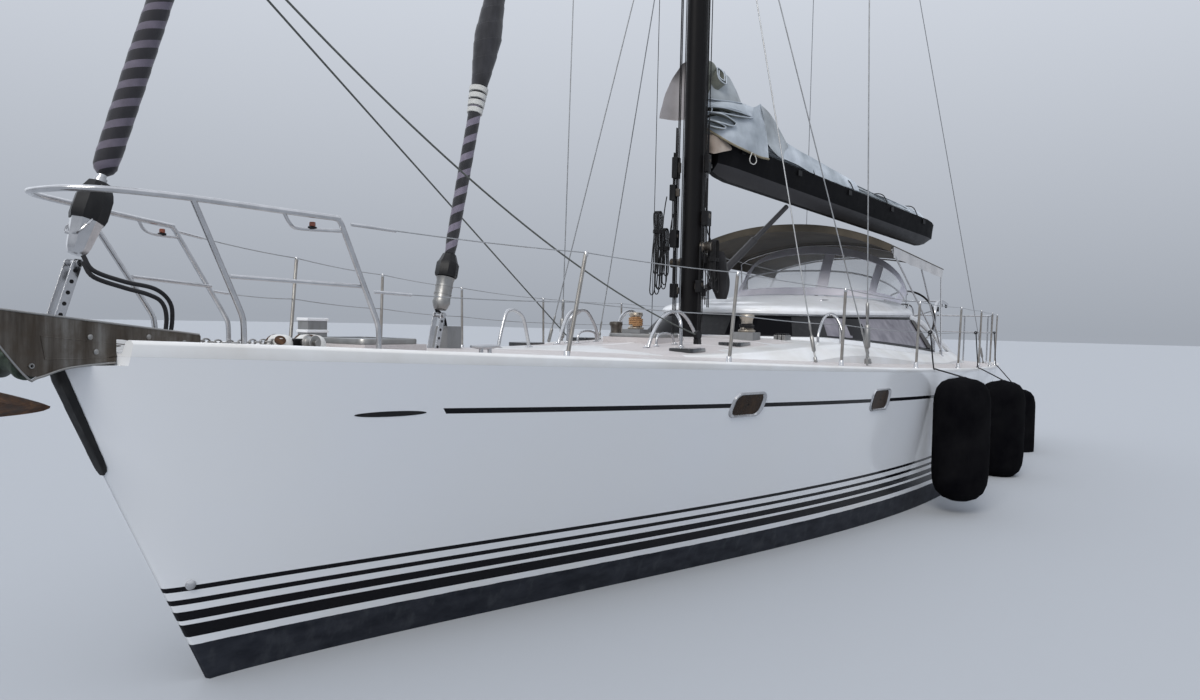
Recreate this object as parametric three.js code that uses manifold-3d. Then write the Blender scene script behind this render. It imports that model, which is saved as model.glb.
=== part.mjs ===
// A cutter-rigged sailing yacht with a deck saloon, afloat, its sails furled and its boom swung to port.
// Millimetres. +X points to the bow, +Y to port, +Z up. The origin is on the centreline,
// at the waterline, halfway between the stem head and the transom.
import * as THREE from "three";
import { mergeVertices } from "three/addons/utils/BufferGeometryUtils.js";
import Module from "manifold-3d";

const wasm = await Module();
wasm.setup();

const GAP = 0.3;
const HALF_LENGTH = 8900;

// Hull
const STEM_WATERLINE_X = 7970;
const STEM_RAKE = 0.5;
const STEM_HALF_WIDTH = 22;
const MAX_BEAM_FROM_STEM = 10000;
const DECK_HALF_BEAM = 2500;
const TRANSOM_DECK_HALF_BEAM = 2000;
const WATERLINE_HALF_BEAM = 2420;
const TRANSOM_WATERLINE_HALF_BEAM = 1470;
const FREEBOARD = 1585;
const SHEER_SLOPE = 0.031;
const CANOE_DEPTH = 850;
const DECK_JOIN_DROP = 45;
const RAIL_WIDTH = 95;
const RAIL_HEIGHT = 35;
const DECK_CROWN = 0.05;

// Rig
const MAST_X = 1600;
const MAST_TOP_Z = 24000;
const GENOA_FOOT = new THREE.Vector3(8870, 0, 1860);
const GENOA_HEAD = new THREE.Vector3(1790, 0, 23700);
const STAYSAIL_FOOT = new THREE.Vector3(6090, 0, 1830);
const STAYSAIL_HEAD = new THREE.Vector3(1790, 0, 19400);
const GOOSENECK = new THREE.Vector3(1250, 0, 3760);
const BOOM_SWING = THREE.MathUtils.degToRad(-10.3);
const BOOM_LENGTH = 6750;
const BOOM_DROOP = 0.05;
const BOOM_HEIGHT = 430;

// Deckhouse and cockpit
const WELL = { x: [-6550, 100], halfWidth: 1400, floor: 800 };
const TUB = { x: [-6450, -3950], halfWidth: 1250, sole: 850 };
const SEAT = { x: [-5050, -3900], inner: 480, top: 1180 };
const BULKHEAD_X = -3750;
const WHEEL = { x: -5400, y: 930, z: 2200, radius: 500 };

// Below the water
const RUDDER_X = -7600;
const SHAFT_START = new THREE.Vector3(-4300, 0, -720);
const SHAFT_END = new THREE.Vector3(-5900, 0, -930);

const finish = (color, roughness, metalness = 0) =>
  new THREE.MeshStandardMaterial({ color, roughness, metalness });
const MATERIAL = {
  hullWhite: finish(0xe6e9ee, 0.25),
  deckWhite: finish(0xe9e9e8, 0.45),
  antifouling: finish(0x2b2d36, 0.8),
  mastBlack: finish(0x16171a, 0.35),
  boomGrey: finish(0x38383c, 0.6),
  sailGrey: finish(0xb9c2c6, 0.85),
  sailDark: finish(0x26242c, 0.85),
  canvas: finish(0x5b564d, 0.9),
  hoodGrey: finish(0xb4b2b8, 0.85),
  steel: finish(0xc9ccd0, 0.22, 1),
  agedSteel: finish(0x6d675c, 0.45, 1),
  rustyIron: finish(0x6b3d22, 0.85, 0.4),
  bronze: finish(0x8a6b3f, 0.4, 1),
  tintedGlass: finish(0x15181c, 0.08),
  rubber: finish(0x1b211d, 0.8),
  fenderCloth: finish(0x0c0c0e, 0.95),
  grey: finish(0x8b8d90, 0.6),
};

// Solids

const TUBE_SIDES = 5;

// A closed geometry as a solid that can be joined and cut.
function solid(geometry) {
  const bare = geometry.index ? geometry.toNonIndexed() : geometry.clone();
  for (const name of Object.keys(bare.attributes)) {
    if (name !== "position") bare.deleteAttribute(name);
  }
  const merged = mergeVertices(bare, 1e-2);
  const corners = [];
  const index = merged.index.array;
  for (let i = 0; i < index.length; i += 3) {
    const [a, b, c] = [index[i], index[i + 1], index[i + 2]];
    if (a !== b && b !== c && c !== a) corners.push(a, b, c);
  }
  const build = (triangles) =>
    new wasm.Manifold(
      new wasm.Mesh({
        numProp: 3,
        vertProperties: merged.attributes.position.array,
        triVerts: new Uint32Array(triangles),
      }),
    );
  const made = build(corners);
  return made.volume() > 0 ? made : build(corners.reverse());
}

// A solid as geometry again.
function geometryOf(made) {
  const mesh = made.getMesh();
  const position = new Float32Array(mesh.numVert * 3);
  for (let i = 0; i < mesh.numVert; i++) {
    position.set(mesh.vertProperties.subarray(i * mesh.numProp, i * mesh.numProp + 3), i * 3);
  }
  const geometry = new THREE.BufferGeometry();
  geometry.setAttribute("position", new THREE.BufferAttribute(position, 3));
  geometry.setIndex(new THREE.BufferAttribute(mesh.triVerts, 1));
  geometry.computeVertexNormals();
  return geometry;
}

const join = (...solids) => solids.reduce((a, b) => a.add(b));

// A closed solid through rings of [x, y, z] points, its two ends closed by fans.
function loft(rings) {
  const triangles = [];
  const count = rings[0].length;
  for (let i = 0; i < rings.length - 1; i++) {
    for (let j = 0; j < count; j++) {
      const k = (j + 1) % count;
      const [a, b, c, d] = [rings[i][j], rings[i][k], rings[i + 1][k], rings[i + 1][j]];
      triangles.push(...a, ...b, ...c, ...a, ...c, ...d);
    }
  }
  for (const end of [0, rings.length - 1]) {
    const ring = rings[end];
    const middle = [0, 1, 2].map((axis) => ring.reduce((sum, p) => sum + p[axis], 0) / count);
    for (let j = 0; j < count; j++) {
      const k = (j + 1) % count;
      if (end === 0) triangles.push(...middle, ...ring[k], ...ring[j]);
      else triangles.push(...middle, ...ring[j], ...ring[k]);
    }
  }
  const geometry = new THREE.BufferGeometry();
  geometry.setAttribute("position", new THREE.Float32BufferAttribute(triangles, 3));
  return solid(geometry);
}

function box(x0, x1, y0, y1, z0, z1) {
  const geometry = new THREE.BoxGeometry(x1 - x0, y1 - y0, z1 - z0);
  return solid(geometry.translate((x0 + x1) / 2, (y0 + y1) / 2, (z0 + z1) / 2));
}

// A round bar between two points, which may taper.
function bar(from, to, radius, sides = TUBE_SIDES, endRadius = radius) {
  const a = new THREE.Vector3(...from);
  const b = new THREE.Vector3(...to);
  const along = b.clone().sub(a);
  const geometry = new THREE.CylinderGeometry(endRadius, radius, along.length(), sides);
  geometry.translate(0, along.length() / 2, 0);
  const turn = new THREE.Quaternion().setFromUnitVectors(new THREE.Vector3(0, 1, 0), along.normalize());
  geometry.applyQuaternion(turn);
  return solid(geometry.translate(a.x, a.y, a.z));
}

// A tube bent at each of its points.
function tube(points, radius, sides = TUBE_SIDES) {
  const path = points.map((p) => new THREE.Vector3(...p));
  const direction = (from, to) => to.clone().sub(from).normalize();
  const across = new THREE.Vector3(0.31, 0.17, 0.94);
  return loft(
    path.map((point, i) => {
      const along = new THREE.Vector3();
      if (i > 0) along.add(direction(path[i - 1], point));
      if (i < path.length - 1) along.add(direction(point, path[i + 1]));
      along.normalize();
      across.addScaledVector(along, -across.dot(along)).normalize();
      const side = new THREE.Vector3().crossVectors(along, across);
      return Array.from({ length: sides }, (_, k) => {
        const angle = (2 * Math.PI * k) / sides;
        return point
          .clone()
          .addScaledVector(across, radius * Math.cos(angle))
          .addScaledVector(side, radius * Math.sin(angle))
          .toArray();
      });
    }),
  );
}

// A turned solid on a vertical axis at x, y, from [radius, z] pairs.
function turned(x, y, profile, sides = 12) {
  const points = profile.map(([radius, z]) => new THREE.Vector2(radius, z));
  const geometry = new THREE.LatheGeometry(points, sides);
  geometry.rotateX(Math.PI / 2);
  return solid(geometry.translate(x, y, 0));
}

// A plate with an outline in the x, z plane, between two values of y.
function plateXZ(outline, y0, y1) {
  const shape = new THREE.Shape(outline.map(([x, z]) => new THREE.Vector2(x, z)));
  const geometry = new THREE.ExtrudeGeometry(shape, { depth: y1 - y0, bevelEnabled: false });
  geometry.rotateX(Math.PI / 2);
  return solid(geometry.translate(0, y1, 0));
}

// A thin shell from a grid of points, thickened downwards.
function shell(grid, thickness) {
  const top = grid.flat();
  const columns = grid[0].length;
  const rows = grid.length;
  const low = top.map(([x, y, z]) => [x, y * (1 - thickness / 1500), z - thickness]);
  const triangles = [];
  const quad = (a, b, c, d) => triangles.push(...a, ...b, ...c, ...a, ...c, ...d);
  for (let i = 0; i < rows - 1; i++) {
    for (let j = 0; j < columns - 1; j++) {
      const near = i * columns + j;
      const far = near + columns;
      const [a, b, c, d] = [near, near + 1, far + 1, far];
      quad(top[a], top[b], top[c], top[d]);
      quad(low[d], low[c], low[b], low[a]);
    }
  }
  const rim = [];
  for (let j = 0; j < columns - 1; j++) rim.push(j);
  for (let i = 0; i < rows - 1; i++) rim.push(i * columns + columns - 1);
  for (let j = columns - 1; j > 0; j--) rim.push((rows - 1) * columns + j);
  for (let i = rows - 1; i > 0; i--) rim.push(i * columns);
  rim.forEach((a, i) => {
    const b = rim[(i + 1) % rim.length];
    quad(top[b], top[a], low[a], low[b]);
  });
  const geometry = new THREE.BufferGeometry();
  geometry.setAttribute("position", new THREE.Float32BufferAttribute(triangles, 3));
  return solid(geometry);
}

const mirrored = (made) => made.mirror([0, 1, 0]);
const bothSides = (made) => made.add(mirrored(made));
const lerp = THREE.MathUtils.lerp;
const clamp = THREE.MathUtils.clamp;

// Hull form

const deckEdgeZ = (x) => FREEBOARD + SHEER_SLOPE * x + (x < 0 ? 1.2e-6 * x * x : 0);

const stemX = (z) => STEM_WATERLINE_X + STEM_RAKE * z - (z < 0 ? 0.0028 * z * z : 0);

const sternX = (z) => -HALF_LENGTH + 0.28 * Math.max(0, z - 250);

// Half-breadth at deck level, by the distance aft of the stem.
function deckPlan(distance) {
  if (distance > MAX_BEAM_FROM_STEM) {
    const t = (distance - MAX_BEAM_FROM_STEM) / (2 * HALF_LENGTH - MAX_BEAM_FROM_STEM);
    return DECK_HALF_BEAM - (DECK_HALF_BEAM - TRANSOM_DECK_HALF_BEAM) * t ** 2.2;
  }
  const nose = 100 * (1 - Math.exp(-distance / 80));
  return nose + (DECK_HALF_BEAM - 100) * (1 - (1 - distance / MAX_BEAM_FROM_STEM) ** 2.35);
}

// Half-breadth at the waterline, by the distance aft of the stem.
function waterPlan(distance) {
  const length = MAX_BEAM_FROM_STEM - 500;
  if (distance > length) {
    const t = (distance - length) / (2 * HALF_LENGTH - 900 - length);
    return WATERLINE_HALF_BEAM - (WATERLINE_HALF_BEAM - TRANSOM_WATERLINE_HALF_BEAM) * t ** 2.2;
  }
  return WATERLINE_HALF_BEAM * Math.sin((Math.PI / 2) * (distance / length)) ** 1.2;
}

function halfBeam(x, z) {
  const distance = Math.max(0, stemX(z) - x);
  const height = clamp(z / deckEdgeZ(x), 0, 1);
  return STEM_HALF_WIDTH + lerp(waterPlan(distance), deckPlan(distance), height);
}

const deckHalfBeam = (x) => halfBeam(x, deckEdgeZ(x));

// Depth of the hull's bottom, by the fraction of the length from the stern.
function bottomZ(u) {
  if (u < 0.55) return -CANOE_DEPTH + (CANOE_DEPTH - 20) * ((0.55 - u) / 0.55) ** 1.7;
  return -CANOE_DEPTH + 400 * ((u - 0.55) / 0.45) ** 2.2;
}

const STATIONS = 26;
const stationFractions = Array.from({ length: STATIONS + 1 }, (_, i) => 1 - (1 - i / STATIONS) ** 1.5);

// One ring round the hull: port deck edge, down to the keel, up to the starboard deck edge.
function hullRing(u) {
  const edge = deckEdgeZ(lerp(-HALF_LENGTH, HALF_LENGTH, u));
  const bottom = bottomZ(u);
  const place = (z, y) => [lerp(sternX(z), stemX(z), u), y];
  const half = [1, 0.66, 0.33].map((part) => {
    const z = part === 1 ? edge - DECK_JOIN_DROP : edge * part;
    const [x] = place(z);
    return [x, halfBeam(x, z), z];
  });
  for (const part of [0, 0.2, 0.45, 0.72, 0.92]) {
    const z = bottom * part;
    const [x] = place(z);
    half.push([x, halfBeam(x, z) * (1 - part ** 2) ** 0.588 + 1, z]);
  }
  const [keelX] = place(bottom);
  const starboard = half.map(([x, y, z]) => [x, -y, z]).reverse();
  return [...half, [keelX, 0, bottom], ...starboard];
}

const bareHull = loft(stationFractions.map(hullRing));

// The deck with its raised rail. It rests on the hull's top; drop lowers its underside, lift raises its top.
function deckBody(lift, drop) {
  return loft(
    stationFractions.map((u) => {
      const [jointX, jointY, jointZ] = hullRing(u)[0];
      const edge = deckEdgeZ(lerp(-HALF_LENGTH, HALF_LENGTH, u));
      const x = lerp(sternX(edge), stemX(edge), u);
      const b = halfBeam(x, edge);
      const k = Math.min(1, b / 220);
      const inner = b - RAIL_WIDTH * k;
      const side = edge - RAIL_HEIGHT * k + lift;
      const half = [
        [jointX, jointY, jointZ + GAP - drop],
        [x, b, edge - 22 * k + lift],
        [x, b - 14 * k, edge - 5 * k + lift],
        [x, b - 36 * k, edge + lift],
        [x, b - 75 * k, edge - 4 * k + lift],
        [x, inner, side],
        [x, inner / 2, side + 0.75 * DECK_CROWN * b],
      ];
      const starboard = half.map(([px, y, z]) => [px, -y, z]).reverse();
      return [...half, [x, 0, side + DECK_CROWN * b], ...starboard];
    }),
  );
}

const underDeck = deckBody(GAP, 900);

// Coachroof

// Columns: x, half width at the foot, half width at the top, height of the top's edge and of its middle.
const COACHROOF_SECTIONS = [
  [5600, 260, 160, 1772, 1802],
  [4600, 900, 780, 1762, 1804],
  [3400, 1330, 1180, 1764, 1812],
  [2000, 1560, 1380, 1806, 1872],
  [1000, 1680, 1480, 1842, 1900],
  [0, 1760, 1560, 1812, 1880],
  [-2000, 1830, 1650, 1712, 1770],
  [-4000, 1835, 1680, 1640, 1680],
  [-5600, 1800, 1650, 1650, 1660],
  [-6900, 1700, 1540, 1570, 1590],
];

function coachroofBody() {
  return loft(
    COACHROOF_SECTIONS.map(([x, foot, top, edge, middle]) => {
      const half = [
        [foot + 20, 1300],
        [foot, edge - 130],
        [top + 25, edge - 25],
        [top - 40, edge],
        [top / 2, lerp(edge, middle, 0.75)],
      ];
      const starboard = half.map(([y, z]) => [x, -y, z]).reverse();
      return [...half.map(([y, z]) => [x, y, z]), [x, 0, middle], ...starboard];
    }),
  );
}

// One well is cut through hull and deck for the saloon and the cockpit, whose tub is lowered into it.
const wells = box(WELL.x[0], WELL.x[1], -WELL.halfWidth, WELL.halfWidth, WELL.floor, 2600);
const inTub = box(TUB.x[0], TUB.x[1], -TUB.halfWidth, TUB.halfWidth, TUB.sole, 2600);
const insideCoachroof = box(TUB.x[0], WELL.x[1], -TUB.halfWidth, TUB.halfWidth, TUB.sole, 2600);
const companionway = box(TUB.x[1] - 20, BULKHEAD_X + 20, -330, 330, 1050, 2150);

function cockpitTub() {
  const wide = WELL.halfWidth - GAP;
  const whole = box(WELL.x[0] + GAP, BULKHEAD_X, -wide, wide, WELL.floor + GAP, 2100);
  const seat = box(SEAT.x[0], SEAT.x[1], SEAT.inner, TUB.halfWidth + 10, TUB.sole - 10, SEAT.top);
  const bulkhead = box(TUB.x[1], BULKHEAD_X, -TUB.halfWidth + GAP, TUB.halfWidth - GAP, 1300, 2100);
  return whole
    .intersect(deckBody(0, 900))
    .subtract(inTub)
    .add(bothSides(seat))
    .add(bulkhead.intersect(coachroofBody()))
    .subtract(companionway);
}

// The nose is cut back for the stem fitting.
const noseCut = box(8615, 9300, -300, 300, 1765, 2100);

const rudderBore = bar([RUDDER_X, 0, -600], [RUDDER_X, 0, 150], 62, 12);
const shaftLine = (x) =>
  lerp(SHAFT_START.z, SHAFT_END.z, (x - SHAFT_START.x) / (SHAFT_END.x - SHAFT_START.x));
const sternTube = bar([-3300, 0, shaftLine(-3300)], [-4280, 0, shaftLine(-4280)], 48, 10);
const shaftBore = bar([-4150, 0, shaftLine(-4150)], [-4400, 0, shaftLine(-4400)], 30, 10);

const cutHull = bareHull.subtract(wells).subtract(noseCut).subtract(rudderBore);
const hullSolid = cutHull.add(sternTube).subtract(shaftBore);

const hatchPad = ({ x, size, top, depth }) => {
  const half = size / 2 + 30;
  return box(x - half, x + half, -half, half, top - depth, top);
};
const FORE_HATCH = { x: 6800, size: 520, top: 1850, depth: 75 };
const MIDDLE_HATCH = { x: 2750, size: 560, top: 1880, depth: 120 };

const deckSolid = deckBody(0, 0).add(hatchPad(FORE_HATCH)).subtract(wells).subtract(noseCut);

const coachroofAndPad = coachroofBody().add(hatchPad(MIDDLE_HATCH));
const coachroofWhole = coachroofAndPad.subtract(underDeck);
const coachroofSolid = coachroofWhole.subtract(insideCoachroof);
// What stands on the superstructure is cut off flush with this.
const underCoachroof = join(
  coachroofAndPad.translate([0, 0, GAP]),
  underDeck,
);
const standing = (made) => made.subtract(underCoachroof);

// Deckhouse

const sillZ = (x) => 1885 - 0.0545 * Math.max(0, 400 - x);
const headZ = (x) => 2165 + 0.016 * Math.max(0, 400 - x);

// Columns: x and half width at the window sill, x and half width at the window head.
const DECKHOUSE_OUTLINE = [
  [1120, 0, 780, 0],
  [1080, 400, 740, 350],
  [900, 800, 580, 700],
  [560, 1120, 270, 960],
  [100, 1310, -150, 1120],
  [-700, 1450, -900, 1235],
  [-2000, 1560, -2100, 1320],
  [-3300, 1600, -3100, 1345],
  [-4750, 1580, -3820, 1330],
];
const CORNER_ROW = 3;

// A point on the wall: row of the outline, height from sill (0) to head (1), distance outwards.
function wallPoint(row, height, out) {
  const at = (i) => {
    const [sx, sy, hx, hy] = DECKHOUSE_OUTLINE[clamp(i, 0, DECKHOUSE_OUTLINE.length - 1)];
    return [lerp(sx, hx, height), lerp(sy, hy, height)];
  };
  const [x, y] = at(row);
  const before = row === 0 ? [at(1)[0], -at(1)[1]] : at(row - 1);
  const after = at(row + 1);
  const along = new THREE.Vector2(after[0] - before[0], after[1] - before[1]).normalize();
  const normal = new THREE.Vector2(along.y, -along.x);
  const last = row === DECKHOUSE_OUTLINE.length - 1;
  const px = last ? x - Math.max(0, out) : x + normal.x * out;
  const py = row === 0 ? 0 : y + normal.y * out;
  return [px, py, lerp(sillZ(x), headZ(x), height)];
}

function wallRing(height, out, lift = 0, rise = () => 0) {
  const port = DECKHOUSE_OUTLINE.map((_, row) => {
    const [x, y, z] = wallPoint(row, height, out);
    return [x, y, z + lift + rise(x)];
  });
  const starboard = port.slice(1).map(([x, y, z]) => [x, -y, z]).reverse();
  return [...port, ...starboard];
}

const wallSolid = (low, high, out) => loft([wallRing(low, out), wallRing(high, out)]);

// A pillar that splits the glass at one row of the outline.
function pillar(row, halfWidth) {
  const ring = (height) => {
    const [x, y, z] = wallPoint(row, height, 0);
    const [nx, ny] = wallPoint(row, height, 1);
    const out = new THREE.Vector2(nx - x, ny - y);
    const side = new THREE.Vector2(-out.y, out.x).multiplyScalar(halfWidth);
    return [[1, 1], [-1, 1], [-1, -1], [1, -1]].map(([a, b]) => [
      x + out.x * 120 * a + side.x * b,
      y + out.y * 120 * a + side.y * b,
      z,
    ]);
  };
  return loft([ring(-0.2), ring(1.2)]);
}

const WALL = 45;
const pillars = (halfWidth) => join(pillar(0, halfWidth), bothSides(pillar(CORNER_ROW, halfWidth)));
const glassBand = (trim, outside, inside) =>
  wallSolid(0.1 + trim, 0.94 - trim, outside).subtract(wallSolid(0, 1, inside));
const aftOfGlass = box(-5200, -4560, -1800, 1800, 1400, 2600);

function deckhouseArm(grow = 0) {
  // Columns: x, y, z and half depth of the curved arm from the roof's end to the coaming.
  const stations = [
    [-3650, 1325, 2215, 45],
    [-4300, 1395, 2130, 45],
    [-4950, 1470, 1950, 42],
    [-5600, 1530, 1770, 40],
    [-6350, 1545, 1600, 40],
  ];
  return loft(
    stations.map(([x, y, z, h]) => {
      const half = 38 + grow;
      const [low, high] = [z - h - grow, z + h + grow];
      return [[x, y + half, low], [x, y + half, high], [x, y - half, high], [x, y - half, low]];
    }),
  );
}

const HATCH_SLOT = { x: [-3860, -3180], halfWidth: 330 };
function deckhouseRoof() {
  const crown = (x) => 120 * clamp((900 - x) / 2600, 0, 1);
  const rings = [
    wallRing(1, 25, GAP),
    wallRing(1, 36, 34),
    wallRing(1, -14, 84),
    wallRing(1, -330, 112, crown),
  ];
  const { x: [slotAft, slotFore], halfWidth } = HATCH_SLOT;
  const slot = box(slotAft - 200, slotFore, -halfWidth, halfWidth, 2100, 2700);
  const rails = bothSides(box(HATCH_SLOT.x[0], -2450, 350, 385, 2320, 2500));
  return loft(rings).subtract(slot).add(rails);
}
const roofSolid = deckhouseRoof();

const cavity = wallSolid(-1, 1.3, -WALL).intersect(box(BULKHEAD_X, 1300, -1800, 1800, 1300, 2600));
const deckhouseSolid = wallSolid(-1, 1, 0)
  .subtract(cavity)
  .subtract(inTub)
  .subtract(companionway)
  .subtract(glassBand(0, 30, -60).subtract(pillars(32)).subtract(aftOfGlass))
  .add(bothSides(deckhouseArm()))
  .subtract(roofSolid.translate([0, 0, -GAP]))
  .subtract(roofSolid)
  .subtract(roofSolid.translate([0, 0, GAP]))
  .subtract(underCoachroof);

const panes = glassBand(0.004, -6, -18).subtract(pillars(33)).subtract(
  join(
    box(-5200, -4558, -1800, 1800, 1400, 2600),
    box(-5200, -3700, -1300, 1300, 1400, 2600),
    bothSides(deckhouseArm(2)),
  ),
);
// The pane whose box holds the given sides: port or starboard, front or side.
function pane(port, front) {
  return panes.decompose().find((piece) => {
    const { min, max } = piece.boundingBox();
    return (min[1] + max[1]) / 2 > 0 === port && min[0] > -1000 === front;
  });
}

// Sliding hatch over the companionway, between its rails.
const hatchPlate = box(HATCH_SLOT.x[0] + 5, HATCH_SLOT.x[1] + 30, -342, 342, 2478, 2508);

// Rig

function mastSection(x, z, fore, side) {
  return Array.from({ length: 12 }, (_, i) => {
    const angle = (Math.PI / 6) * i;
    return [x + fore * Math.cos(angle), side * Math.sin(angle), z];
  });
}

const WIRE = 9;

const stayPoint = (foot, head, z) => {
  const t = (z - foot.z) / (head.z - foot.z);
  return [lerp(foot.x, head.x, t), 0, z];
};

// Columns: height, spreader half span, aft sweep.
const SPREADERS = [
  [8600, 1760, 240],
  [13600, 1430, 220],
  [18700, 1080, 180],
];

function mastBody() {
  const tubeSolid = loft([
    mastSection(MAST_X, 1500, 160, 112),
    mastSection(MAST_X, 19500, 160, 112),
    mastSection(MAST_X, MAST_TOP_Z, 120, 88),
  ]);
  const spreader = ([z, span, sweep]) => {
    const ring = (y, chord, thick) => {
      const x = MAST_X - (sweep * y) / span;
      return [[x + chord, y, z], [x, y, z + thick], [x - chord, y, z], [x, y, z - thick]];
    };
    return loft([ring(-span, 45, 14), ring(0, 80, 26), ring(span, 45, 14)]);
  };
  const crane = box(MAST_X - 260, MAST_X + 230, -35, 35, MAST_TOP_Z - 120, MAST_TOP_Z + 20);
  const stayEnd = (foot, head, z) => bar([MAST_X + 100, 0, head.z + 60], stayPoint(foot, head, z), WIRE);
  const gooseneck = join(
    box(GOOSENECK.x - 30, MAST_X - 120, -60, 60, GOOSENECK.z + 90, GOOSENECK.z + 130),
    box(GOOSENECK.x - 30, MAST_X - 120, -60, 60, GOOSENECK.z + 300, GOOSENECK.z + 340),
    bar([GOOSENECK.x, 0, GOOSENECK.z + 100], [GOOSENECK.x, 0, GOOSENECK.z + 330], 20, 10),
  );
  const vangTang = join(
    box(GOOSENECK.x - 24, MAST_X - 120, -24, 24, 2322, 2342),
    box(GOOSENECK.x - 24, MAST_X - 120, -24, 24, 2462, 2482),
    bar([GOOSENECK.x, 0, 2332], [GOOSENECK.x, 0, 2472], 14, 10),
  );
  const genoaStay = stayEnd(GENOA_FOOT, GENOA_HEAD, 23125);
  const staysailStay = stayEnd(STAYSAIL_FOOT, STAYSAIL_HEAD, 18925);
  return join(tubeSolid, ...SPREADERS.map(spreader), crane, gooseneck, vangTang, genoaStay, staysailStay);
}

function shrouds() {
  const tip = ([z, span, sweep]) => [MAST_X - sweep, span + 16, z];
  const [tip1, tip2, tip3] = SPREADERS.map(tip);
  const chainplates = [[2100, 1620], [1270, 1930], [600, 1800]];
  const foot = ([x, y]) => [x, y, deckEdgeZ(x) + 20];
  const [fore, cap, aft] = chainplates.map(foot);
  const wire = (a, b) => bar(a, b, WIRE, 4);
  const knob = (p) => box(p[0] - 30, p[0] + 30, p[1] - 14, p[1] + 24, p[2] - 22, p[2] + 22);
  const mastSide = (z, x = MAST_X) => [x, 128, z];
  const plate = (a, b) => bar([a[0], a[1], a[2] - 10], [b[0], b[1], b[2] - 10], 24, 4);
  const turnbuckle = (a, b, length) => {
    const along = new THREE.Vector3(...b).sub(new THREE.Vector3(...a)).setLength(length);
    return bar(a, [a[0] + along.x, a[1] + along.y, a[2] + along.z], 22, 5);
  };
  const head1 = mastSide(8450);
  return join(
    wire(cap, tip1), wire(tip1, tip2), wire(tip2, tip3), wire(tip3, [MAST_X - 60, 100, MAST_TOP_Z - 160]),
    wire(fore, head1), wire(aft, head1),
    wire(tip1, mastSide(13450)), wire(tip2, mastSide(18550)),
    knob(tip1), knob(tip2), knob(tip3),
    plate(fore, cap), plate(cap, aft),
    turnbuckle(fore, head1, 420), turnbuckle(cap, tip1, 620), turnbuckle(aft, head1, 420),
  );
}

function backstay() {
  const head = [MAST_X - 250, 0, MAST_TOP_Z - 150];
  const foot = [-8400, 1830, deckEdgeZ(-8400) - 40];
  const splitZ = 14500;
  const along = (head[2] - splitZ) / (head[2] - foot[2]);
  const split = [lerp(head[0], foot[0], along), 0, splitZ];
  const leg = bar(foot, [split[0] - 10, 24, splitZ - 30], WIRE, 4);
  const plate = box(split[0] - 60, split[0] + 60, -40, 40, splitZ - 60, splitZ + 60);
  const upper = bar([split[0] + 10, 0, splitZ + 30], head, WIRE, 4);
  return join(upper, plate, bothSides(leg)).subtract(underDeck);
}

// A sail rolled round its stay. Columns of turns: height, radius.
function rolledSail(foot, head, turns) {
  const along = head.clone().sub(foot).normalize();
  const side = new THREE.Vector3(0, 1, 0);
  const front = new THREE.Vector3().crossVectors(side, along);
  return loft(
    turns.map(([z, radius]) => {
      const middle = new THREE.Vector3(...stayPoint(foot, head, z));
      return Array.from({ length: 10 }, (_, i) => {
        const angle = (Math.PI / 5) * i;
        return middle
          .clone()
          .addScaledVector(side, radius * Math.cos(angle))
          .addScaledVector(front, radius * Math.sin(angle))
          .toArray();
      });
    }),
  );
}

const genoaRoll = rolledSail(GENOA_FOOT, GENOA_HEAD, [
  [2650, 45], [2780, 62], [12000, 75], [21500, 48], [23100, 26],
]);
const genoaDrum = rolledSail(GENOA_FOOT, GENOA_HEAD, [
  [2290, 60], [2340, 78], [2500, 78], [2560, 88], [2645, 60],
]);
const staysailRoll = rolledSail(STAYSAIL_FOOT, STAYSAIL_HEAD, [
  [2505, 40], [2600, 52], [3620, 55], [3800, 68], [4000, 94], [4200, 112], [4320, 104], [4500, 90], [5600, 84],
  [5900, 62], [12000, 60], [18000, 40], [18900, 22],
]);
const staysailDrum = rolledSail(STAYSAIL_FOOT, STAYSAIL_HEAD, [
  [2090, 50], [2140, 66], [2325, 70], [2340, 84], [2440, 84], [2500, 50],
]);

// Two side plates that hold a furling drum down to the deck, with a cross pin at each end.
function tackLink(foot, head, lowZ, highZ) {
  const low = stayPoint(foot, head, lowZ);
  const high = stayPoint(foot, head, highZ);
  const strap = (y) =>
    loft(
      [low, high].map(([x, , z]) => [
        [x - 26, y - 4, z], [x + 26, y - 4, z], [x + 26, y + 4, z], [x - 26, y + 4, z],
      ]),
    );
  const pin = ([x, , z]) => bar([x, -48, z], [x, 48, z], 14, 8);
  return join(strap(-34), strap(34), pin([low[0], 0, low[2] + 12]), pin([high[0], 0, high[2] - 14]));
}

// Boom, built along -X from the gooseneck and swung as a group

const boomBottom = (r) => -BOOM_DROOP * r;

function boomBody() {
  // Columns: distance from the gooseneck, bottom lift, half width at bottom, middle and top.
  const stations = [
    [60, 60, 50, 110, 140],
    [420, 0, 60, 150, 190],
    [BOOM_LENGTH - 350, 0, 60, 150, 190],
    [BOOM_LENGTH, 110, 50, 120, 150],
  ];
  return loft(
    stations.map(([r, lift, low, middle, top]) => {
      const z = boomBottom(r);
      return [
        [-r, low, z + lift], [-r, middle, z + 150], [-r, top, z + BOOM_HEIGHT - lift * 0.3],
        [-r, -top, z + BOOM_HEIGHT - lift * 0.3], [-r, -middle, z + 150], [-r, -low, z + lift],
      ];
    }),
  ).subtract(box(-120, 60, -80, 80, 60, 370));
}

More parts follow.
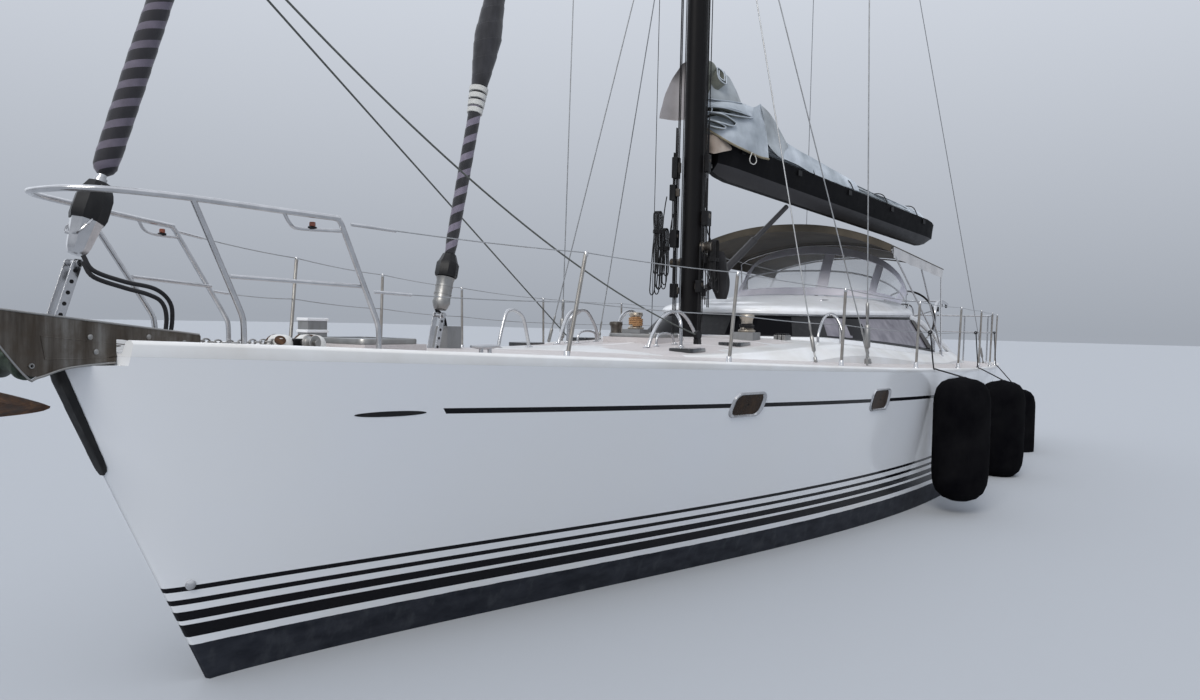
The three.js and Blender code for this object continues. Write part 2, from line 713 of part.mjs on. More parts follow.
function vangBody() {
  const low = [0, 0, 2400 - GOOSENECK.z];
  const high = [-1980, 0, boomBottom(1980) - 12];
  const at = (t) => low.map((v, i) => lerp(v, high[i], t));
  return join(
    bar(at(0.05), at(0.55), 46, 10),
    bar(at(0.5), at(0.965), 33, 10),
    bar([0, 0, low[2] - 44], [0, 0, low[2] + 44], 34, 10),
    bar(at(0.01), at(0.08), 22, 8),
  ).subtract(bar([0, 0, low[2] - 80], [0, 0, low[2] + 80], 19.5, 10));
}

function flakedSail() {
  // Columns: distance from the gooseneck, top above the boom, half width low and high.
  const stations = [
    [40, 700, 240, 150],
    [260, 880, 270, 190],
    [620, 700, 230, 170],
    [1050, 560, 210, 120],
    [1700, 250, 190, 110],
    [3600, 130, 175, 90],
    [6350, 90, 150, 70],
  ];
  return loft(
    stations.map(([r, height, low, high]) => {
      const z = boomBottom(r) + BOOM_HEIGHT + GAP;
      return [
        [-r, low * 0.7, z], [-r, low, z + height * 0.3], [-r, high, z + height * 0.85], [-r, 0, z + height],
        [-r, -high, z + height * 0.85], [-r, -low, z + height * 0.3], [-r, -low * 0.7, z],
      ];
    }),
  );
}

// Deck gear

const PULPIT_TUBE = 16;
function pulpit() {
  const half = [
    [7714, 694, 2546], [8005, 598, 2557], [8430, 448, 2576], [8720, 310, 2584], [8860, 170, 2582],
    [8895, 50, 2579],
  ];
  const starboard = half.map(([x, y, z]) => [x, -y, z]).reverse();
  const rail = tube([...half, ...starboard], PULPIT_TUBE);
  const foreLeg = tube([[8430, 448, 2576], [8076, 376, 2024], [8051, 365, 1780]], PULPIT_TUBE);
  const aftLeg = tube([[7714, 694, 2546], [7665, 683, 2465], [7356, 643, 1986], [7343, 643, 1770]], PULPIT_TUBE);
  const middleRail = bar([8190, 400, 2214], [7480, 659, 2193], 12);
  const footPlate = (x, y) => box(x - 34, x + 34, y - 34, y + 34, 1740, deckEdgeZ(x) + 12);
  const side = join(foreLeg, aftLeg, middleRail, footPlate(8051, 365), footPlate(7343, 643));
  return join(rail, bothSides(side)).subtract(underDeck);
}

// Columns: stanchion foot, how far aft its top leans.
const STANCHIONS = [
  [6290, 110], [4760, 50], [3040, 0], [1000, 0], [-1300, 0], [-3300, 0], [-5200, 0], [-6900, 0],
];
const railY = (x) => deckHalfBeam(x) - 50;
const STANCHION_HEIGHT = 690;
const RAIL_LEVEL_Z = 2315;
const railTop = (x) => Math.max(deckEdgeZ(x) + STANCHION_HEIGHT, RAIL_LEVEL_Z);

function lifelines() {
  const posts = STANCHIONS.map(([x, lean]) => {
    const y = railY(x);
    const z = deckEdgeZ(x);
    const base = box(x - 28, x + 28, y - 48, y + 8, z - 60, z + 25);
    return base.add(bar([x, y - 20, z], [x - lean, railY(x - lean), railTop(x) + 12], 13, 5));
  });
  const wire = (drop, start) => {
    const held = STANCHIONS.map(([x, lean]) => {
      const place = x - lean * (1 - drop / STANCHION_HEIGHT);
      return [place, railY(place) - drop * 0.02, railTop(x) - drop];
    });
    return tube([start, ...held, [-7420, railY(-7420) - drop * 0.02, railTop(-7420) - drop]], 5, 4);
  };
  return join(...posts, wire(0, [7660, 722, 2520]), wire(320, [7440, 690, 2165]));
}

function sternRail() {
  const z = RAIL_LEVEL_Z;
  const rail = tube(
    [
      [-7450, 2075, z], [-8000, 2000, z], [-8330, 1900, z], [-8420, 1500, z], [-8440, 0, z],
      [-8420, -1500, z], [-8330, -1900, z], [-8000, -2000, z], [-7450, -2075, z],
    ],
    PULPIT_TUBE,
  );
  const lower = tube(
    [
      [-7450, 2065, z - 320], [-8000, 1990, z - 320], [-8330, 1885, z - 320], [-8420, 1500, z - 320],
      [-8440, 0, z - 320], [-8420, -1500, z - 320], [-8330, -1885, z - 320], [-8000, -1990, z - 320],
      [-7450, -2065, z - 320],
    ],
    12,
  );
  const leg = (x, y) => bar([x, y, z], [x, y - 5, 1250], PULPIT_TUBE);
  const davit = tube(
    [[-8250, 900, 1250], [-8260, 900, 2300], [-8450, 900, 2560], [-8900, 900, 2620], [-9650, 900, 2560]],
    36,
  );
  const davitTie = bar([-8900, -900, 2615], [-8900, 900, 2615], 18, 8);
  const davitBrace = bar([-8256, 900, z], [-8432, 900, z], 14, 8);
  const side = join(leg(-7460, 2070), leg(-8330, 1895), leg(-8420, 1450), davit, davitBrace);
  const whole = join(rail, lower, bothSides(side), davitTie);
  return whole.subtract(underDeck).subtract(hullSolid.translate([0, 0, GAP]));
}

// A bent guard of three legs, with its low hand loop.
function guardBar(x, y, z) {
  const foot = z - 120;
  const arch = tube(
    [[x + 500, y - 50, foot], [x + 400, y - 40, z + 120], [x + 130, y, z + 340], [x - 130, y, z + 345],
      [x - 410, y + 30, z + 160], [x - 490, y + 40, foot]],
    17,
  );
  const middle = tube([[x + 60, y + 100, foot], [x + 50, y + 90, z + 250], [x - 20, y, z + 340]], 17);
  const loop = tube(
    [[x + 190, y - 100, foot], [x + 180, y - 100, z + 90], [x, y - 100, z + 135], [x - 180, y - 100, z + 90],
      [x - 200, y - 90, foot]],
    11,
    5,
  );
  const tie = bar([x + 50, y + 90, z + 8], [x + 180, y - 100, z + 8], 11);
  return join(arch, middle, loop, tie, bar([x + 490, y - 49, z + 8], [x - 485, y + 39, z + 8], 11));
}

function winch(x, y, z, padSize, padHeight) {
  const pad = box(x - padSize, x + padSize, y - padSize, y + padSize, z - 200, z + padHeight);
  const drum = turned(x, y, [
    [0, z], [95, z], [95, z + padHeight + 20], [70, z + padHeight + 50], [62, z + padHeight + 120],
    [82, z + padHeight + 165], [78, z + padHeight + 190], [30, z + padHeight + 205], [0, z + padHeight + 205],
  ]);
  return pad.add(drum);
}

function windlass() {
  const x = 7370;
  const z = deckEdgeZ(x);
  const base = box(x - 210, x + 210, -150, 150, z - 60, z + 15);
  const dome = (place, radius) =>
    turned(place, 0, [[0, z], [radius, z], [radius, z + 50], [radius * 0.72, z + 82], [0, z + 95]], 16);
  const axle = bar([x + 15, -200, z + 48], [x + 15, 200, z + 48], 20, 10);
  const drum = (y0, y1) => bar([x + 15, y0, z + 48], [x + 15, y1, z + 48], 46, 14);
  const drums = join(drum(110, 180), drum(-180, -110));
  return join(base, dome(x - 105, 100), dome(x + 125, 80), axle, drums).subtract(underDeck);
}

function stemFitting() {
  const cheekOutline = [
    [8150, 1835], [8150, 1912], [9290, 2040], [9045, 1728], [8990, 1722], [8850, 1762],
    [8600 + 18, 1780], [8600 + 18, 1890], [8400, 1880],
  ];
  const cheek = plateXZ(cheekOutline, 142, 150);
  const tray = box(8618, 8900, -142, 142, 1780, 1792);
  const cross = box(8618, 8626, -150, 150, 1780, 1862);
  const bridge = box(8800, 8900, -145, 145, 1926, 1938);
  const anchorPlate = box(8830, 8910, -142, 142, 1790, 1880);
  const pin = bar([9020, -158, 1772], [9020, 158, 1772], 12, 8);
  const slottedPlate = anchorPlate.subtract(box(8820, 8920, -60, 60, 1800, 1920));
  return join(bothSides(cheek), tray, cross, bridge, slottedPlate, pin)
    .subtract(underDeck.subtract(noseCut))
    .subtract(bareHull.subtract(noseCut).translate([GAP, 0, GAP]));
}

function anchorRoller() {
  const profile = [[20, -118], [66, -118], [52, -60], [42, 0], [52, 60], [66, 118], [20, 118], [20, -118]];
  const geometry = new THREE.LatheGeometry(profile.map(([r, y]) => new THREE.Vector2(r, y)), 14);
  return solid(geometry.translate(9020, 0, 1772));
}

function anchor() {
  const shank = plateXZ(
    [
      [8330, 1905], [8330, 1950], [9080, 1895], [9330, 1840], [9470, 1740], [9420, 1690], [9280, 1790],
      [9060, 1838],
    ],
    -14,
    14,
  );
  const fluke = loft([
    [[8850, 0, 1578], [8850, 6, 1572], [8850, 0, 1566], [8850, -6, 1572]],
    [[9150, 0, 1668], [9150, 170, 1640], [9150, 0, 1600], [9150, -170, 1640]],
    [[9430, 0, 1740], [9430, 250, 1735], [9430, 0, 1650], [9430, -250, 1735]],
    [[9520, 0, 1745], [9520, 200, 1765], [9520, 0, 1690], [9520, -200, 1765]],
  ]);
  return shank.add(fluke);
}

function cleat(x, y) {
  const z = deckEdgeZ(x);
  return join(
    bar([x - 150, y, z + 62], [x + 150, y, z + 62], 16, 8),
    bar([x - 45, y, z - 80], [x - 45, y, z + 62], 15, 8),
    bar([x + 45, y, z - 80], [x + 45, y, z + 62], 15, 8),
    box(x - 85, x + 85, y - 32, y + 32, z - 80, z - 5),
  );
}

// Canvas

function sprayhood() {
  const rows = 5;
  const columns = 13;
  const grid = [];
  for (let i = 0; i < rows; i++) {
    const s = i / (rows - 1);
    const row = [];
    for (let j = 0; j < columns; j++) {
      const angle = lerp(-86, 86, j / (columns - 1)) * (Math.PI / 180);
      const across = Math.sin(angle);
      const up = Math.cos(angle);
      const foot = [-3830 + 1650 * up ** 0.75, 1290 * across, 2395 + 110 * up];
      const bow = [-3840 + 760 * up ** 0.5, 1310 * across, 2410 + 880 * up ** 0.62];
      const bulge = 60 * Math.sin(Math.PI * s) * up;
      row.push([lerp(foot[0], bow[0], s) + bulge, lerp(foot[1], bow[1], s), lerp(foot[2], bow[2], s)]);
    }
    grid.push(row);
  }
  return shell(grid, 12);
}

const BIMINI = { x: [-1700, -5600], halfWidth: 1500, frontZ: 3490, aftZ: 3300 };
function canopyZ(x, y) {
  const t = (x - BIMINI.x[0]) / (BIMINI.x[1] - BIMINI.x[0]);
  return lerp(BIMINI.frontZ, BIMINI.aftZ, t) - lerp(330, 230, t) * (Math.abs(y) / BIMINI.halfWidth) ** 2.2;
}

function bimini() {
  const grid = [];
  for (let i = 0; i <= 6; i++) {
    const x = lerp(BIMINI.x[0], BIMINI.x[1], i / 6);
    const row = [];
    for (let j = -6; j <= 6; j++) {
      const y = (BIMINI.halfWidth * j) / 6;
      row.push([x, y, canopyZ(x, y)]);
    }
    grid.push(row);
  }
  return shell(grid, 12);
}

function biminiFrame() {
  const foot = [-4500, 1690, 1700];
  const bow = (x) => {
    const under = (y) => canopyZ(x, y) - 32;
    return tube(
      [
        [x, -1470, under(1470) - 20], [x, -1300, under(1300)], [x, -700, under(700)], [x, 0, under(0)],
        [x, 700, under(700)], [x, 1300, under(1300)], [x, 1470, under(1470) - 20],
      ],
      13,
      5,
    );
  };
  const leg = (x) => bar(foot, [x, 1470, canopyZ(x, 1470) - 52], 13, 5);
  const places = [-1760, -3700, -5540];
  return standing(join(
      ...places.map(bow),
      bothSides(join(bar(foot, [foot[0], foot[1], 1450], 22), ...places.map(leg))),
    ));
}

// Steering

function pedestal(side) {
  const y = side * WHEEL.y;
  const ring = (x0, x1, half, z) => [[x1, y + half, z], [x1, y - half, z], [x0, y - half, z], [x0, y + half, z]];
  const pod = loft([
    ring(-5320, -5080, 130, TUB.sole + GAP),
    ring(-5290, -5100, 120, 1700),
    ring(-5300, -5060, 150, 2120),
    ring(-5280, -5120, 140, 2300),
  ]);
  return pod.add(bar([-5290, y, WHEEL.z], [-5366, y, WHEEL.z], 26, 10));
}

function wheel(side) {
  const y = side * WHEEL.y;
  const torus = new THREE.TorusGeometry(WHEEL.radius - 18, 17, 5, 24).rotateY(Math.PI / 2);
  const rim = solid(torus.translate(WHEEL.x, y, WHEEL.z));
  const hub = bar([WHEEL.x - 35, y, WHEEL.z], [WHEEL.x + 28, y, WHEEL.z], 45, 12);
  const spokes = Array.from({ length: 5 }, (_, i) => {
    const angle = Math.PI / 2 + (2 * Math.PI * i) / 5;
    const reach = WHEEL.radius - 20;
    const end = [WHEEL.x, y + reach * Math.cos(angle), WHEEL.z + reach * Math.sin(angle)];
    return bar([WHEEL.x, y, WHEEL.z], end, 9, 4);
  });
  return join(rim, hub, ...spokes);
}

// Below the water

function foil(x, chord, thick, z) {
  // Columns: place along the chord, part of the half thickness.
  const outline = [[0.5, 0], [0.42, 0.6], [0.2, 1], [-0.1, 0.85], [-0.5, 0.05]];
  const port = outline.map(([along, part]) => [x + chord * along, (thick / 2) * part, z]);
  const starboard = outline.slice(1).map(([along, part]) => [x + chord * along, (-thick / 2) * part, z]).reverse();
  return [...port, ...starboard];
}

function keel() {
  const fin = loft([foil(450, 2900, 330, -450), foil(420, 2500, 290, -1000), foil(250, 1900, 250, -2350)]);
  const bulb = solid(
    new THREE.LatheGeometry(
      [[0, -1500], [110, -1350], [210, -900], [240, -300], [220, 400], [120, 1150], [0, 1500]].map(
        ([r, x]) => new THREE.Vector2(r, x),
      ),
      14,
    ).rotateZ(Math.PI / 2).scale(1, 1, 0.9).translate(150, 0, -2300),
  );
  return fin.add(bulb).subtract(bareHull.translate([0, 0, -GAP]));
}

function rudder() {
  const blade = loft([foil(RUDDER_X - 190, 900, 130, -330), foil(RUDDER_X - 130, 640, 90, -1950)]);
  return blade.add(bar([RUDDER_X, 0, -360], [RUDDER_X, 0, 100], 50, 12));
}

function shaftStrut() {
  const x = -5600;
  const z = shaftLine(x);
  const arm = loft([foil(x, 190, 30, z), foil(x + 40, 230, 34, -300)]);
  const barrel = bar([x + 70, 0, shaftLine(x + 70)], [x - 70, 0, shaftLine(x - 70)], 52, 12);
  const bore = bar([x + 200, 0, shaftLine(x + 200)], [x - 200, 0, shaftLine(x - 200)], 29, 12);
  return arm.add(barrel).subtract(bore).subtract(bareHull.translate([0, 0, -GAP]));
}

function propeller() {
  const axis = SHAFT_END.clone().sub(SHAFT_START).normalize();
  const hubX = -5780;
  const centre = new THREE.Vector3(hubX, 0, shaftLine(hubX));
  const at = (distance) => centre.clone().addScaledVector(axis, distance).toArray();
  const shaft = bar([-4170, 0, shaftLine(-4170)], at(0), 22, 10);
  const hub = bar(at(-75), at(85), 62, 12, 40);
  const tilt = Math.atan2(axis.z, axis.x);
  const blades = [0, 1, 2].map((i) => {
    const ring = (radius, chord, pitch) => {
      const angle = (2 * Math.PI * i) / 3;
      const out = new THREE.Vector3(0, Math.cos(angle), Math.sin(angle));
      const turn = new THREE.Vector3(0, -Math.sin(angle), Math.cos(angle));
      const across = turn.multiplyScalar(Math.cos(pitch)).add(new THREE.Vector3(Math.sin(pitch), 0, 0));
      const thick = new THREE.Vector3().crossVectors(out, across).setLength(7);
      return [[1, 1], [-1, 1], [-1, -1], [1, -1]].map(([a, b]) => {
        const p = out.clone().multiplyScalar(radius);
        p.addScaledVector(across, (chord / 2) * a).addScaledVector(thick, b);
        return p.applyAxisAngle(new THREE.Vector3(0, 1, 0), Math.PI - tilt).add(centre).toArray();
      });
    };
    return loft([ring(30, 90, 1.0), ring(180, 190, 0.6), ring(290, 110, 0.45)]);
  });
  return join(shaft, hub, ...blades);
}

// Fenders hang on the port side. Columns: place along the hull, how much lower it hangs.
const FENDERS = [[450, 0], [-2800, 170], [-6000, 450]];
const FENDER_RADIUS = 300;
function fender(x, drop) {
  const y = deckHalfBeam(x + FENDER_RADIUS) + FENDER_RADIUS + 8;
  return turned(
    x,
    y,
    [
      [0, 140], [180, 160], [285, 260], [FENDER_RADIUS, 450], [FENDER_RADIUS, 1250], [275, 1400], [160, 1490],
      [0, 1515],
    ],
    16,
  ).translate([0, 0, -drop]);
}

// Assembly

const yacht = new THREE.Group();
const boomGroup = new THREE.Group();
boomGroup.position.copy(GOOSENECK);
boomGroup.rotation.z = BOOM_SWING;
yacht.add(boomGroup);

function place(name, made, material, group = yacht) {
  const mesh = new THREE.Mesh(geometryOf(made), material);
  mesh.name = name;
  group.add(mesh);
}

place("hull", hullSolid, MATERIAL.hullWhite);
place("deck", deckSolid, MATERIAL.deckWhite);
place("coachroof", coachroofSolid, MATERIAL.deckWhite);
place("cockpit_tub", cockpitTub(), MATERIAL.deckWhite);
place("deckhouse", deckhouseSolid, MATERIAL.deckWhite);
place("deckhouse_roof", roofSolid, MATERIAL.deckWhite);
place("windscreen_port", pane(true, true), MATERIAL.tintedGlass);
place("windscreen_starboard", pane(false, true), MATERIAL.tintedGlass);
place("side_window_port", pane(true, false), MATERIAL.tintedGlass);
place("side_window_starboard", pane(false, false), MATERIAL.tintedGlass);
place("companionway_hatch", hatchPlate, MATERIAL.tintedGlass);

const hatchLid = ({ x, size, top }) =>
  box(x - size / 2, x + size / 2, -size / 2, size / 2, top + GAP, top + 38);
place("fore_hatch_lid", hatchLid(FORE_HATCH), MATERIAL.tintedGlass);
place("middle_hatch_lid", hatchLid(MIDDLE_HATCH), MATERIAL.tintedGlass);

place("keel", keel(), MATERIAL.antifouling);
place("rudder", rudder(), MATERIAL.antifouling);
place("shaft_strut", shaftStrut(), MATERIAL.bronze);
place("propeller", propeller(), MATERIAL.bronze);

place("mast", standing(mastBody()), MATERIAL.mastBlack);
place("backstay", backstay(), MATERIAL.steel);
place("furled_genoa", genoaRoll, MATERIAL.sailDark);
place("genoa_drum", genoaDrum, MATERIAL.steel);
place("genoa_tack_link", tackLink(GENOA_FOOT, GENOA_HEAD, 1952, 2262), MATERIAL.steel);
place("furled_staysail", staysailRoll, MATERIAL.sailDark);
place("staysail_drum", staysailDrum, MATERIAL.steel);
place(
  "staysail_tack_link",
  tackLink(STAYSAIL_FOOT, STAYSAIL_HEAD, 1700, 2062).subtract(underDeck),
  MATERIAL.steel,
);

place("boom", boomBody(), MATERIAL.boomGrey, boomGroup);
place("boom_vang", vangBody(), MATERIAL.boomGrey, boomGroup);
place("furled_mainsail", flakedSail(), MATERIAL.sailGrey, boomGroup);

place("pulpit", pulpit(), MATERIAL.steel);
place("stern_rail", sternRail(), MATERIAL.steel);
place("stem_fitting", stemFitting(), MATERIAL.agedSteel);
place("anchor_roller", anchorRoller(), MATERIAL.rubber);
place("anchor", anchor(), MATERIAL.rustyIron);
place("windlass", windlass(), MATERIAL.grey);

const sides = [["port", 1], ["starboard", -1]];
for (const [name, sign] of sides) {
  const onSide = (made) => standing(sign > 0 ? made : mirrored(made));
  place(`shrouds_${name}`, onSide(shrouds()), MATERIAL.steel);
  place(`lifelines_${name}`, onSide(lifelines()), MATERIAL.steel);
  place(`mast_guard_${name}`, onSide(guardBar(3160, 540, 1795)), MATERIAL.steel);
  place(`mast_winch_${name}`, onSide(winch(1620, 690, 1850, 120, 100)), MATERIAL.bronze);
  place(`cockpit_winch_${name}`, onSide(winch(-4700, 1370, 1650, 90, 20)), MATERIAL.steel);
  place(`bow_cleat_${name}`, onSide(cleat(6580, 830)), MATERIAL.steel);
  place(`stern_cleat_${name}`, onSide(cleat(-7900, 1820)), MATERIAL.steel);
  place(`pedestal_${name}`, pedestal(sign), MATERIAL.deckWhite);
  place(`wheel_${name}`, wheel(sign), MATERIAL.steel);
}

place("sprayhood", sprayhood(), MATERIAL.hoodGrey);
place("bimini", bimini(), MATERIAL.canvas);
place("bimini_frame", biminiFrame(), MATERIAL.steel);
FENDERS.forEach(([x, drop], i) => place(`fender_${i + 1}`, fender(x, drop), MATERIAL.fenderCloth));

export default yacht;
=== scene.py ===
"""A cutter-rigged sailing yacht afloat, over its frame. Metres: +X to the bow, +Y to port, +Z up."""
import math

import bmesh
import bpy
import numpy as np
from mathutils import Matrix, Vector


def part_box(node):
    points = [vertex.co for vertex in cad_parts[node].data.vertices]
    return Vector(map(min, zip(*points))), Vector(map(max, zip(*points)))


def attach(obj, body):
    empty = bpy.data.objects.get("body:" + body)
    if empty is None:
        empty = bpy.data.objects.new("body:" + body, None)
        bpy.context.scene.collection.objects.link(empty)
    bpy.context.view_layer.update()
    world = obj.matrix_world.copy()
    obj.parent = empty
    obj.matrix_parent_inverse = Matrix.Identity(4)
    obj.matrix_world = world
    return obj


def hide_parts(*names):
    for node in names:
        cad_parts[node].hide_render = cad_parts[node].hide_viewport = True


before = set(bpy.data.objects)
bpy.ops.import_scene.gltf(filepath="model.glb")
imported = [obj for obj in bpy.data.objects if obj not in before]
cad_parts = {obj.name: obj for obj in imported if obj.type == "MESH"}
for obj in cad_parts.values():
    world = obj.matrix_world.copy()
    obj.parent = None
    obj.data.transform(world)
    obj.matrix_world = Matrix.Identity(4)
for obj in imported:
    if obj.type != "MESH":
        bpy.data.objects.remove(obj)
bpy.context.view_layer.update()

# Camera

CAMERA_PLACE = Vector((11.373, 4.406, 2.026))
CAMERA_YAW = 0.519
CAMERA_PITCH = -0.030
CAMERA_ROLL = 0.023
FOCAL_PIXELS = 935.3
PHOTO_WIDTH = 1200
SENSOR_MM = 36


def make_camera():
    """The view looks aft and to starboard over the port bow."""
    level = Vector((-math.cos(CAMERA_YAW), -math.sin(CAMERA_YAW), 0))
    side = Vector((-math.sin(CAMERA_YAW), math.cos(CAMERA_YAW), 0))
    up = Vector((0, 0, 1))
    forward = level * math.cos(CAMERA_PITCH) + up * math.sin(CAMERA_PITCH)
    above = up * math.cos(CAMERA_PITCH) - level * math.sin(CAMERA_PITCH)
    right = side * math.cos(CAMERA_ROLL) + above * math.sin(CAMERA_ROLL)
    top = above * math.cos(CAMERA_ROLL) - side * math.sin(CAMERA_ROLL)
    data = bpy.data.cameras.new("photo_camera")
    data.sensor_width = SENSOR_MM
    data.lens = FOCAL_PIXELS / PHOTO_WIDTH * SENSOR_MM
    data.clip_end = 500
    camera = bpy.data.objects.new("photo_camera", data)
    bpy.context.scene.collection.objects.link(camera)
    turn = Matrix((right, top, -forward)).transposed().to_4x4()
    camera.matrix_world = Matrix.Translation(CAMERA_PLACE) @ turn
    bpy.context.scene.camera = camera


make_camera()

# Hull form, as the frame has it

SIDES = (("port", 1), ("starboard", -1))
HALF_LENGTH = 8.9
RAIL_WIDTH = 0.095
RAIL_HEIGHT = 0.035
DECK_CROWN = 0.05
DECK_JOIN_DROP = 0.045
MAST_X = 1.6
MAST_TOP_Z = 24.0


def lerp(a, b, t):
    return a + (b - a) * t


def clamp(value, low=0.0, high=1.0):
    return max(low, min(high, value))


def deck_edge_z(x):
    return 1.585 + 0.031 * x + (0.0012 * x * x if x < 0 else 0)


def stem_x(z):
    return 7.97 + 0.5 * z - (2.8 * z * z if z < 0 else 0)


def stern_x(z):
    return -HALF_LENGTH + 0.28 * max(0, z - 0.25)


def deck_plan(distance):
    if distance > 10:
        return 2.5 - 0.5 * ((distance - 10) / 7.8) ** 2.2
    nose = 0.1 * (1 - math.exp(-distance / 0.08))
    return nose + 2.4 * (1 - (1 - distance / 10) ** 2.35)


def water_plan(distance):
    if distance > 9.5:
        return 2.42 - 0.95 * ((distance - 9.5) / 7.4) ** 2.2
    return 2.42 * math.sin(math.pi / 2 * distance / 9.5) ** 1.2


def half_beam(x, z):
    distance = max(0, stem_x(z) - x)
    return 0.022 + lerp(water_plan(distance), deck_plan(distance), clamp(z / deck_edge_z(x)))


def deck_half_beam(x):
    return half_beam(x, deck_edge_z(x))


def bottom_z(u):
    if u < 0.55:
        return -0.85 + 0.83 * ((0.55 - u) / 0.55) ** 1.7
    return -0.85 + 0.4 * ((u - 0.55) / 0.45) ** 2.2


# Mesh kit


def around(count):
    """Angles of a full turn, evenly spaced."""
    return np.linspace(0, 2 * math.pi, count, endpoint=False)


def spline(points, count, closed=False):
    """Points or rows of a table, resampled evenly by length on a smooth curve through the given ones."""
    known = [np.array(p, float) for p in points]
    if closed:
        known = [known[-1], *known, known[0], known[1]]
    else:
        known = [2 * known[0] - known[1], *known, 2 * known[-1] - known[-2]]
    fine = []
    for a, b, c, d in zip(known, known[1:], known[2:], known[3:]):
        for t in np.linspace(0, 1, 16, endpoint=False):
            fine.append(0.5 * (
                2 * b + (c - a) * t + (2 * a - 5 * b + 4 * c - d) * t**2 + (3 * b - a - 3 * c + d) * t**3
            ))
    fine.append(known[-2])
    fine = np.array(fine)
    run = np.concatenate([[0], np.cumsum(np.linalg.norm(np.diff(fine, axis=0), axis=1))])
    at = np.linspace(0, run[-1], count + 1 if closed else count)
    made = np.stack([np.interp(at, run, fine[:, k]) for k in range(fine.shape[1])], axis=1)
    return made[:-1] if closed else made


def grid(rows, close_rows=False, close_columns=False):
    """Faces over rows of points."""
    rows = [list(r) for r in rows]
    n, m = len(rows), len(rows[0])
    faces = []
    for i in range(n if close_rows else n - 1):
        for j in range(m if close_columns else m - 1):
            k, l = (i + 1) % n, (j + 1) % m
            faces.append((i * m + j, i * m + l, k * m + l, k * m + j))
    return [p for r in rows for p in r], faces


def loft(rings):
    """A closed body through closed rings, its ends closed by fans round their middles."""
    points, faces = grid(rings, close_columns=True)
    m = len(rings[0])
    for ring, start, flip in ((rings[0], 0, True), (rings[-1], (len(rings) - 1) * m, False)):
        points.append(np.mean(np.array(ring, float), axis=0))
        middle = len(points) - 1
        for j in range(m):
            a, b = start + j, start + (j + 1) % m
            faces.append((middle, b, a) if flip else (middle, a, b))
    return points, faces


def pipe(path, radius, sides=10, closed=False):
    """A round tube along a path; radius may be a list, one for each point."""
    path = [np.array(p, float) for p in path]
    n = len(path)
    radii = radius if hasattr(radius, "__len__") else [radius] * n
    rings = []
    across = None
    for i, p in enumerate(path):
        before = path[i - 1] if i or closed else p
        after = path[(i + 1) % n] if i < n - 1 or closed else p
        along = after - before
        along = along / max(np.linalg.norm(along), 1e-9)
        if across is None:
            across = np.cross(along, (0.0, 0.0, 1.0) if abs(along[2]) < 0.9 else (1.0, 0.0, 0.0))
        across = across - along * np.dot(across, along)
        across = across / np.linalg.norm(across)
        side = np.cross(along, across)
        angles = [2 * math.pi * k / sides for k in range(sides)]
        rings.append([p + radii[i] * (across * math.cos(a) + side * math.sin(a)) for a in angles])
    if closed:
        return grid(rings, close_rows=True, close_columns=True)
    return loft(rings)


def bar(a, b, radius, sides=10):
    return pipe([a, b], radius, sides)


def tube(points, count, radius, sides):
    """A round tube on a smooth curve through the points."""
    return pipe(spline(points, count), radius, sides)


def lathe(profile, at=(0, 0, 0), axis=(0, 0, 1), sides=24):
    """A turned body from [radius, height] pairs; a closed profile gives a ring."""
    axis = Vector(axis).normalized()
    turn = axis.to_track_quat("Z", "Y").to_matrix()
    ring = lambda r, h: [
        Vector(at) + turn @ Vector((r * math.cos(a), r * math.sin(a), h))
        for a in (2 * math.pi * k / sides for k in range(sides))
    ]
    rows = [ring(r, h) for r, h in profile]
    if profile[0] == profile[-1]:
        return grid(rows[:-1], close_rows=True, close_columns=True)
    return loft(rows)


def cylinder(radius, half, at, axis, sides):
    return lathe([(0, -half), (radius, -half), (radius, half), (0, half)], at, axis, sides)


def box(low, high):
    (x0, y0, z0), (x1, y1, z1) = low, high
    points = [(x, y, z) for x in (x0, x1) for y in (y0, y1) for z in (z0, z1)]
    faces = [(0, 1, 3, 2), (4, 6, 7, 5), (0, 4, 5, 1), (2, 3, 7, 6), (0, 2, 6, 4), (1, 5, 7, 3)]
    return points, faces


def plate(outline, thickness, place):
    """An outline of 2-D points as a slab; place turns (u, v, w) into a point."""
    n = len(outline)
    points = [place(u, v, w) for w in (0, thickness) for u, v in outline]
    faces = [tuple(range(n))[::-1], tuple(range(n, 2 * n))]
    faces += [(i, (i + 1) % n, n + (i + 1) % n, n + i) for i in range(n)]
    return points, faces


def rounded(width, height, radius, steps=5):
    """The outline of a rounded rectangle about the origin."""
    made = []
    for cx, cy, start in ((1, 1, 0), (-1, 1, 90), (-1, -1, 180), (1, -1, 270)):
        for k in range(steps + 1):
            a = math.radians(start + 90 * k / steps)
            x = cx * (width / 2 - radius) + radius * math.cos(a)
            y = cy * (height / 2 - radius) + radius * math.sin(a)
            made.append((x, y))
    return made


def flipped(made):
    """The same mesh on the other side of the centreline."""
    points, faces = made
    return [(p[0], -p[1], p[2]) for p in points], [tuple(reversed(f)) for f in faces]


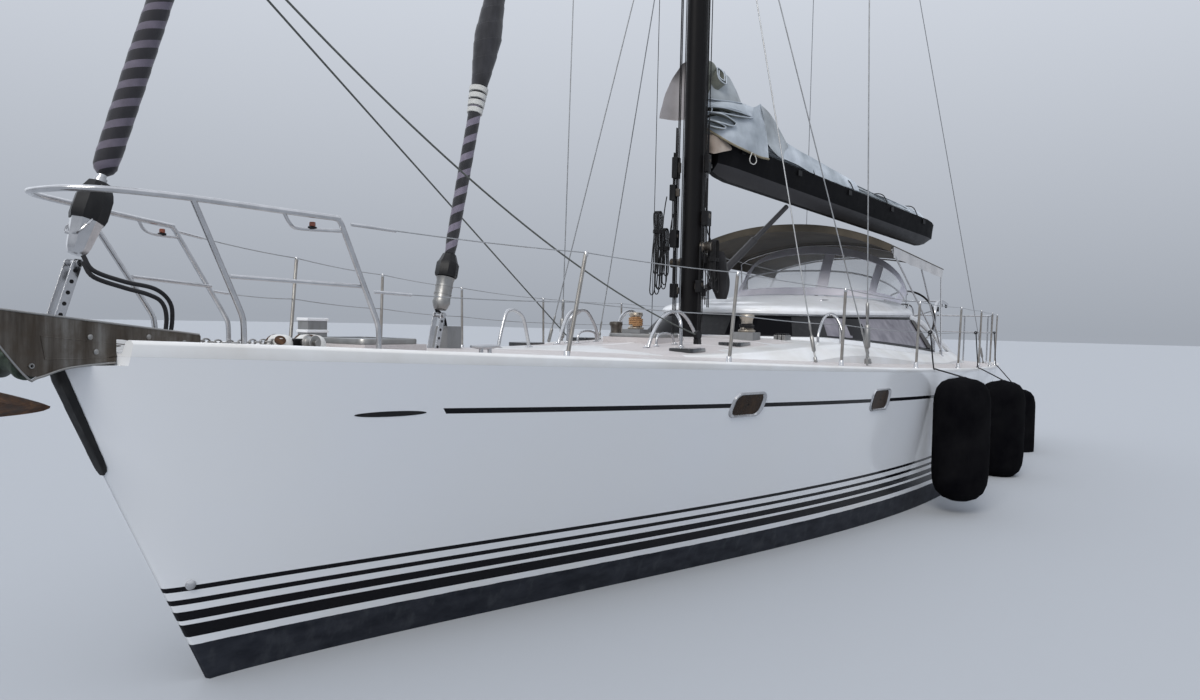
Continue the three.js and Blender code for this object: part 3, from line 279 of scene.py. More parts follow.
class Part:
    """A mesh collected body by body, each with a material index."""

    def __init__(self):
        self.points, self.faces, self.slots = [], [], []

    def add(self, made, slot=0):
        points, faces = made
        start = len(self.points)
        self.points += [tuple(float(v) for v in p) for p in points]
        self.faces += [tuple(start + i for i in f) for f in faces]
        self.slots += [slot] * len(faces)
        return self

    def both(self, made, slot=0):
        self.add(made, slot)
        return self.add(flipped(made), slot)

    def object(self, name, finishes, body="hull", replaces=(), slot=None, angle=35, bevel=0):
        """The finished piece, with its finishes by name, riding on a body."""
        mesh = bpy.data.meshes.new(name)
        mesh.from_pydata(self.points, [], self.faces)
        for finish in [finishes] if isinstance(finishes, str) else finishes:
            mesh.materials.append(finish_named(finish))
        mesh.polygons.foreach_set("material_index", self.slots)
        obj = bpy.data.objects.new(name, mesh)
        bpy.context.scene.collection.objects.link(obj)
        tidy_normals(mesh)
        if bevel:
            m = obj.modifiers.new("soft edges", "BEVEL")
            m.width, m.segments, m.limit_method = bevel, 2, "ANGLE"
            m.angle_limit = math.radians(30)
            m.harden_normals = True
        shade(mesh, angle)
        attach(obj, body)
        if replaces:
            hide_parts(*([replaces] if isinstance(replaces, str) else replaces))
        return obj


def tidy_normals(mesh):
    work = bmesh.new()
    work.from_mesh(mesh)
    bmesh.ops.remove_doubles(work, verts=work.verts, dist=1e-5)
    bmesh.ops.recalc_face_normals(work, faces=work.faces)
    work.to_mesh(mesh)
    work.free()


def shade(mesh, angle):
    mesh.shade_smooth()
    mesh.set_sharp_from_angle(angle=math.radians(angle))


def cut(obj, made, operation="DIFFERENCE"):
    """Cuts a body out of obj, or joins it on, once and for all."""
    tool = Part().add(made)
    mesh = bpy.data.meshes.new("tool")
    mesh.from_pydata(tool.points, [], tool.faces)
    tidy_normals(mesh)
    other = bpy.data.objects.new("tool", mesh)
    bpy.context.scene.collection.objects.link(other)
    m = obj.modifiers.new("cut", "BOOLEAN")
    m.operation, m.solver, m.object = operation, "EXACT", other
    depsgraph = bpy.context.evaluated_depsgraph_get()
    made_mesh = bpy.data.meshes.new_from_object(obj.evaluated_get(depsgraph))
    obj.modifiers.remove(m)
    old = obj.data
    obj.data = made_mesh
    bpy.data.meshes.remove(old)
    bpy.data.objects.remove(other)
    return obj


def attribute(obj, name, function):
    """A number at each vertex, which a material reads."""
    made = obj.data.attributes.new(name, "FLOAT", "POINT")
    made.data.foreach_set("value", [function(*v.co) for v in obj.data.vertices])


# Materials


class Finish:
    """A procedural material on the object's own coordinates."""

    def __init__(self, name, color, roughness=0.5, metallic=0.0, coat=0.0, sheen=0.0, specular=0.5):
        self.material = bpy.data.materials.new(name)
        self.material.use_nodes = True
        self.tree = self.material.node_tree
        self.shader = self.tree.nodes["Principled BSDF"]
        self.place = self.tree.nodes.new("ShaderNodeTexCoord").outputs["Object"]
        values = {
            "Base Color": (*color, 1), "Roughness": roughness, "Metallic": metallic, "Coat Weight": coat
        }
        values |= {"Sheen Weight": sheen, "Specular IOR Level": specular, "Coat Roughness": 0.06}
        for key, value in values.items():
            self.shader.inputs[key].default_value = value
        self.material.diffuse_color = (*color, 1)

    def node(self, kind, settings=None, **inputs):
        made = self.tree.nodes.new("ShaderNode" + kind)
        for key, value in (settings or {}).items():
            setattr(made, key, value)
        for key, value in inputs.items():
            socket = made.inputs[int(key[1:])] if key[1:].isdigit() else made.inputs[key.replace("_", " ")]
            if isinstance(value, bpy.types.NodeSocket):
                self.tree.links.new(value, socket)
            else:
                socket.default_value = value
        return made

    def scaled(self, scale):
        return self.node("Mapping", i0=self.place, Scale=scale).outputs[0]

    def noise(self, scale, detail=4, stretch=(1, 1, 1), rough=0.55):
        vector = self.scaled(stretch)
        return self.node("TexNoise", Vector=vector, Scale=scale, Detail=detail, Roughness=rough).outputs[0]

    def wave(self, scale, stretch=(1, 1, 1), distortion=0.0, direction="X"):
        settings = {"wave_type": "BANDS", "bands_direction": direction}
        vector = self.scaled(stretch)
        return self.node(
            "TexWave", settings, Vector=vector, Scale=scale, Distortion=distortion, Detail=1
        ).outputs[1]

    def ramp(self, value, stops, steps=False):
        made = self.node("ValToRGB", Fac=value)
        ramp = made.color_ramp
        ramp.interpolation = "CONSTANT" if steps else "LINEAR"
        while len(ramp.elements) < len(stops):
            ramp.elements.new(0.5)
        for element, (at, color) in zip(ramp.elements, stops):
            element.position = at
            element.color = (*color, 1) if hasattr(color, "__len__") else (color, color, color, 1)
        return made.outputs[0]

    def mix(self, share, a, b, blend="MIX"):
        made = self.node(
            "MixRGB", {"blend_type": blend}, Fac=share, Color1=self.tone(a), Color2=self.tone(b)
        )
        return made.outputs[0]

    @staticmethod
    def tone(color):
        return (*color, 1) if isinstance(color, tuple) and len(color) == 3 else color

    def math(self, operation, a, b=0.0):
        return self.node("Math", {"operation": operation}, i0=a, i1=b).outputs[0]

    def axis(self, index):
        return self.node("SeparateXYZ", i0=self.place).outputs[index]

    def read(self, name):
        return self.node("Attribute", {"attribute_name": name}).outputs["Fac"]

    def color(self, socket):
        self.tree.links.new(socket, self.shader.inputs["Base Color"])
        return self

    def roughness(self, socket, low, high):
        spread = self.node("MapRange", Value=socket, To_Min=low, To_Max=high).outputs[0]
        self.tree.links.new(spread, self.shader.inputs["Roughness"])
        return self

    def bump(self, height, strength=0.3, distance=0.002):
        made = self.node("Bump", Height=height, Strength=strength, Distance=distance)
        before = self.shader.inputs["Normal"].links
        if before:
            self.tree.links.new(before[0].from_socket, made.inputs["Normal"])
        self.tree.links.new(made.outputs[0], self.shader.inputs["Normal"])
        return self


def painted(name, color, roughness=0.3, vary=0.06, coat=0.3, grime=None, scale=3.0, specular=0.5):
    """Paint or gelcoat with a faint unevenness and, where it has any, grime in its lows."""
    made = Finish(name, color, roughness, coat=coat, specular=specular)
    tone = made.ramp(made.noise(scale, 5), [(0.3, tuple(c * (1 - vary) for c in color)), (0.7, color)])
    if grime:
        share = made.ramp(made.noise(scale * 2.3, 8, (1, 1, 0.35)), [(0.5, 0.0), (0.78, 0.5)])
        tone = made.mix(share, tone, grime)
    made.color(tone).roughness(made.noise(scale * 4, 4), roughness * 0.8, roughness * 1.3)
    made.bump(made.noise(scale * 30, 3), 0.05, 0.0006)
    return made.material


def metal(name, color, roughness=0.22, brushed=0.0, stain=None, stain_share=0.4, scale=14.0):
    made = Finish(name, color, roughness, metallic=1.0)
    tone = made.ramp(made.noise(scale, 4), [(0.35, tuple(c * 0.85 for c in color)), (0.65, color)])
    if stain:
        share = made.ramp(made.noise(scale * 0.6, 8, rough=0.65), [(0.42, 0.0), (0.68, stain_share)])
        tone = made.mix(share, tone, stain)
    made.color(tone).roughness(made.noise(scale * 2, 5), roughness * 0.7, min(1, roughness * 1.6))
    if brushed:
        made.bump(made.noise(160, 2, (0.06, 1, 1)), brushed, 0.0004)
    return made.material


def cloth(name, color, weave=900.0, vary=0.12, roughness=0.85, sheen=0.25, fade=None, wrinkle=0.25):
    """Woven cloth: two crossed sets of threads, faded patches and small creases."""
    made = Finish(name, color, roughness, sheen=sheen, specular=0.25)
    soft = made.noise(2.2, 5)
    tone = made.ramp(soft, [(0.3, tuple(c * (1 - vary) for c in color)), (0.7, fade or color)])
    made.color(tone)
    threads = made.math("ADD", made.wave(weave / 20, direction="X"), made.wave(weave / 20, direction="Z"))
    made.bump(threads, 0.12, 0.0006).bump(made.noise(9, 5), wrinkle, 0.012)
    return made.material


def rope_finish(name, color, fleck=None, pitch=60.0):
    made = Finish(name, color, 0.75, sheen=0.05, specular=0.15)
    twist = made.wave(pitch, (1, 1, 1.4), 1.5, "DIAGONAL")
    tone = made.ramp(twist, [(0.2, tuple(c * 0.6 for c in color)), (0.8, fleck or color)])
    made.color(tone).bump(twist, 0.5, 0.002)
    return made.material


STRIPE_TOPS = [0.267, 0.341, 0.366, 0.419, 0.460, 0.493, 0.540, 0.567]
BAND_RANGE = 0.8
COVE_TOP = 0.307
COVE_BOTTOM = 0.341
COVE_FORE_X = 7.04
NEAR_BLACK = (0.006, 0.006, 0.008)
HULL_WHITE = (0.735, 0.748, 0.765)


def topsides():
    """White gelcoat with dark bands at constant heights above the water, over blue-black bottom paint."""
    made = Finish("topsides", HULL_WHITE, 0.2, coat=0.6)
    height = made.axis(2)
    stain_tone = (0.70, 0.69, 0.64)
    low = made.ramp(height, [(0.22, 0.75), (0.42, 0.25), (0.75, 0.0)])
    streak = made.ramp(made.noise(2.6, 7, (1, 1, 0.22)), [(0.44, 0.0), (0.72, 0.8)])
    gel = made.mix(made.math("MULTIPLY", low, streak), HULL_WHITE, stain_tone)
    gel = made.mix(made.ramp(made.noise(0.7, 3), [(0.35, 0.0), (0.7, 0.35)]), gel, (0.72, 0.75, 0.81))
    paint = made.ramp(
        made.noise(5, 8, (1, 1, 2.5)), [(0.3, (0.012, 0.014, 0.020)), (0.62, (0.028, 0.031, 0.040))]
    )
    scum = made.ramp(made.noise(11, 8, (1, 1, 0.5)), [(0.52, 0.0), (0.76, 0.4)])
    paint = made.mix(scum, paint, (0.075, 0.08, 0.088))
    steps = [(0.0, 0.0)] + [(z / BAND_RANGE, (k + 1) % 2) for k, z in enumerate(STRIPE_TOPS)]
    bands = made.ramp(made.math("DIVIDE", height, BAND_RANGE), steps, steps=True)
    below = made.read("below_edge")
    inside = made.math(
        "MULTIPLY", made.math("GREATER_THAN", below, COVE_TOP), made.math("LESS_THAN", below, COVE_BOTTOM)
    )
    fore = made.math(
        "LESS_THAN", made.math("ADD", made.axis(0), made.math("MULTIPLY", below, 0.9)), COVE_FORE_X + 0.29
    )
    dark = made.math(
        "MAXIMUM", made.node("RGBToBW", i0=bands).outputs[0], made.math("MULTIPLY", inside, fore)
    )
    tone = made.mix(dark, gel, NEAR_BLACK)
    edge = made.math(
        "LESS_THAN", height, made.math("ADD", made.math("MULTIPLY", made.noise(6, 5), 0.012), 0.214)
    )
    tone = made.mix(edge, tone, paint)
    made.color(tone)
    rough = made.math(
        "ADD", made.math("MULTIPLY", edge, 0.5), made.math("MULTIPLY", made.noise(3, 4), 0.22)
    )
    made.roughness(rough, 0.06, 0.9)
    gloss = made.math("MULTIPLY", made.math("SUBTRACT", 1.0, made.math("MAXIMUM", edge, dark)), 0.2)
    made.tree.links.new(gloss, made.shader.inputs["Coat Weight"])
    shine = made.math("ADD", 0.12, made.math("MULTIPLY", gloss, 1.5))
    made.tree.links.new(shine, made.shader.inputs["Specular IOR Level"])
    made.bump(made.noise(1.3, 2), 0.03, 0.004)
    return made.material


def deck_finish():
    """Moulded deck: smooth white margins, with greyish-pink sand-textured panels inside them."""
    white = (0.74, 0.75, 0.76)
    made = Finish("deck_gelcoat", white, 0.38, coat=0.15)
    panel = made.read("panel")
    grit = made.noise(260, 2)
    tone = made.ramp(made.noise(1.8, 6), [(0.32, (0.63, 0.62, 0.60)), (0.66, white)])
    sand = made.ramp(grit, [(0.35, (0.43, 0.40, 0.40)), (0.65, (0.58, 0.55, 0.545))])
    inside = made.ramp(panel, [(0.0, 0.0), (0.2, 1.0)])
    made.color(made.mix(inside, tone, sand))
    made.roughness(inside, 0.3, 0.75)
    made.bump(made.math("MULTIPLY", grit, inside), 0.35, 0.001)
    return made.material


def glass_finish():
    """Dark glazing with lilac-grey covers behind it where the mask says so."""
    made = Finish("dark_glazing", (0.005, 0.005, 0.006), 0.05, coat=0.0, specular=0.02)
    cover = made.read("cover")
    quilt = made.ramp(made.noise(5, 4), [(0.3, (0.15, 0.145, 0.17)), (0.7, (0.25, 0.24, 0.27))])
    edge = made.ramp(cover, [(0.45, 0.0), (0.5, 1.0)])
    made.color(made.mix(edge, (0.004, 0.004, 0.005), quilt))
    made.roughness(made.noise(7, 3), 0.02, 0.10)
    made.bump(made.noise(3, 2), 0.02, 0.003)
    return made.material


def aged_finish():
    """Tarnished steel: streaked upright in grey, brown and dull silver."""
    made = Finish("aged_steel", (0.22, 0.20, 0.18), 0.42, metallic=0.85)
    streak = made.noise(16, 6, (1, 1, 0.10), 0.6)
    tone = made.ramp(
        streak, [(0.32, (0.055, 0.045, 0.036)), (0.50, (0.115, 0.102, 0.088)), (0.70, (0.215, 0.205, 0.19))]
    )
    patch = made.ramp(made.noise(7, 7, rough=0.65), [(0.45, 0.0), (0.66, 0.7)])
    made.color(made.mix(patch, tone, (0.075, 0.058, 0.043)))
    made.roughness(made.noise(30, 5), 0.30, 0.62)
    return made.bump(streak, 0.15, 0.0008).material


def spiral_cloth(name, dark, pale, width):
    """A sail rolled round its stay, its edge strip showing as a spiral."""
    made = Finish(name, dark, 0.72, sheen=0.3, specular=0.3)
    turn = made.read("spiral")
    phase = made.math("FRACT", made.math("ADD", turn, made.math("MULTIPLY", made.noise(2, 2), 0.08)))
    strip = made.ramp(phase, [(0.0, 1.0), (width, 0.0)], steps=True)
    tone = made.ramp(made.noise(30, 4, (1, 1, 0.3)), [(0.3, tuple(c * 0.7 for c in dark)), (0.7, dark)])
    light = made.ramp(made.noise(14, 5), [(0.3, tuple(c * 0.7 for c in pale)), (0.7, pale)])
    made.color(
        made.mix(strip, tone, light)
    ).bump(phase, 0.6, 0.004).bump(made.noise(40, 4, (1, 1, 0.15)), 0.3, 0.003)
    return made.material


DARK_CLOTH_Z = 3.74


def staysail_finish():
    """The staysail's roll: striped below its wraps, and plain dark cloth above them."""
    made = Finish("staysail_cloth", (0.02, 0.02, 0.024), 0.75, sheen=0.3, specular=0.3)
    phase = made.math(
        "FRACT", made.math("ADD", made.read("spiral"), made.math("MULTIPLY", made.noise(2, 2), 0.08))
    )
    strip = made.ramp(phase, [(0.0, 1.0), (0.42, 0.0)], steps=True)
    low = made.math("LESS_THAN", made.axis(2), DARK_CLOTH_Z)
    weave = made.noise(30, 4, (1, 1, 0.3))
    dark = made.ramp(weave, [(0.3, (0.012, 0.012, 0.015)), (0.7, (0.026, 0.026, 0.031))])
    pale = made.ramp(weave, [(0.3, (0.13, 0.115, 0.155)), (0.7, (0.19, 0.17, 0.22))])
    panel = made.ramp(made.noise(1.6, 2, (1, 1, 0.5)), [(0.45, 0.0), (0.55, 0.6)])
    upper = made.mix(panel, dark, (0.065, 0.066, 0.078))
    made.color(made.mix(low, upper, made.mix(strip, dark, pale)))
    return made.bump(phase, 0.6, 0.004).bump(made.noise(40, 4, (1, 1, 0.15)), 0.3, 0.003).material


def clear_vinyl():
    made = Finish("clear_vinyl", (0.80, 0.82, 0.85), 0.06, coat=0.5)
    made.shader.inputs["Alpha"].default_value = 0.32
    made.bump(made.noise(4, 3), 0.2, 0.01).roughness(made.noise(6, 4), 0.03, 0.14)
    return made.material


def wood(name, pale, dark):
    made = Finish(name, pale, 0.55)
    grain = made.noise(7, 8, (1, 9, 9), 0.7)
    made.color(made.ramp(grain, [(0.3, dark), (0.65, pale)])).bump(grain, 0.15, 0.001)
    return made.material


def rust_finish():
    made = Finish("rusty_iron", (0.23, 0.11, 0.06), 0.85, metallic=0.25)
    patch = made.noise(16, 9, rough=0.7)
    tone = made.ramp(
        patch, [(0.3, (0.020, 0.012, 0.008)), (0.5, (0.065, 0.030, 0.014)), (0.72, (0.17, 0.085, 0.038))]
    )
    made.color(tone).bump(patch, 0.9, 0.004).roughness(patch, 0.65, 0.98)
    return made.material


def knit_finish():
    made = Finish("fender_cloth", (0.004, 0.004, 0.005), 0.95, sheen=0.0, specular=0.03)
    ribs = made.wave(34, (1, 1, 1), 0.4, "Z")
    made.color(made.ramp(made.noise(3, 5), [(0.3, (0.002, 0.002, 0.003)), (0.7, (0.007, 0.007, 0.008))]))
    made.bump(ribs, 0.35, 0.004).bump(made.noise(120, 3), 0.4, 0.002)
    return made.material


def banded_rubber():
    made = Finish("roller_rubber", (0.022, 0.035, 0.026), 0.6, specular=0.35)
    worn = made.noise(22, 7)
    made.color(
        made.ramp(worn, [(0.35, (0.012, 0.02, 0.015)), (0.7, (0.06, 0.085, 0.065))])
    ).bump(worn, 0.4, 0.002)
    return made.material


def antifoul_finish():
    made = Finish("antifouling", (0.05, 0.055, 0.07), 0.85)
    patch = made.noise(4, 8, (1, 1, 2))
    made.color(made.ramp(
        patch, [(0.3, (0.035, 0.04, 0.052)), (0.62, (0.085, 0.09, 0.105)), (0.8, (0.15, 0.16, 0.16))]
    ))
    made.bump(patch, 0.3, 0.003)
    return made.material


RECIPES = {
    "topsides": topsides,
    "deck": deck_finish,
    "glass": glass_finish,
    "white": lambda: painted("white_gelcoat", (0.74, 0.75, 0.77), 0.3, 0.05, 0.3, (0.55, 0.54, 0.50)),
    "antifouling": antifoul_finish,
    "rubber_guard": lambda: painted(
        "guard_rubber", (0.010, 0.010, 0.011), 0.55, 0.3, 0.0, (0.045, 0.045, 0.042), 8.0, specular=0.25
    ),
    "mast": lambda: painted("mast_paint", (0.006, 0.0055, 0.006), 0.48, 0.2, 0.0, specular=0.16),
    "boom": lambda: painted(
        "boom_paint", (0.006, 0.006, 0.007), 0.5, 0.2, 0.0, (0.013, 0.013, 0.014), specular=0.04
    ),
    "boom_strip": lambda: painted("boom_strip_paint", (0.036, 0.035, 0.038), 0.45, 0.15, 0.0, specular=0.2),
    "brown_glass": lambda: painted(
        "brown_glass", (0.030, 0.015, 0.006), 0.2, 0.5, 0.0, (0.075, 0.038, 0.014), 9.0, specular=0.15
    ),
    "stanchion": lambda: metal(
        "stanchion_steel", (0.42, 0.40, 0.37), 0.30, 0.3, (0.24, 0.19, 0.15), 0.5, 10.0
    ),
    "windlass_white": lambda: painted(
        "windlass_white", (0.66, 0.66, 0.64), 0.45, 0.1, 0.1, (0.30, 0.17, 0.09), 6.0
    ),
    "steel": lambda: metal("polished_steel", (0.56, 0.56, 0.57), 0.19, 0.1),
    "dull_steel": lambda: metal("dull_steel", (0.34, 0.34, 0.335), 0.36, 0.25, (0.22, 0.19, 0.155), 0.35),
    "aged_steel": aged_finish,
    "wire": lambda: metal("rigging_wire", (0.42, 0.43, 0.44), 0.35, 0.0, (0.2, 0.17, 0.14), 0.3),
    "bronze": lambda: metal("bronze", (0.46, 0.33, 0.17), 0.35, 0.1, (0.16, 0.22, 0.16), 0.5),
    "winch": lambda: metal("winch_bronze", (0.52, 0.47, 0.40), 0.3, 0.2, (0.30, 0.22, 0.14), 0.4),
    "rust": rust_finish,
    "rubber": banded_rubber,
    "black_plastic": lambda: painted(
        "black_plastic", (0.008, 0.008, 0.009), 0.45, 0.2, 0.0, (0.028, 0.028, 0.028), 8.0, specular=0.2
    ),
    "grey_plastic": lambda: painted(
        "grey_plastic", (0.20, 0.205, 0.21), 0.5, 0.12, 0.0, (0.11, 0.11, 0.10), 8.0
    ),
    "amber": lambda: painted("amber_lens", (0.22, 0.05, 0.02), 0.2, 0.2, 0.6),
    "mainsail": lambda: cloth(
        "mainsail_cloth", (0.36, 0.395, 0.42), 800, 0.45, 0.8, 0.1, (0.45, 0.49, 0.52), 0.45
    ),
    # Paler blue copy of the mainsail cloth, painted light: used on the lit flaps and patches and on the
    # folds' rounded edges.
    "mainsail_painted_light": lambda: cloth(
        "mainsail_painted_light", (0.46, 0.52, 0.575), 800, 0.35, 0.7, 0.1, (0.57, 0.62, 0.68), 0.4
    ),
    # Darker olive copy of the mainsail cloth, painted shade: used on the sail's roll, the bump over it and
    # the fold walls.
    "mainsail_painted_shade": lambda: cloth(
        "mainsail_painted_shade", (0.17, 0.18, 0.15), 800, 0.3, 0.8, 0.15, (0.24, 0.25, 0.215), 0.4
    ),
    "mainsail_brown": lambda: cloth(
        "mainsail_brown", (0.20, 0.13, 0.09), 800, 0.3, 0.8, 0.15, (0.42, 0.36, 0.31), 0.5
    ),
    "mainsail_beige": lambda: cloth(
        "mainsail_beige", (0.38, 0.355, 0.35), 800, 0.2, 0.75, 0.1, (0.50, 0.48, 0.50), 0.35
    ),
    "mainsail_hem": lambda: cloth(
        "mainsail_hem", (0.20, 0.165, 0.10), 800, 0.3, 0.8, 0.1, (0.30, 0.26, 0.18), 0.4
    ),
    "genoa": lambda: spiral_cloth("genoa_cloth", (0.014, 0.013, 0.018), (0.115, 0.10, 0.135), 0.40),
    "staysail": staysail_finish,
    "boot": lambda: cloth(
        "boot_cloth", (0.010, 0.010, 0.012), 600, 0.3, 0.85, 0.1, (0.024, 0.024, 0.027), 0.5
    ),
    "drum_cap": lambda: painted(
        "drum_cap", (0.008, 0.008, 0.009), 0.42, 0.25, 0.0, (0.025, 0.025, 0.025), 9.0, specular=0.25
    ),
    "hood": lambda: cloth(
        "sprayhood_cloth", (0.60, 0.59, 0.66), 700, 0.1, 0.85, 0.2, (0.70, 0.69, 0.76), 0.3
    ),
    "vinyl": clear_vinyl,
    "bimini": lambda: cloth(
        "bimini_cloth", (0.060, 0.052, 0.040), 700, 0.25, 0.9, 0.1, (0.095, 0.080, 0.060), 0.3
    ),
    "bimini_flap": lambda: cloth(
        "flap_cloth", (0.42, 0.42, 0.43), 700, 0.12, 0.85, 0.2, (0.50, 0.50, 0.51), 0.3
    ),
    "knit": knit_finish,
    "black_rope": lambda: rope_finish("black_rope", (0.009, 0.009, 0.010), (0.026, 0.026, 0.028)),
    "sheet_rope": lambda: rope_finish("sheet_rope", (0.075, 0.085, 0.08), (0.17, 0.18, 0.17)),
    "white_rope": lambda: rope_finish("white_rope", (0.60, 0.60, 0.57), (0.72, 0.72, 0.70)),
    "tan_rope": lambda: rope_finish("tan_rope", (0.40, 0.20, 0.09), (0.55, 0.32, 0.16)),
    "leather": lambda: painted(
        "wheel_leather", (0.02, 0.017, 0.015), 0.6, 0.3, 0.0, (0.06, 0.045, 0.035), 12.0
    ),
    "teak": lambda: wood("teak", (0.36, 0.23, 0.13), (0.20, 0.12, 0.065)),
    "cushion": lambda: cloth(
        "settee_cloth", (0.16, 0.20, 0.27), 700, 0.12, 0.9, 0.3, (0.20, 0.24, 0.31), 0.2
    ),
    "screen": lambda: painted("blank_screen", (0.01, 0.012, 0.014), 0.12, 0.2, 0.8),
    "tan_slat": lambda: painted("slat_tan", (0.030, 0.024, 0.020), 0.5, 0.2, 0.0),
}
MATERIALS = {}


def finish_named(name):
    """Each material is made once."""
    if name not in MATERIALS:
        MATERIALS[name] = RECIPES[name]()
    return MATERIALS[name]


# Hull

HULL_STATIONS = 150
WELL = {"x0": -6.55, "x1": 0.10, "half": 1.40, "floor": 0.80}
TUB = {"x0": -6.45, "x1": -3.95, "half": 1.25, "sole": 0.85}
NOSE_CUT = ((8.615, -0.3, 1.765), (9.3, 0.3, 2.1))


def station_fractions(count):
    return [1 - (1 - i / count) ** 1.5 for i in range(count + 1)]


def hull_place(u, z):
    x = lerp(stern_x(z), stem_x(z), u)
    return x, half_beam(x, z)


def hull_half_ring(u):
    edge = deck_edge_z(lerp(-HALF_LENGTH, HALF_LENGTH, u))
    top = edge - DECK_JOIN_DROP
    ring = []
    for part in np.linspace(1, 0, 16, endpoint=False):
        z = top * part
        x, y = hull_place(u, z)
        ring.append((x, y, z))
    bottom = bottom_z(u)
    for part in (0, 0.08, 0.18, 0.3, 0.42, 0.54, 0.65, 0.75, 0.84, 0.91, 0.96, 0.99):
        z = bottom * part
        x, y = hull_place(u, z)
        ring.append((x, y * (1 - part**2) ** 0.588 + 0.001, z))
    x, _ = hull_place(u, bottom)
    return ring, (x, 0.0, bottom)


def mirrored_ring(half, middle=None):
    """The port half of a ring or path, the point on the centreline if it has one, and the other half."""
    return [*half, *([middle] if middle else []), *[(x, -y, z) for x, y, z in reversed(half)]]


def make_hull():
    rings = [mirrored_ring(*hull_half_ring(u)) for u in station_fractions(HULL_STATIONS)]
    for ahead, width in ((0.003, 0.86), (0.006, 0.55), (0.008, 0.12)):
        rings.append([(x + ahead, y * width, z) for x, y, z in mirrored_ring(*hull_half_ring(1.0))])
    hull = Part().add(loft(rings)).object(
        "fine_hull", "topsides", replaces="hull", slot="hull_paint", angle=40
    )
    cut(hull, box((WELL["x0"], -WELL["half"], WELL["floor"]), (WELL["x1"], WELL["half"], 3)))
    cut(hull, box(*NOSE_CUT))
    shade(hull.data, 40)
    attribute(hull, "below_edge", lambda x, y, z: deck_edge_z(x) - z)


def on_side(x, z, out=0.0):
    """A point on the port topsides, moved outwards by a distance."""
    y = half_beam(x, z)
    lean = Vector((
        half_beam(x - 0.01, z) - half_beam(x + 0.01, z), 0.02,
        half_beam(x, z - 0.01) - half_beam(x, z + 0.01)
    ))
    return tuple(Vector((x, y, z)) + lean.normalized() * out)


def hull_band(outline, inset, low, high):
    """A ring on the topsides that follows an outline of x, z pairs."""
    middle = np.mean(np.array(outline), axis=0)
    inner = [tuple(middle + (np.array(p) - middle) * inset) for p in outline]
    rows = [
        [on_side(*p, low) for p in outline],
        [on_side(*lerp(np.array(p), np.array(q), 0.25), high) for p, q in zip(outline, inner)],
        [on_side(*lerp(np.array(p), np.array(q), 0.7), high) for p, q in zip(outline, inner)],
        [on_side(*q, 0.0012) for q in inner],
    ]
    return grid(rows, close_columns=True)


# Columns: aft and fore end, lower and upper edge.
PORTLIGHTS = [(4.22, 4.64, 1.305, 1.505), (1.90, 2.35, 1.225, 1.445)]
LOZENGE = {"x": 7.345, "z": 1.475, "long": 0.20, "high": 0.016}
STEM_GUARD_Z = (1.212, 1.755)


def make_hull_trim():
    """Portlights in steel frames, a plain lozenge at the bow and the dark guard on the stem."""
    frames, panes = Part(), Part()
    for x0, x1, z0, z1 in PORTLIGHTS:
        outline = [((x0 + x1) / 2 + u, (z0 + z1) / 2 + v) for u, v in rounded(x1 - x0, z1 - z0, 0.07, 8)]
        frames.both(hull_band(outline, 0.80, -0.004, 0.014))
        middle = np.mean(np.array(outline), axis=0)
        rows = [[
            on_side(*(middle + (np.array(p) - middle) * s), 0.002) for p in outline
        ] for s in (0.86, 0.5, 0.05)]
        panes.both(grid(rows, close_columns=True))
    frames.object("portlight_frames", "steel", slot="polished_steel", angle=50)
    panes.object("portlight_glass", "brown_glass", slot="dark_glazing")
    mark = Part()
    x, z, half_long, half_high = LOZENGE.values()
    outline = [(x + half_long * math.cos(a), z + half_high * math.sin(a)) for a in around(40)]
    under, over = [[on_side(*p, out) for p in outline] for out in (-0.001, 0.0015)]
    middle = [on_side(x + half_long * math.cos(a) * 0.02, z, 0.0015) for a in around(40)]
    mark.both(grid([under, over], close_columns=True))
    mark.both(grid([over, middle], close_columns=True))
    mark.object("bow_lozenge", "rubber_guard", slot="hull_paint")
    guard = Part()
    rows = []
    for i in range(25):
        t = i / 24
        z = lerp(*STEM_GUARD_Z, t)
        wide = 0.060 * math.sqrt(max(0.0, 1 - (1 - min(1, t / 0.10)) ** 2)) * lerp(0.50, 1.0, t) + 0.002
        x = stem_x(z)
        row = []
        for a in np.linspace(-1, 1, 15):
            reach = wide * a
            distance = 0.0
            while half_beam(x - distance, z) < abs(reach) and distance < 0.6:
                distance += 0.002
            out = lerp(0.020, 0.012, t) * (1 - 0.7 * abs(a) ** 4)
            row.append((
                x - distance + out * (1 if distance < 0.004 else 0.72),
                reach + math.copysign(out * 0.7, a) * (abs(a) > 0.3), z
            ))
        rows.append(row)
    guard.add(grid(rows))
    guard.object("stem_guard", "rubber_guard", slot="roller_rubber")
    eye = Part()
    at = Vector(on_side(8.146, 0.576, 0.004))
    eye.both(lathe([
        (0.0, -0.01), (0.026, -0.008), (0.028, 0.004), (0.018, 0.012), (0.008, 0.016), (0, 0.018)
    ], at, (0.35, 1, -0.1), 20))
    eye.object("bow_fitting", "steel", slot="polished_steel")


BOW_RAIL_LIFT = 0.036


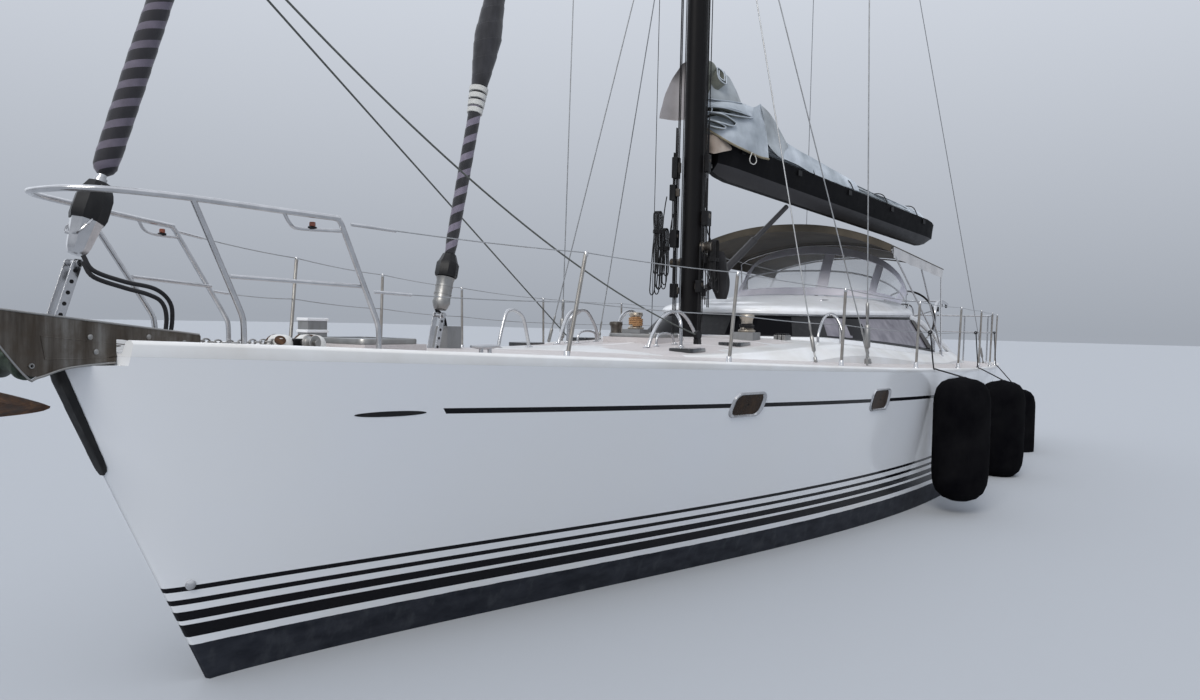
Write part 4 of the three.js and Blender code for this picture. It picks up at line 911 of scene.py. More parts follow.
def deck_half_ring(u):
    edge = deck_edge_z(lerp(-HALF_LENGTH, HALF_LENGTH, u))
    x, b = hull_place(u, edge)
    jx, jy, jz = hull_half_ring(u)[0][0]
    k = min(1.0, b / 0.22)
    inner = b - RAIL_WIDTH * k
    side = edge - RAIL_HEIGHT * k
    crest = edge + BOW_RAIL_LIFT * k * clamp((x - 2) / 6)
    ring = [(jx, jy, jz + 0.0003), (x, b, crest - 0.022 * k)]
    for a in np.linspace(10, 90, 6):
        a = math.radians(a)
        ring.append((x, b - 0.036 * k * (1 - math.cos(a)), crest - 0.022 * k * (1 - math.sin(a))))
    for a in (0.25, 0.5, 0.75, 1.0):
        ring.append((x, lerp(b - 0.045 * k, inner, a), lerp(crest, side, a * a * (3 - 2 * a))))
    for a in (0.95, 0.8, 0.6, 0.4, 0.2):
        ring.append((x, inner * a, side + DECK_CROWN * b * (1 - a * a)))
    return ring, (x, 0.0, side + DECK_CROWN * b)


FORE_HATCH = {"x": 6.80, "size": 0.52, "top": 1.85, "depth": 0.075}
MIDDLE_HATCH = {"x": 2.75, "size": 0.56, "top": 1.88, "depth": 0.12}


def hatch_pad(hatch):
    half = hatch["size"] / 2 + 0.03
    x = hatch["x"]
    return box((x - half, -half, hatch["top"] - hatch["depth"]), (x + half, half, hatch["top"]))


def make_deck():
    rings = [mirrored_ring(*deck_half_ring(u)) for u in station_fractions(HULL_STATIONS)]
    nose = mirrored_ring(*deck_half_ring(1.0))
    rings.append([(x + 0.015, y * 0.5, z - 0.004) for x, y, z in nose])
    deck = Part().add(loft(rings)).object(
        "fine_deck", "deck", replaces="deck", slot="deck_gelcoat", angle=50
    )
    cut(deck, hatch_pad(FORE_HATCH), "UNION")
    cut(deck, box((WELL["x0"], -WELL["half"], 0.5), (WELL["x1"], WELL["half"], 3)))
    cut(deck, box(*NOSE_CUT))
    shade(deck.data, 50)

    def panel(x, y, z):
        inboard = deck_half_beam(x) - abs(y)
        share = (x / 0.95) % 1
        return clamp((inboard - 0.17) * 40) * (1 if 0.06 < share < 0.94 else 0) * (1 if z > 1 else 0)

    attribute(deck, "panel", panel)


# Columns: x, half width at the foot, half width at the top, height of the top's edge and of its middle.
COACHROOF_SECTIONS = [
    (5.6, 0.26, 0.16, 1.772, 1.802), (4.6, 0.90, 0.78, 1.762, 1.804), (3.4, 1.33, 1.18, 1.764, 1.812),
    (2.0, 1.56, 1.38, 1.806, 1.872), (1.0, 1.68, 1.48, 1.842, 1.900), (0.0, 1.76, 1.56, 1.812, 1.880),
    (-2.0, 1.83, 1.65, 1.712, 1.770), (-4.0, 1.835, 1.68, 1.640, 1.680), (-5.6, 1.80, 1.65, 1.650, 1.660),
    (-6.9, 1.70, 1.54, 1.570, 1.590),
]


def make_coachroof():
    rings = []
    for x, foot, top, edge, middle in spline(COACHROOF_SECTIONS, 90):
        half = [(x, foot + 0.02, 1.3), (x, foot + 0.004, edge - 0.2), (x, foot, edge - 0.13)]
        half += [(x, lerp(foot, top + 0.025, t), lerp(edge - 0.13, edge - 0.025, t)) for t in (0.35, 0.7)]
        for a in np.linspace(0, 90, 6):
            a = math.radians(a)
            half.append((x, top + 0.025 - 0.065 * (1 - math.cos(a)), edge - 0.025 + 0.025 * math.sin(a)))
        half += [(x, (top - 0.04) * s, lerp(middle, edge, s * s)) for s in (0.85, 0.65, 0.45, 0.25)]
        rings.append(mirrored_ring(half, (x, 0.0, middle)))
    roof = Part().add(loft(rings)).object(
        "fine_coachroof", "deck", replaces="coachroof", slot="deck_gelcoat", angle=40
    )
    cut(roof, hatch_pad(MIDDLE_HATCH), "UNION")
    cut(roof, box((TUB["x0"], -TUB["half"], 0.5), (WELL["x1"], TUB["half"], 3)))
    shade(roof.data, 40)
    attribute(
        roof, "panel",
        lambda x, y, z: 1.0 if 0.25 < abs(y) < 1.0 and 1.3 < x < 4.2 and (x / 0.9) % 1 > 0.1 else 0.0
    )


make_hull()
make_hull_trim()
make_deck()
make_coachroof()


# Deckhouse

# Columns: x and half width at the window sill, x and half width at the window head.
WALL_OUTLINE = [
    (1.12, 0, 0.78, 0), (1.08, 0.40, 0.74, 0.35), (0.90, 0.80, 0.58, 0.70), (0.56, 1.12, 0.27, 0.96),
    (0.10, 1.31, -0.15, 1.12), (-0.70, 1.45, -0.90, 1.235), (-2.0, 1.56, -2.1, 1.32),
    (-3.3, 1.60, -3.1, 1.345),
    (-4.75, 1.58, -3.82, 1.33),
]
WALL_THICK = 0.045
GLASS_LOW = 0.1
GLASS_HIGH = 0.94
ROOF_CROWN = 0.12


def sill_z(x):
    return 1.885 - 0.0545 * max(0, 0.4 - x)


def head_z(x):
    return 2.165 + 0.016 * max(0, 0.4 - x)


def wall_curve(count):
    """Rows from the starboard aft end round the front to the port one."""
    port = WALL_OUTLINE
    starboard = [(sx, -sy, hx, -hy) for sx, sy, hx, hy in reversed(port[1:])]
    return spline(starboard + port, count)


WALL_ROWS = 241
WALL = wall_curve(WALL_ROWS)
WALL_MIDDLE = WALL_ROWS // 2


def wall_point(row, height, out=0.0):
    """A point on the wall: row of the curve, height from sill (0) to head (1), distance outwards."""
    sx, sy, hx, hy = WALL[row]
    before, after = WALL[max(0, row - 1)], WALL[min(WALL_ROWS - 1, row + 1)]
    along = lerp(after[:2] - before[:2], after[2:] - before[2:], height)
    along = along / np.linalg.norm(along)
    x, y = lerp(sx, hx, height), lerp(sy, hy, height)
    return (x + along[1] * out, y - along[0] * out, lerp(sill_z(x), head_z(x), height))


def row_at(x):
    """The port row whose sill stands at this x."""
    return min(range(WALL_MIDDLE, WALL_ROWS), key=lambda i: abs(WALL[i][0] - x))


def wall_strip(profile, rows):
    """A closed profile of (height, out) pairs swept along rows of the wall."""
    return loft([[wall_point(row, height, out) for height, out in profile] for row in rows])


CORNER_ROW = row_at(0.56)
AFT_GLASS_ROW = row_at(-4.56)


def post(row, half_rows, low=GLASS_LOW - 0.03, high=GLASS_HIGH + 0.03, out=0.004):
    rows = range(row - half_rows, row + half_rows + 1)
    return wall_strip([(low, out), (high, out), (high, -WALL_THICK), (low, -WALL_THICK)], rows)


def make_deckhouse():
    walls = Part()
    everything = range(WALL_ROWS)
    low = [
        (-1.2, 0), (-0.6, 0.002), (0.0, 0), (0.06, 0.001), (GLASS_LOW, -0.006), (GLASS_LOW, -WALL_THICK),
        (-1.2, -WALL_THICK)
    ]
    high = [
        (GLASS_HIGH, -0.006), (0.965, 0.001), (1.0, 0), (1.06, -0.002), (1.06, -WALL_THICK),
        (GLASS_HIGH, -WALL_THICK)
    ]
    walls.add(wall_strip(low, everything)).add(wall_strip(high, everything))
    walls.add(post(WALL_MIDDLE, 2)).both(post(CORNER_ROW, 3))
    tail = range(AFT_GLASS_ROW, WALL_ROWS)
    walls.both(wall_strip([(0, 0), (1, 0), (1, -WALL_THICK), (0, -WALL_THICK)], tail))
    arm = spline(
        [(-3.65, 1.325, 2.215, 0.045), (-4.3, 1.395, 2.13, 0.045), (-4.95, 1.47, 1.95, 0.042),
         (-5.6, 1.53, 1.77, 0.04), (-6.35, 1.545, 1.60, 0.04)], 30,
    )
    rings = []
    for x, y, z, half in arm:
        corners = rounded(0.076, 2 * half, 0.028, 4)
        rings.append([(x, y + u, z + v) for u, v in corners])
    walls.both(loft(rings))
    walls.both(box((-3.95, 0.33, 1.66), (-3.75, 1.30, 2.27)))
    walls.object("deckhouse_walls", "white", replaces="deckhouse", slot="deck_gelcoat", angle=35)
    make_wall_trim()
    make_glazing()


def make_wall_trim():
    """Dark frames round the glass, and slatted vents between the windows' aft edge and the arms."""
    frames = Part()
    rows = range(WALL_ROWS)
    for height in (GLASS_LOW, GLASS_HIGH):
        a, b = height - 0.022, height + 0.022
        frames.add(wall_strip([(a, 0.001), (a, 0.007), (b, 0.007), (b, 0.001)], rows))
    for row, half_rows in ((WALL_MIDDLE, 4), (CORNER_ROW, 5), (2 * WALL_MIDDLE - CORNER_ROW, 5)):
        strip = range(row - half_rows, row + half_rows + 1)
        frames.add(wall_strip(
            [(GLASS_LOW, 0.0045), (GLASS_HIGH, 0.0045), (GLASS_HIGH, 0.006), (GLASS_LOW, 0.006)], strip
        ))
    frames.object("window_frames", "black_plastic", slot="deck_gelcoat")
    slats = Part()
    start, end = row_at(-4.2), AFT_GLASS_ROW + 2
    count = 11
    for i in range(count):
        t = i / count
        rows = [
            start + round((end - start) * (t + 0.012)), start + round((end - start) * (t + 0.6 / count))
        ]
        if rows[1] <= rows[0]:
            rows[1] = rows[0] + 1
        profile = [(0.16, 0.004), (0.16, 0.016), (0.88, 0.016), (0.88, 0.004)]
        slats.both(wall_strip(profile, range(rows[0], rows[1] + 1)))
    slats.object("vent_slats", "tan_slat", slot="deck_gelcoat")


def pane(first, last, name, node, covers):
    """One pane of glass; covers are spans of x where a pale cover hangs behind it."""
    rows = list(range(first, last + 1))
    profile = [(GLASS_LOW + 0.004, -0.018), (GLASS_LOW + 0.004, -0.004)]
    profile += [(h, -0.004) for h in np.linspace(0.2, 0.84, 9)]
    profile += [(GLASS_HIGH - 0.004, -0.004), (GLASS_HIGH - 0.004, -0.018)]
    glass = Part().add(wall_strip(profile, rows)).object(
        name, "glass", replaces=node, slot="dark_glazing", angle=60
    )

    def cover(x, y, z):
        height = (z - sill_z(x)) / (head_z(x) - sill_z(x))
        for x0, x1, lean in covers:
            if x0 + lean * height < x < x1 + lean * height and 0.12 < height < 0.92:
                return 1.0
        return 0.0

    attribute(glass, "cover", cover)


def make_glazing():
    start = WALL_MIDDLE
    mirror = lambda row: 2 * start - row
    front = [(1.27, 1.50, 0.0)]
    side = [(-0.30, 0.44, -0.10), (-4.4, -0.85, -0.10)]
    pane(start + 3, CORNER_ROW - 4, "front_glass_port", "windscreen_port", front)
    pane(mirror(CORNER_ROW - 4), mirror(start + 3), "front_glass_starboard", "windscreen_starboard", front)
    pane(CORNER_ROW + 4, AFT_GLASS_ROW - 1, "side_glass_port", "side_window_port", side)
    pane(
        mirror(AFT_GLASS_ROW - 1), mirror(CORNER_ROW + 4), "side_glass_starboard", "side_window_starboard",
        side
    )


def make_roof():
    """The roof: rings stepping inwards from its lip, then rows straight across the crown."""
    profile = [
        (0.024, 0.0003), (0.034, 0.008), (0.036, 0.034), (0.030, 0.052), (0.012, 0.070), (-0.014, 0.083),
        (-0.06, 0.093), (-0.13, 0.100), (-0.22, 0.107), (-0.33, 0.113),
    ]
    crown = lambda x: ROOF_CROWN * clamp((0.9 - x) / 2.6)
    rings = []
    for out, lift in profile:
        inwards = clamp(-out / 0.33)
        ring = []
        for row in range(WALL_ROWS):
            x, y, z = wall_point(row, 1.0, out)
            ring.append((x, y, z + lift + crown(x) * inwards * (2 - inwards)))
        rings.append(ring)
    part = Part().add(grid(rings))
    inner = rings[-1]
    rows = []
    for i in range(WALL_MIDDLE + 1):
        a, b = np.array(inner[i]), np.array(inner[WALL_ROWS - 1 - i])
        wide = abs(a[1])
        rows.append(
            [lerp(a, b, t) + np.array([0, 0, 0.05 * wide * 4 * t * (1 - t)]) for t in np.linspace(0, 1, 13)]
        )
    part.add(grid(rows))
    under = [[
        lerp(np.array(rings[0][i]), np.array(rings[0][WALL_ROWS - 1 - i]), t) for t in np.linspace(0, 1, 5)
    ] for i in range(WALL_MIDDLE + 1)]
    part.add(grid(under))
    end = [*[r[0] for r in rings], *rows[0][1:-1], *[r[-1] for r in reversed(rings)]]
    low = [lerp(np.array(rings[0][0]), np.array(rings[0][-1]), t) for t in np.linspace(0, 1, len(end))]
    part.add(grid([end, low]))
    roof = part.object("fine_roof", "white", replaces="deckhouse_roof", slot="deck_gelcoat", angle=45)
    cut(roof, box((-4.2, -0.33, 2.05), (-3.18, 0.33, 2.75)))
    shade(roof.data, 45)
    trim = Part()
    trim.both(box((-3.86, 0.350, 2.32), (-2.45, 0.385, 2.497)))
    trim.object("hatch_rails", "white", slot="deck_gelcoat", bevel=0.006)
    grab = Part()
    path = [
        (-0.6, 0.85, 2.31), (-0.62, 0.85, 2.36), (-0.72, 0.85, 2.375), (-2.2, 0.901, 2.385),
        (-2.3, 0.901, 2.37), (-2.32, 0.901, 2.31)
    ]
    grab.both(tube(path, 30, 0.012, 8))
    for x in (-1.1, -1.65):
        grab.both(bar((x, 0.867, 2.30), (x, 0.867, 2.378), 0.010, 8))
    grab.object("roof_grab_rails", "steel", slot="polished_steel", angle=60)


def framed_hatch(name, node, at_x, size, top, thick, body, half_y=None):
    """A hatch lid: dark pane in a rounded metal frame."""
    half_x = size / 2
    half_y = half_y or half_x
    rim, glass = Part(), Part()
    outer = rounded(2 * half_x, 2 * half_y, 0.06, 6)
    inner = rounded(2 * half_x - 0.07, 2 * half_y - 0.07, 0.035, 6)
    ring = lambda outline, z: [(at_x + u, v, z) for u, v in outline]
    rows = [ring(inner, top + 0.002), ring(outer, top + 0.002), ring(outer, top + thick * 0.75)]
    rows += [ring([(u * 0.985, v * 0.985) for u, v in outer], top + thick * 0.97), ring(inner, top + thick)]
    rim.add(grid(rows, close_rows=True, close_columns=True))
    rows = [ring(
        [(u * s, v * s) for u, v in inner], top + thick - 0.004 + 0.003 * (1 - s)
    ) for s in (1.0, 0.7, 0.35, 0.02)]
    glass.add(grid(rows, close_columns=True)).add(
        grid([ring(inner, top + 0.004), ring(inner, top + thick - 0.004)], close_columns=True)
    )
    rim.object(name + "_frame", "dull_steel", body, slot="polished_steel", angle=40)
    pane_object = glass.object(name + "_pane", "glass", body, replaces=node, slot="dark_glazing", angle=40)
    attribute(pane_object, "cover", lambda x, y, z: 0.0)


def make_hatches():
    framed_hatch(
        "fore_hatch", "fore_hatch_lid", FORE_HATCH["x"], FORE_HATCH["size"], FORE_HATCH["top"], 0.037,
        "fore_hatch"
    )
    framed_hatch(
        "middle_hatch", "middle_hatch_lid", MIDDLE_HATCH["x"], MIDDLE_HATCH["size"], MIDDLE_HATCH["top"],
        0.037, "middle_hatch"
    )
    low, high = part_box("companionway_hatch")
    framed_hatch(
        "companionway", "companionway_hatch", (low[0] + high[0]) / 2, high[0] - low[0], low[2],
        high[2] - low[2],
        "companionway_hatch", (high[1] - low[1]) / 2,
    )
    flush = Part()
    for x, y in ((3.60, 0.88), (2.45, 0.88)):
        z = coachroof_z(x, y) - 0.012
        flush.both(plate(rounded(0.34, 0.24, 0.04, 5), 0.040, lambda u, v, w: (x + u, y + v, z + w)))
    flush.object("small_hatches", "screen", slot="dark_glazing", bevel=0.006)


def coachroof_z(x, y):
    """Height of the coachroof's top."""
    table = np.array(COACHROOF_SECTIONS)[::-1]
    top, edge, middle = [np.interp(x, table[:, 0], table[:, k]) for k in (2, 3, 4)]
    share = min(1.0, abs(y) / (top - 0.04))
    return float(lerp(middle, edge, share * share))


def make_saloon():
    """A plain fitted inside, seen through the companionway and the glass's gaps."""
    inside = Part()
    inside.add(box((-3.745, -1.245, 0.852), (0.09, 1.245, 0.872)), 0)
    inside.both(box((-3.3, 0.62, 0.872), (-0.4, 1.24, 1.25)), 1)
    inside.both(box((-3.3, 1.08, 1.25), (-0.4, 1.24, 1.62)), 1)
    inside.add(box((-2.6, -0.35, 1.42), (-1.4, 0.35, 1.46)), 0)
    inside.add(box((-2.1, -0.05, 0.872), (-1.9, 0.05, 1.42)), 0)
    for i in range(4):
        inside.add(box((-3.72 + 0.2 * i, -0.3, 0.872), (-3.52 + 0.2 * i, 0.3, 1.60 - 0.18 * (i + 1))), 0)
    inside.object("saloon_fittings", ["teak", "cushion"], slot="deck_gelcoat", bevel=0.02)


def make_cockpit():
    """A moulded tub with two benches, the bulkhead with the way below, and teak laid on seats and sole."""
    tub = Part()
    half, sole = TUB["half"], TUB["sole"]
    x0, x1, bulk = TUB["x0"], TUB["x1"], -3.75
    tub.add(box((WELL["x0"] + 0.001, -1.399, 0.801), (bulk, 1.399, sole)))
    tub.both(box((WELL["x0"] + 0.001, half, sole), (bulk, 1.399, 1.44)))
    tub.add(box((WELL["x0"] + 0.001, -half, sole), (x0, half, 1.42)))
    tub.both(box((x1, 0.33, sole), (bulk, half, 1.655)))
    tub.add(box((x1, -0.33, sole), (bulk, 0.33, 1.05)))
    tub.both(box((SEAT["x0"], SEAT["inner"], sole), (SEAT["x1"], half, SEAT["top"] - 0.012)))
    tub.object("fine_tub", "white", replaces="cockpit_tub", slot="deck_gelcoat", bevel=0.015)
    slats = Part()
    for i in range(8):
        y0 = SEAT["inner"] + 0.03 + 0.09 * i
        slats.both(
            box((SEAT["x0"] + 0.03, y0, SEAT["top"] - 0.012), (SEAT["x1"] - 0.08, y0 + 0.084, SEAT["top"]))
        )
    for i in range(24):
        y0 = -1.2 + 0.1 * i
        fore = -4.0 if abs(y0 + 0.05) < 0.46 else SEAT["x0"] - 0.03
        slats.add(box((-6.42, y0 + 0.003, sole + 0.0005), (fore, y0 + 0.097, sole + 0.011)))
    slats.object("teak_planks", "teak", slot="deck_gelcoat", bevel=0.002)
    make_pedestals()
    make_wheels()


SEAT = {"x0": -5.05, "x1": -3.90, "inner": 0.48, "top": 1.18}
WHEEL = {"x": -5.4, "y": 0.93, "z": 2.2, "r": 0.5}


def make_pedestals():
    for side, sign in SIDES:
        body, screens, grab = Part(), Part(), Part()
        table = spline(
            [(0.8505, -5.32, -5.08, 0.13), (1.25, -5.30, -5.10, 0.122), (1.7, -5.29, -5.10, 0.12),
             (1.95, -5.30, -5.07, 0.14),
             (2.12, -5.30, -5.06, 0.15), (2.22, -5.295, -5.08, 0.148), (2.30, -5.28, -5.12, 0.14)], 40,
        )
        rings = []
        for z, x0, x1, half in table:
            corners = rounded(x1 - x0, 2 * half, min(0.04, (x1 - x0) / 2.2), 4)
            rings.append([((x0 + x1) / 2 + u, sign * WHEEL["y"] + v, z) for u, v in corners])
        body.add(loft(rings))
        body.add(lathe(
            [(0, 0), (0.034, 0), (0.034, 0.05), (0.026, 0.076), (0, 0.076)],
            (-5.29, sign * WHEEL["y"], WHEEL["z"]), (-1, 0, 0), 20
        ), 1)
        body.object(
            f"fine_pedestal_{side}", ["white", "steel"],
            replaces=f"pedestal_{side}", slot="deck_gelcoat", angle=40,
        )
        for k in (-1, 1):
            at = (-5.294, sign * WHEEL["y"] + 0.062 * k, 2.245)
            screens.add(
                lathe([(0.036, -0.004), (0.036, 0.006), (0.030, 0.008), (0, 0.008)], at, (-1, 0, 0.12), 20)
            )
        screens.object(f"blank_dials_{side}", "screen", slot="dark_glazing")
        loop = spline(
            [(-5.19, -0.16, 1.95), (-5.19, -0.17, 2.2), (-5.18, -0.15, 2.4), (-5.18, 0, 2.45),
             (-5.18, 0.15, 2.4),
             (-5.19, 0.17, 2.2), (-5.19, 0.16, 1.95)], 40,
        )
        grab.add(pipe([(x, sign * WHEEL["y"] + y, z) for x, y, z in loop], 0.014, 8))
        grab.object(f"pedestal_guard_{side}", "steel", slot="polished_steel", angle=60)


def make_wheels():
    for side, sign in SIDES:
        wheel, grip = Part(), Part()
        centre = Vector((WHEEL["x"], sign * WHEEL["y"], WHEEL["z"]))
        rim_radius = WHEEL["r"] - 0.018
        circle = lambda r, a: centre + Vector((0, r * math.cos(a), r * math.sin(a)))
        angles = around(64)
        wheel.add(pipe([circle(rim_radius, a) for a in angles], 0.0155, 10, closed=True))
        wheel.add(lathe([
            (0, -0.034), (0.036, -0.034), (0.045, -0.01), (0.045, 0.01), (0.03, 0.027), (0, 0.027)
        ], centre, (1, 0, 0), 24))
        for i in range(5):
            a = math.pi / 2 + 2 * math.pi * i / 5
            wheel.add(
                pipe([circle(0.03, a), circle(0.2, a), circle(rim_radius, a)], [0.011, 0.009, 0.008], 8)
            )
        wheel.object(
            f"fine_wheel_{side}", "steel", f"wheel_{side}", replaces=f"wheel_{side}", slot="polished_steel",
            angle=50
        )
        steps = np.linspace(math.radians(-35), math.radians(80), 40)
        grip.add(
            pipe([circle(rim_radius, a) for a in steps], [0.0168 + 0.0008 * (i % 2) for i in range(40)], 12)
        )
        grip.object(f"wheel_grip_{side}", "leather", f"wheel_{side}", slot="polished_steel", angle=60)


make_deckhouse()
make_roof()
make_hatches()
make_saloon()
make_cockpit()


# Mast and standing rigging

GOOSENECK = Vector((1.25, 0.0, 3.76))
BOOM_TURN = math.radians(-10.3)
BOOM_HEIGHT = 0.43
BOOM_DROOP = 0.05
STAY_WIRE = 0.007
GENOA = (Vector((8.87, 0, 1.86)), Vector((1.79, 0, 23.7)))
STAYSAIL = (Vector((6.09, 0, 1.83)), Vector((1.79, 0, 19.4)))
# Columns: height, spreader half span, aft sweep.
SPREADERS = [(8.6, 1.76, 0.24), (13.6, 1.43, 0.22), (18.7, 1.08, 0.18)]
CHAINPLATES = [(2.10, 1.62), (1.27, 1.93), (0.60, 1.80)]


def ellipse(x, z, fore, side, count=36):
    return [(x + fore * math.cos(a), side * math.sin(a), z) for a in around(count)]


def make_mast():
    mast = Part()
    heights = [
        (1.52, 0.160, 0.112), (10, 0.160, 0.112), (19.5, 0.160, 0.112), (22, 0.136, 0.098),
        (24.0, 0.120, 0.088)
    ]
    mast.add(loft([ellipse(MAST_X, z, a, b) for z, a, b in heights]))
    for z, span, sweep in SPREADERS:
        for sign in (1, -1):
            rings = []
            for t in np.linspace(0, 1, 12):
                chord, thick = lerp(0.08, 0.045, t), lerp(0.026, 0.014, t)
                x, y = MAST_X - sweep * t, sign * span * t
                rings.append([(x + chord * math.cos(a), y, z + thick * math.sin(a)) for a in around(16)])
            mast.add(loft(rings))
    mast.add(box((1.35, -0.03, 23.9), (1.83, 0.03, 24.02)))
    mast.object("mast_tube", "mast", replaces="mast", slot="mast_paint", angle=40)
    gear = Part()
    gear.add(box((1.452, -0.016, 3.4), (1.466, 0.016, 23.5)))
    for z in (3.85, 4.06):
        gear.add(box((1.22, -0.06, z), (1.48, 0.06, z + 0.04)))
    gear.add(bar((1.25, 0, 3.84), (1.25, 0, 4.11), 0.02, 16))
    for z in (2.322, 2.462):
        gear.add(box((1.226, -0.024, z), (1.48, 0.024, z + 0.02)))
    gear.add(bar((1.25, 0, 2.325), (1.25, 0, 2.478), 0.013, 14))
    for z, _, _ in SPREADERS:
        gear.add(loft([ellipse(MAST_X, z + h, 0.166, 0.118) for h in (-0.05, 0.05)]))
    gear.object("mast_fittings", "dull_steel", slot="mast_paint", angle=40)
    stays = Part()
    for (foot, head), low in ((GENOA, 23.125), (STAYSAIL, 18.925)):
        stays.add(bar(Vector((MAST_X + 0.1, 0, head.z + 0.06)), stay_at(foot, head, low), STAY_WIRE, 8))
    stays.object("stay_ends", "wire", slot="mast_paint")


def stay_at(foot, head, z):
    return foot.lerp(head, (z - foot.z) / (head.z - foot.z))


def turnbuckle(part, foot, towards, length, radius=0.016):
    """Fork, body with its two screws and locknuts, and the swage of the wire."""
    foot, towards = Vector(foot), Vector(towards)
    along = (towards - foot).normalized()
    profile = [
        (0.0, 0.0), (radius * 1.15, 0.0), (radius * 1.15, 0.05), (radius * 0.55, 0.06),
        (radius * 0.55, 0.25 * length),
        (radius * 0.9, 0.26 * length), (radius * 1.25, 0.29 * length), (radius * 1.25, 0.62 * length),
        (radius * 0.9, 0.65 * length), (radius * 0.55, 0.66 * length), (radius * 0.55, 0.8 * length),
        (radius * 0.75, 0.81 * length), (radius * 0.7, length), (0.006, length * 1.03), (0, length * 1.03),
    ]
    part.add(lathe(profile, foot, along, 12), 1)


def make_shrouds():
    for side, sign in SIDES:
        part = Part()
        tips = [Vector((MAST_X - sweep, sign * (span + 0.016), z)) for z, span, sweep in SPREADERS]
        feet = [Vector((x, sign * y, deck_edge_z(x) + 0.02)) for x, y in CHAINPLATES]
        fore, cap, aft = feet
        mast_side = lambda z: Vector((MAST_X, sign * 0.122, z))
        head = Vector((MAST_X - 0.06, sign * 0.1, MAST_TOP_Z - 0.16))
        runs = [
            (cap, tips[0]), (tips[0], tips[1]), (tips[1], tips[2]), (tips[2], head),
            (fore, mast_side(8.45)),
            (aft, mast_side(8.45)), (tips[0], mast_side(13.45)), (tips[1], mast_side(18.55)),
        ]
        for a, b in runs:
            part.add(bar(a, b, STAY_WIRE, 8))
        for tip in tips:
            part.add(lathe([
                (0, -0.03), (0.016, -0.03), (0.022, -0.01), (0.022, 0.01), (0.016, 0.03), (0, 0.03)
            ], tip, (0, 0, 1), 12), 1)
        turnbuckle(part, fore, mast_side(8.45), 0.42)
        turnbuckle(part, cap, tips[0], 0.64, 0.026)
        turnbuckle(part, aft, mast_side(8.45), 0.42)
        for x, y in CHAINPLATES:
            z = deck_edge_z(x)
            part.add(
                box((x - 0.03, sign * y - 0.005, z - 0.08), (x + 0.03, sign * y + 0.005, z + 0.045)), 1
            )
            part.add(box((x - 0.06, sign * y - 0.03, z - 0.034), (x + 0.06, sign * y + 0.03, z - 0.026)), 1)
        part.object(
            f"rigging_{side}", ["wire", "dull_steel"],
            replaces=f"shrouds_{side}", slot="polished_steel", angle=50,
        )


def make_backstay():
    part = Part()
    head = Vector((MAST_X - 0.25, 0, MAST_TOP_Z - 0.15))
    foot = Vector((-8.4, 1.83, deck_edge_z(-8.4) - 0.04))
    split = head.lerp(Vector((foot.x, 0, foot.z)), (head.z - 14.5) / (head.z - foot.z))
    part.add(bar(head, split, STAY_WIRE, 8))
    part.both(pipe([foot, split + Vector((-0.01, 0.024, -0.03))], STAY_WIRE, 8))
    outline = [(-0.06, -0.06), (0.06, -0.06), (0.03, 0.06), (-0.03, 0.06)]
    part.add(plate(outline, 0.02, lambda u, v, w: (split.x + w, split.y + u, split.z + v)), 1)
    for sign in (1, -1):
        side_foot = Vector((foot.x, sign * foot.y, foot.z))
        turnbuckle(part, side_foot, split, 0.55, 0.018)
    part.object(
        "fine_backstay", ["wire", "dull_steel"], replaces="backstay", slot="polished_steel", angle=50
    )


# Furled headsails


def rolled(foot, head, turns, finish, name, node, body, turn_length, count=260, sides=28, ridge=0.05):
    """A sail wound on its stay: rings follow a radius table, with a spiral ridge at each turn's edge."""
    along = (head - foot).normalized()
    side = Vector((0, 1, 0))
    front = side.cross(along)
    table = np.array(turns, float)
    part = Part()
    rings = []
    for z in np.linspace(table[0, 0], table[-1, 0], count):
        radius = float(np.interp(z, table[:, 0], table[:, 1]))
        middle = stay_at(foot, head, z)
        ring = []
        for k in range(sides):
            a = 2 * math.pi * k / sides
            phase = (a / (2 * math.pi) + z / turn_length) % 1
            grown = radius * (1 - ridge + ridge * phase) * (1 + 0.012 * math.sin(z * 7 + 2 * a))
            ring.append(middle + side * grown * math.cos(a) + front * grown * math.sin(a))
        rings.append(ring)
    part.add(loft(rings))
    roll = part.object(name, finish, body, replaces=node, slot="headsail_cloth", angle=60)
    turned = lambda x, y, z: (
        math.atan2((Vector((x, y, z)) - stay_at(foot, head, z)).dot(front), y) / (2 * math.pi)
        + z / turn_length
    )
    points = roll.data.attributes.new("spiral", "FLOAT", "CORNER")
    values = [0.0] * len(roll.data.loops)
    for face in roll.data.polygons:
        phases = [
            turned(*roll.data.vertices[roll.data.loops[i].vertex_index].co) for i in face.loop_indices
        ]
        top = max(phases)
        for i, value in zip(face.loop_indices, phases):
            values[i] = value + 1 if top - value > 0.5 else value
    points.data.foreach_set("value", values)
    return roll


def stack(foot, head, profile, sides=28):
    """A turned form on the stay's axis, from (height, radius) pairs."""
    along = (head - foot).normalized()
    side = Vector((0, 1, 0))
    front = side.cross(along)
    rings = []
    for z, radius in profile:
        middle = stay_at(foot, head, z)
        angles = around(sides)
        rings.append([middle + side * radius * math.cos(a) + front * radius * math.sin(a) for a in angles])
    return loft(rings)


def d_ring():
    """The steel loop that hangs from the drum's cap, towards the bow."""
    middle = stay_at(*GENOA, 2.46)
    shape = [
        (0.02, 0.070, 0.0), (0.05, 0.078, -0.03), (0.075, 0.052, -0.062), (0.078, 0.0, -0.070),
        (0.075, -0.052, -0.062), (0.05, -0.078, -0.03), (0.02, -0.070, 0.0)
    ]
    return [(middle.x + x, middle.y + y, middle.z + z) for x, y, z in shape]


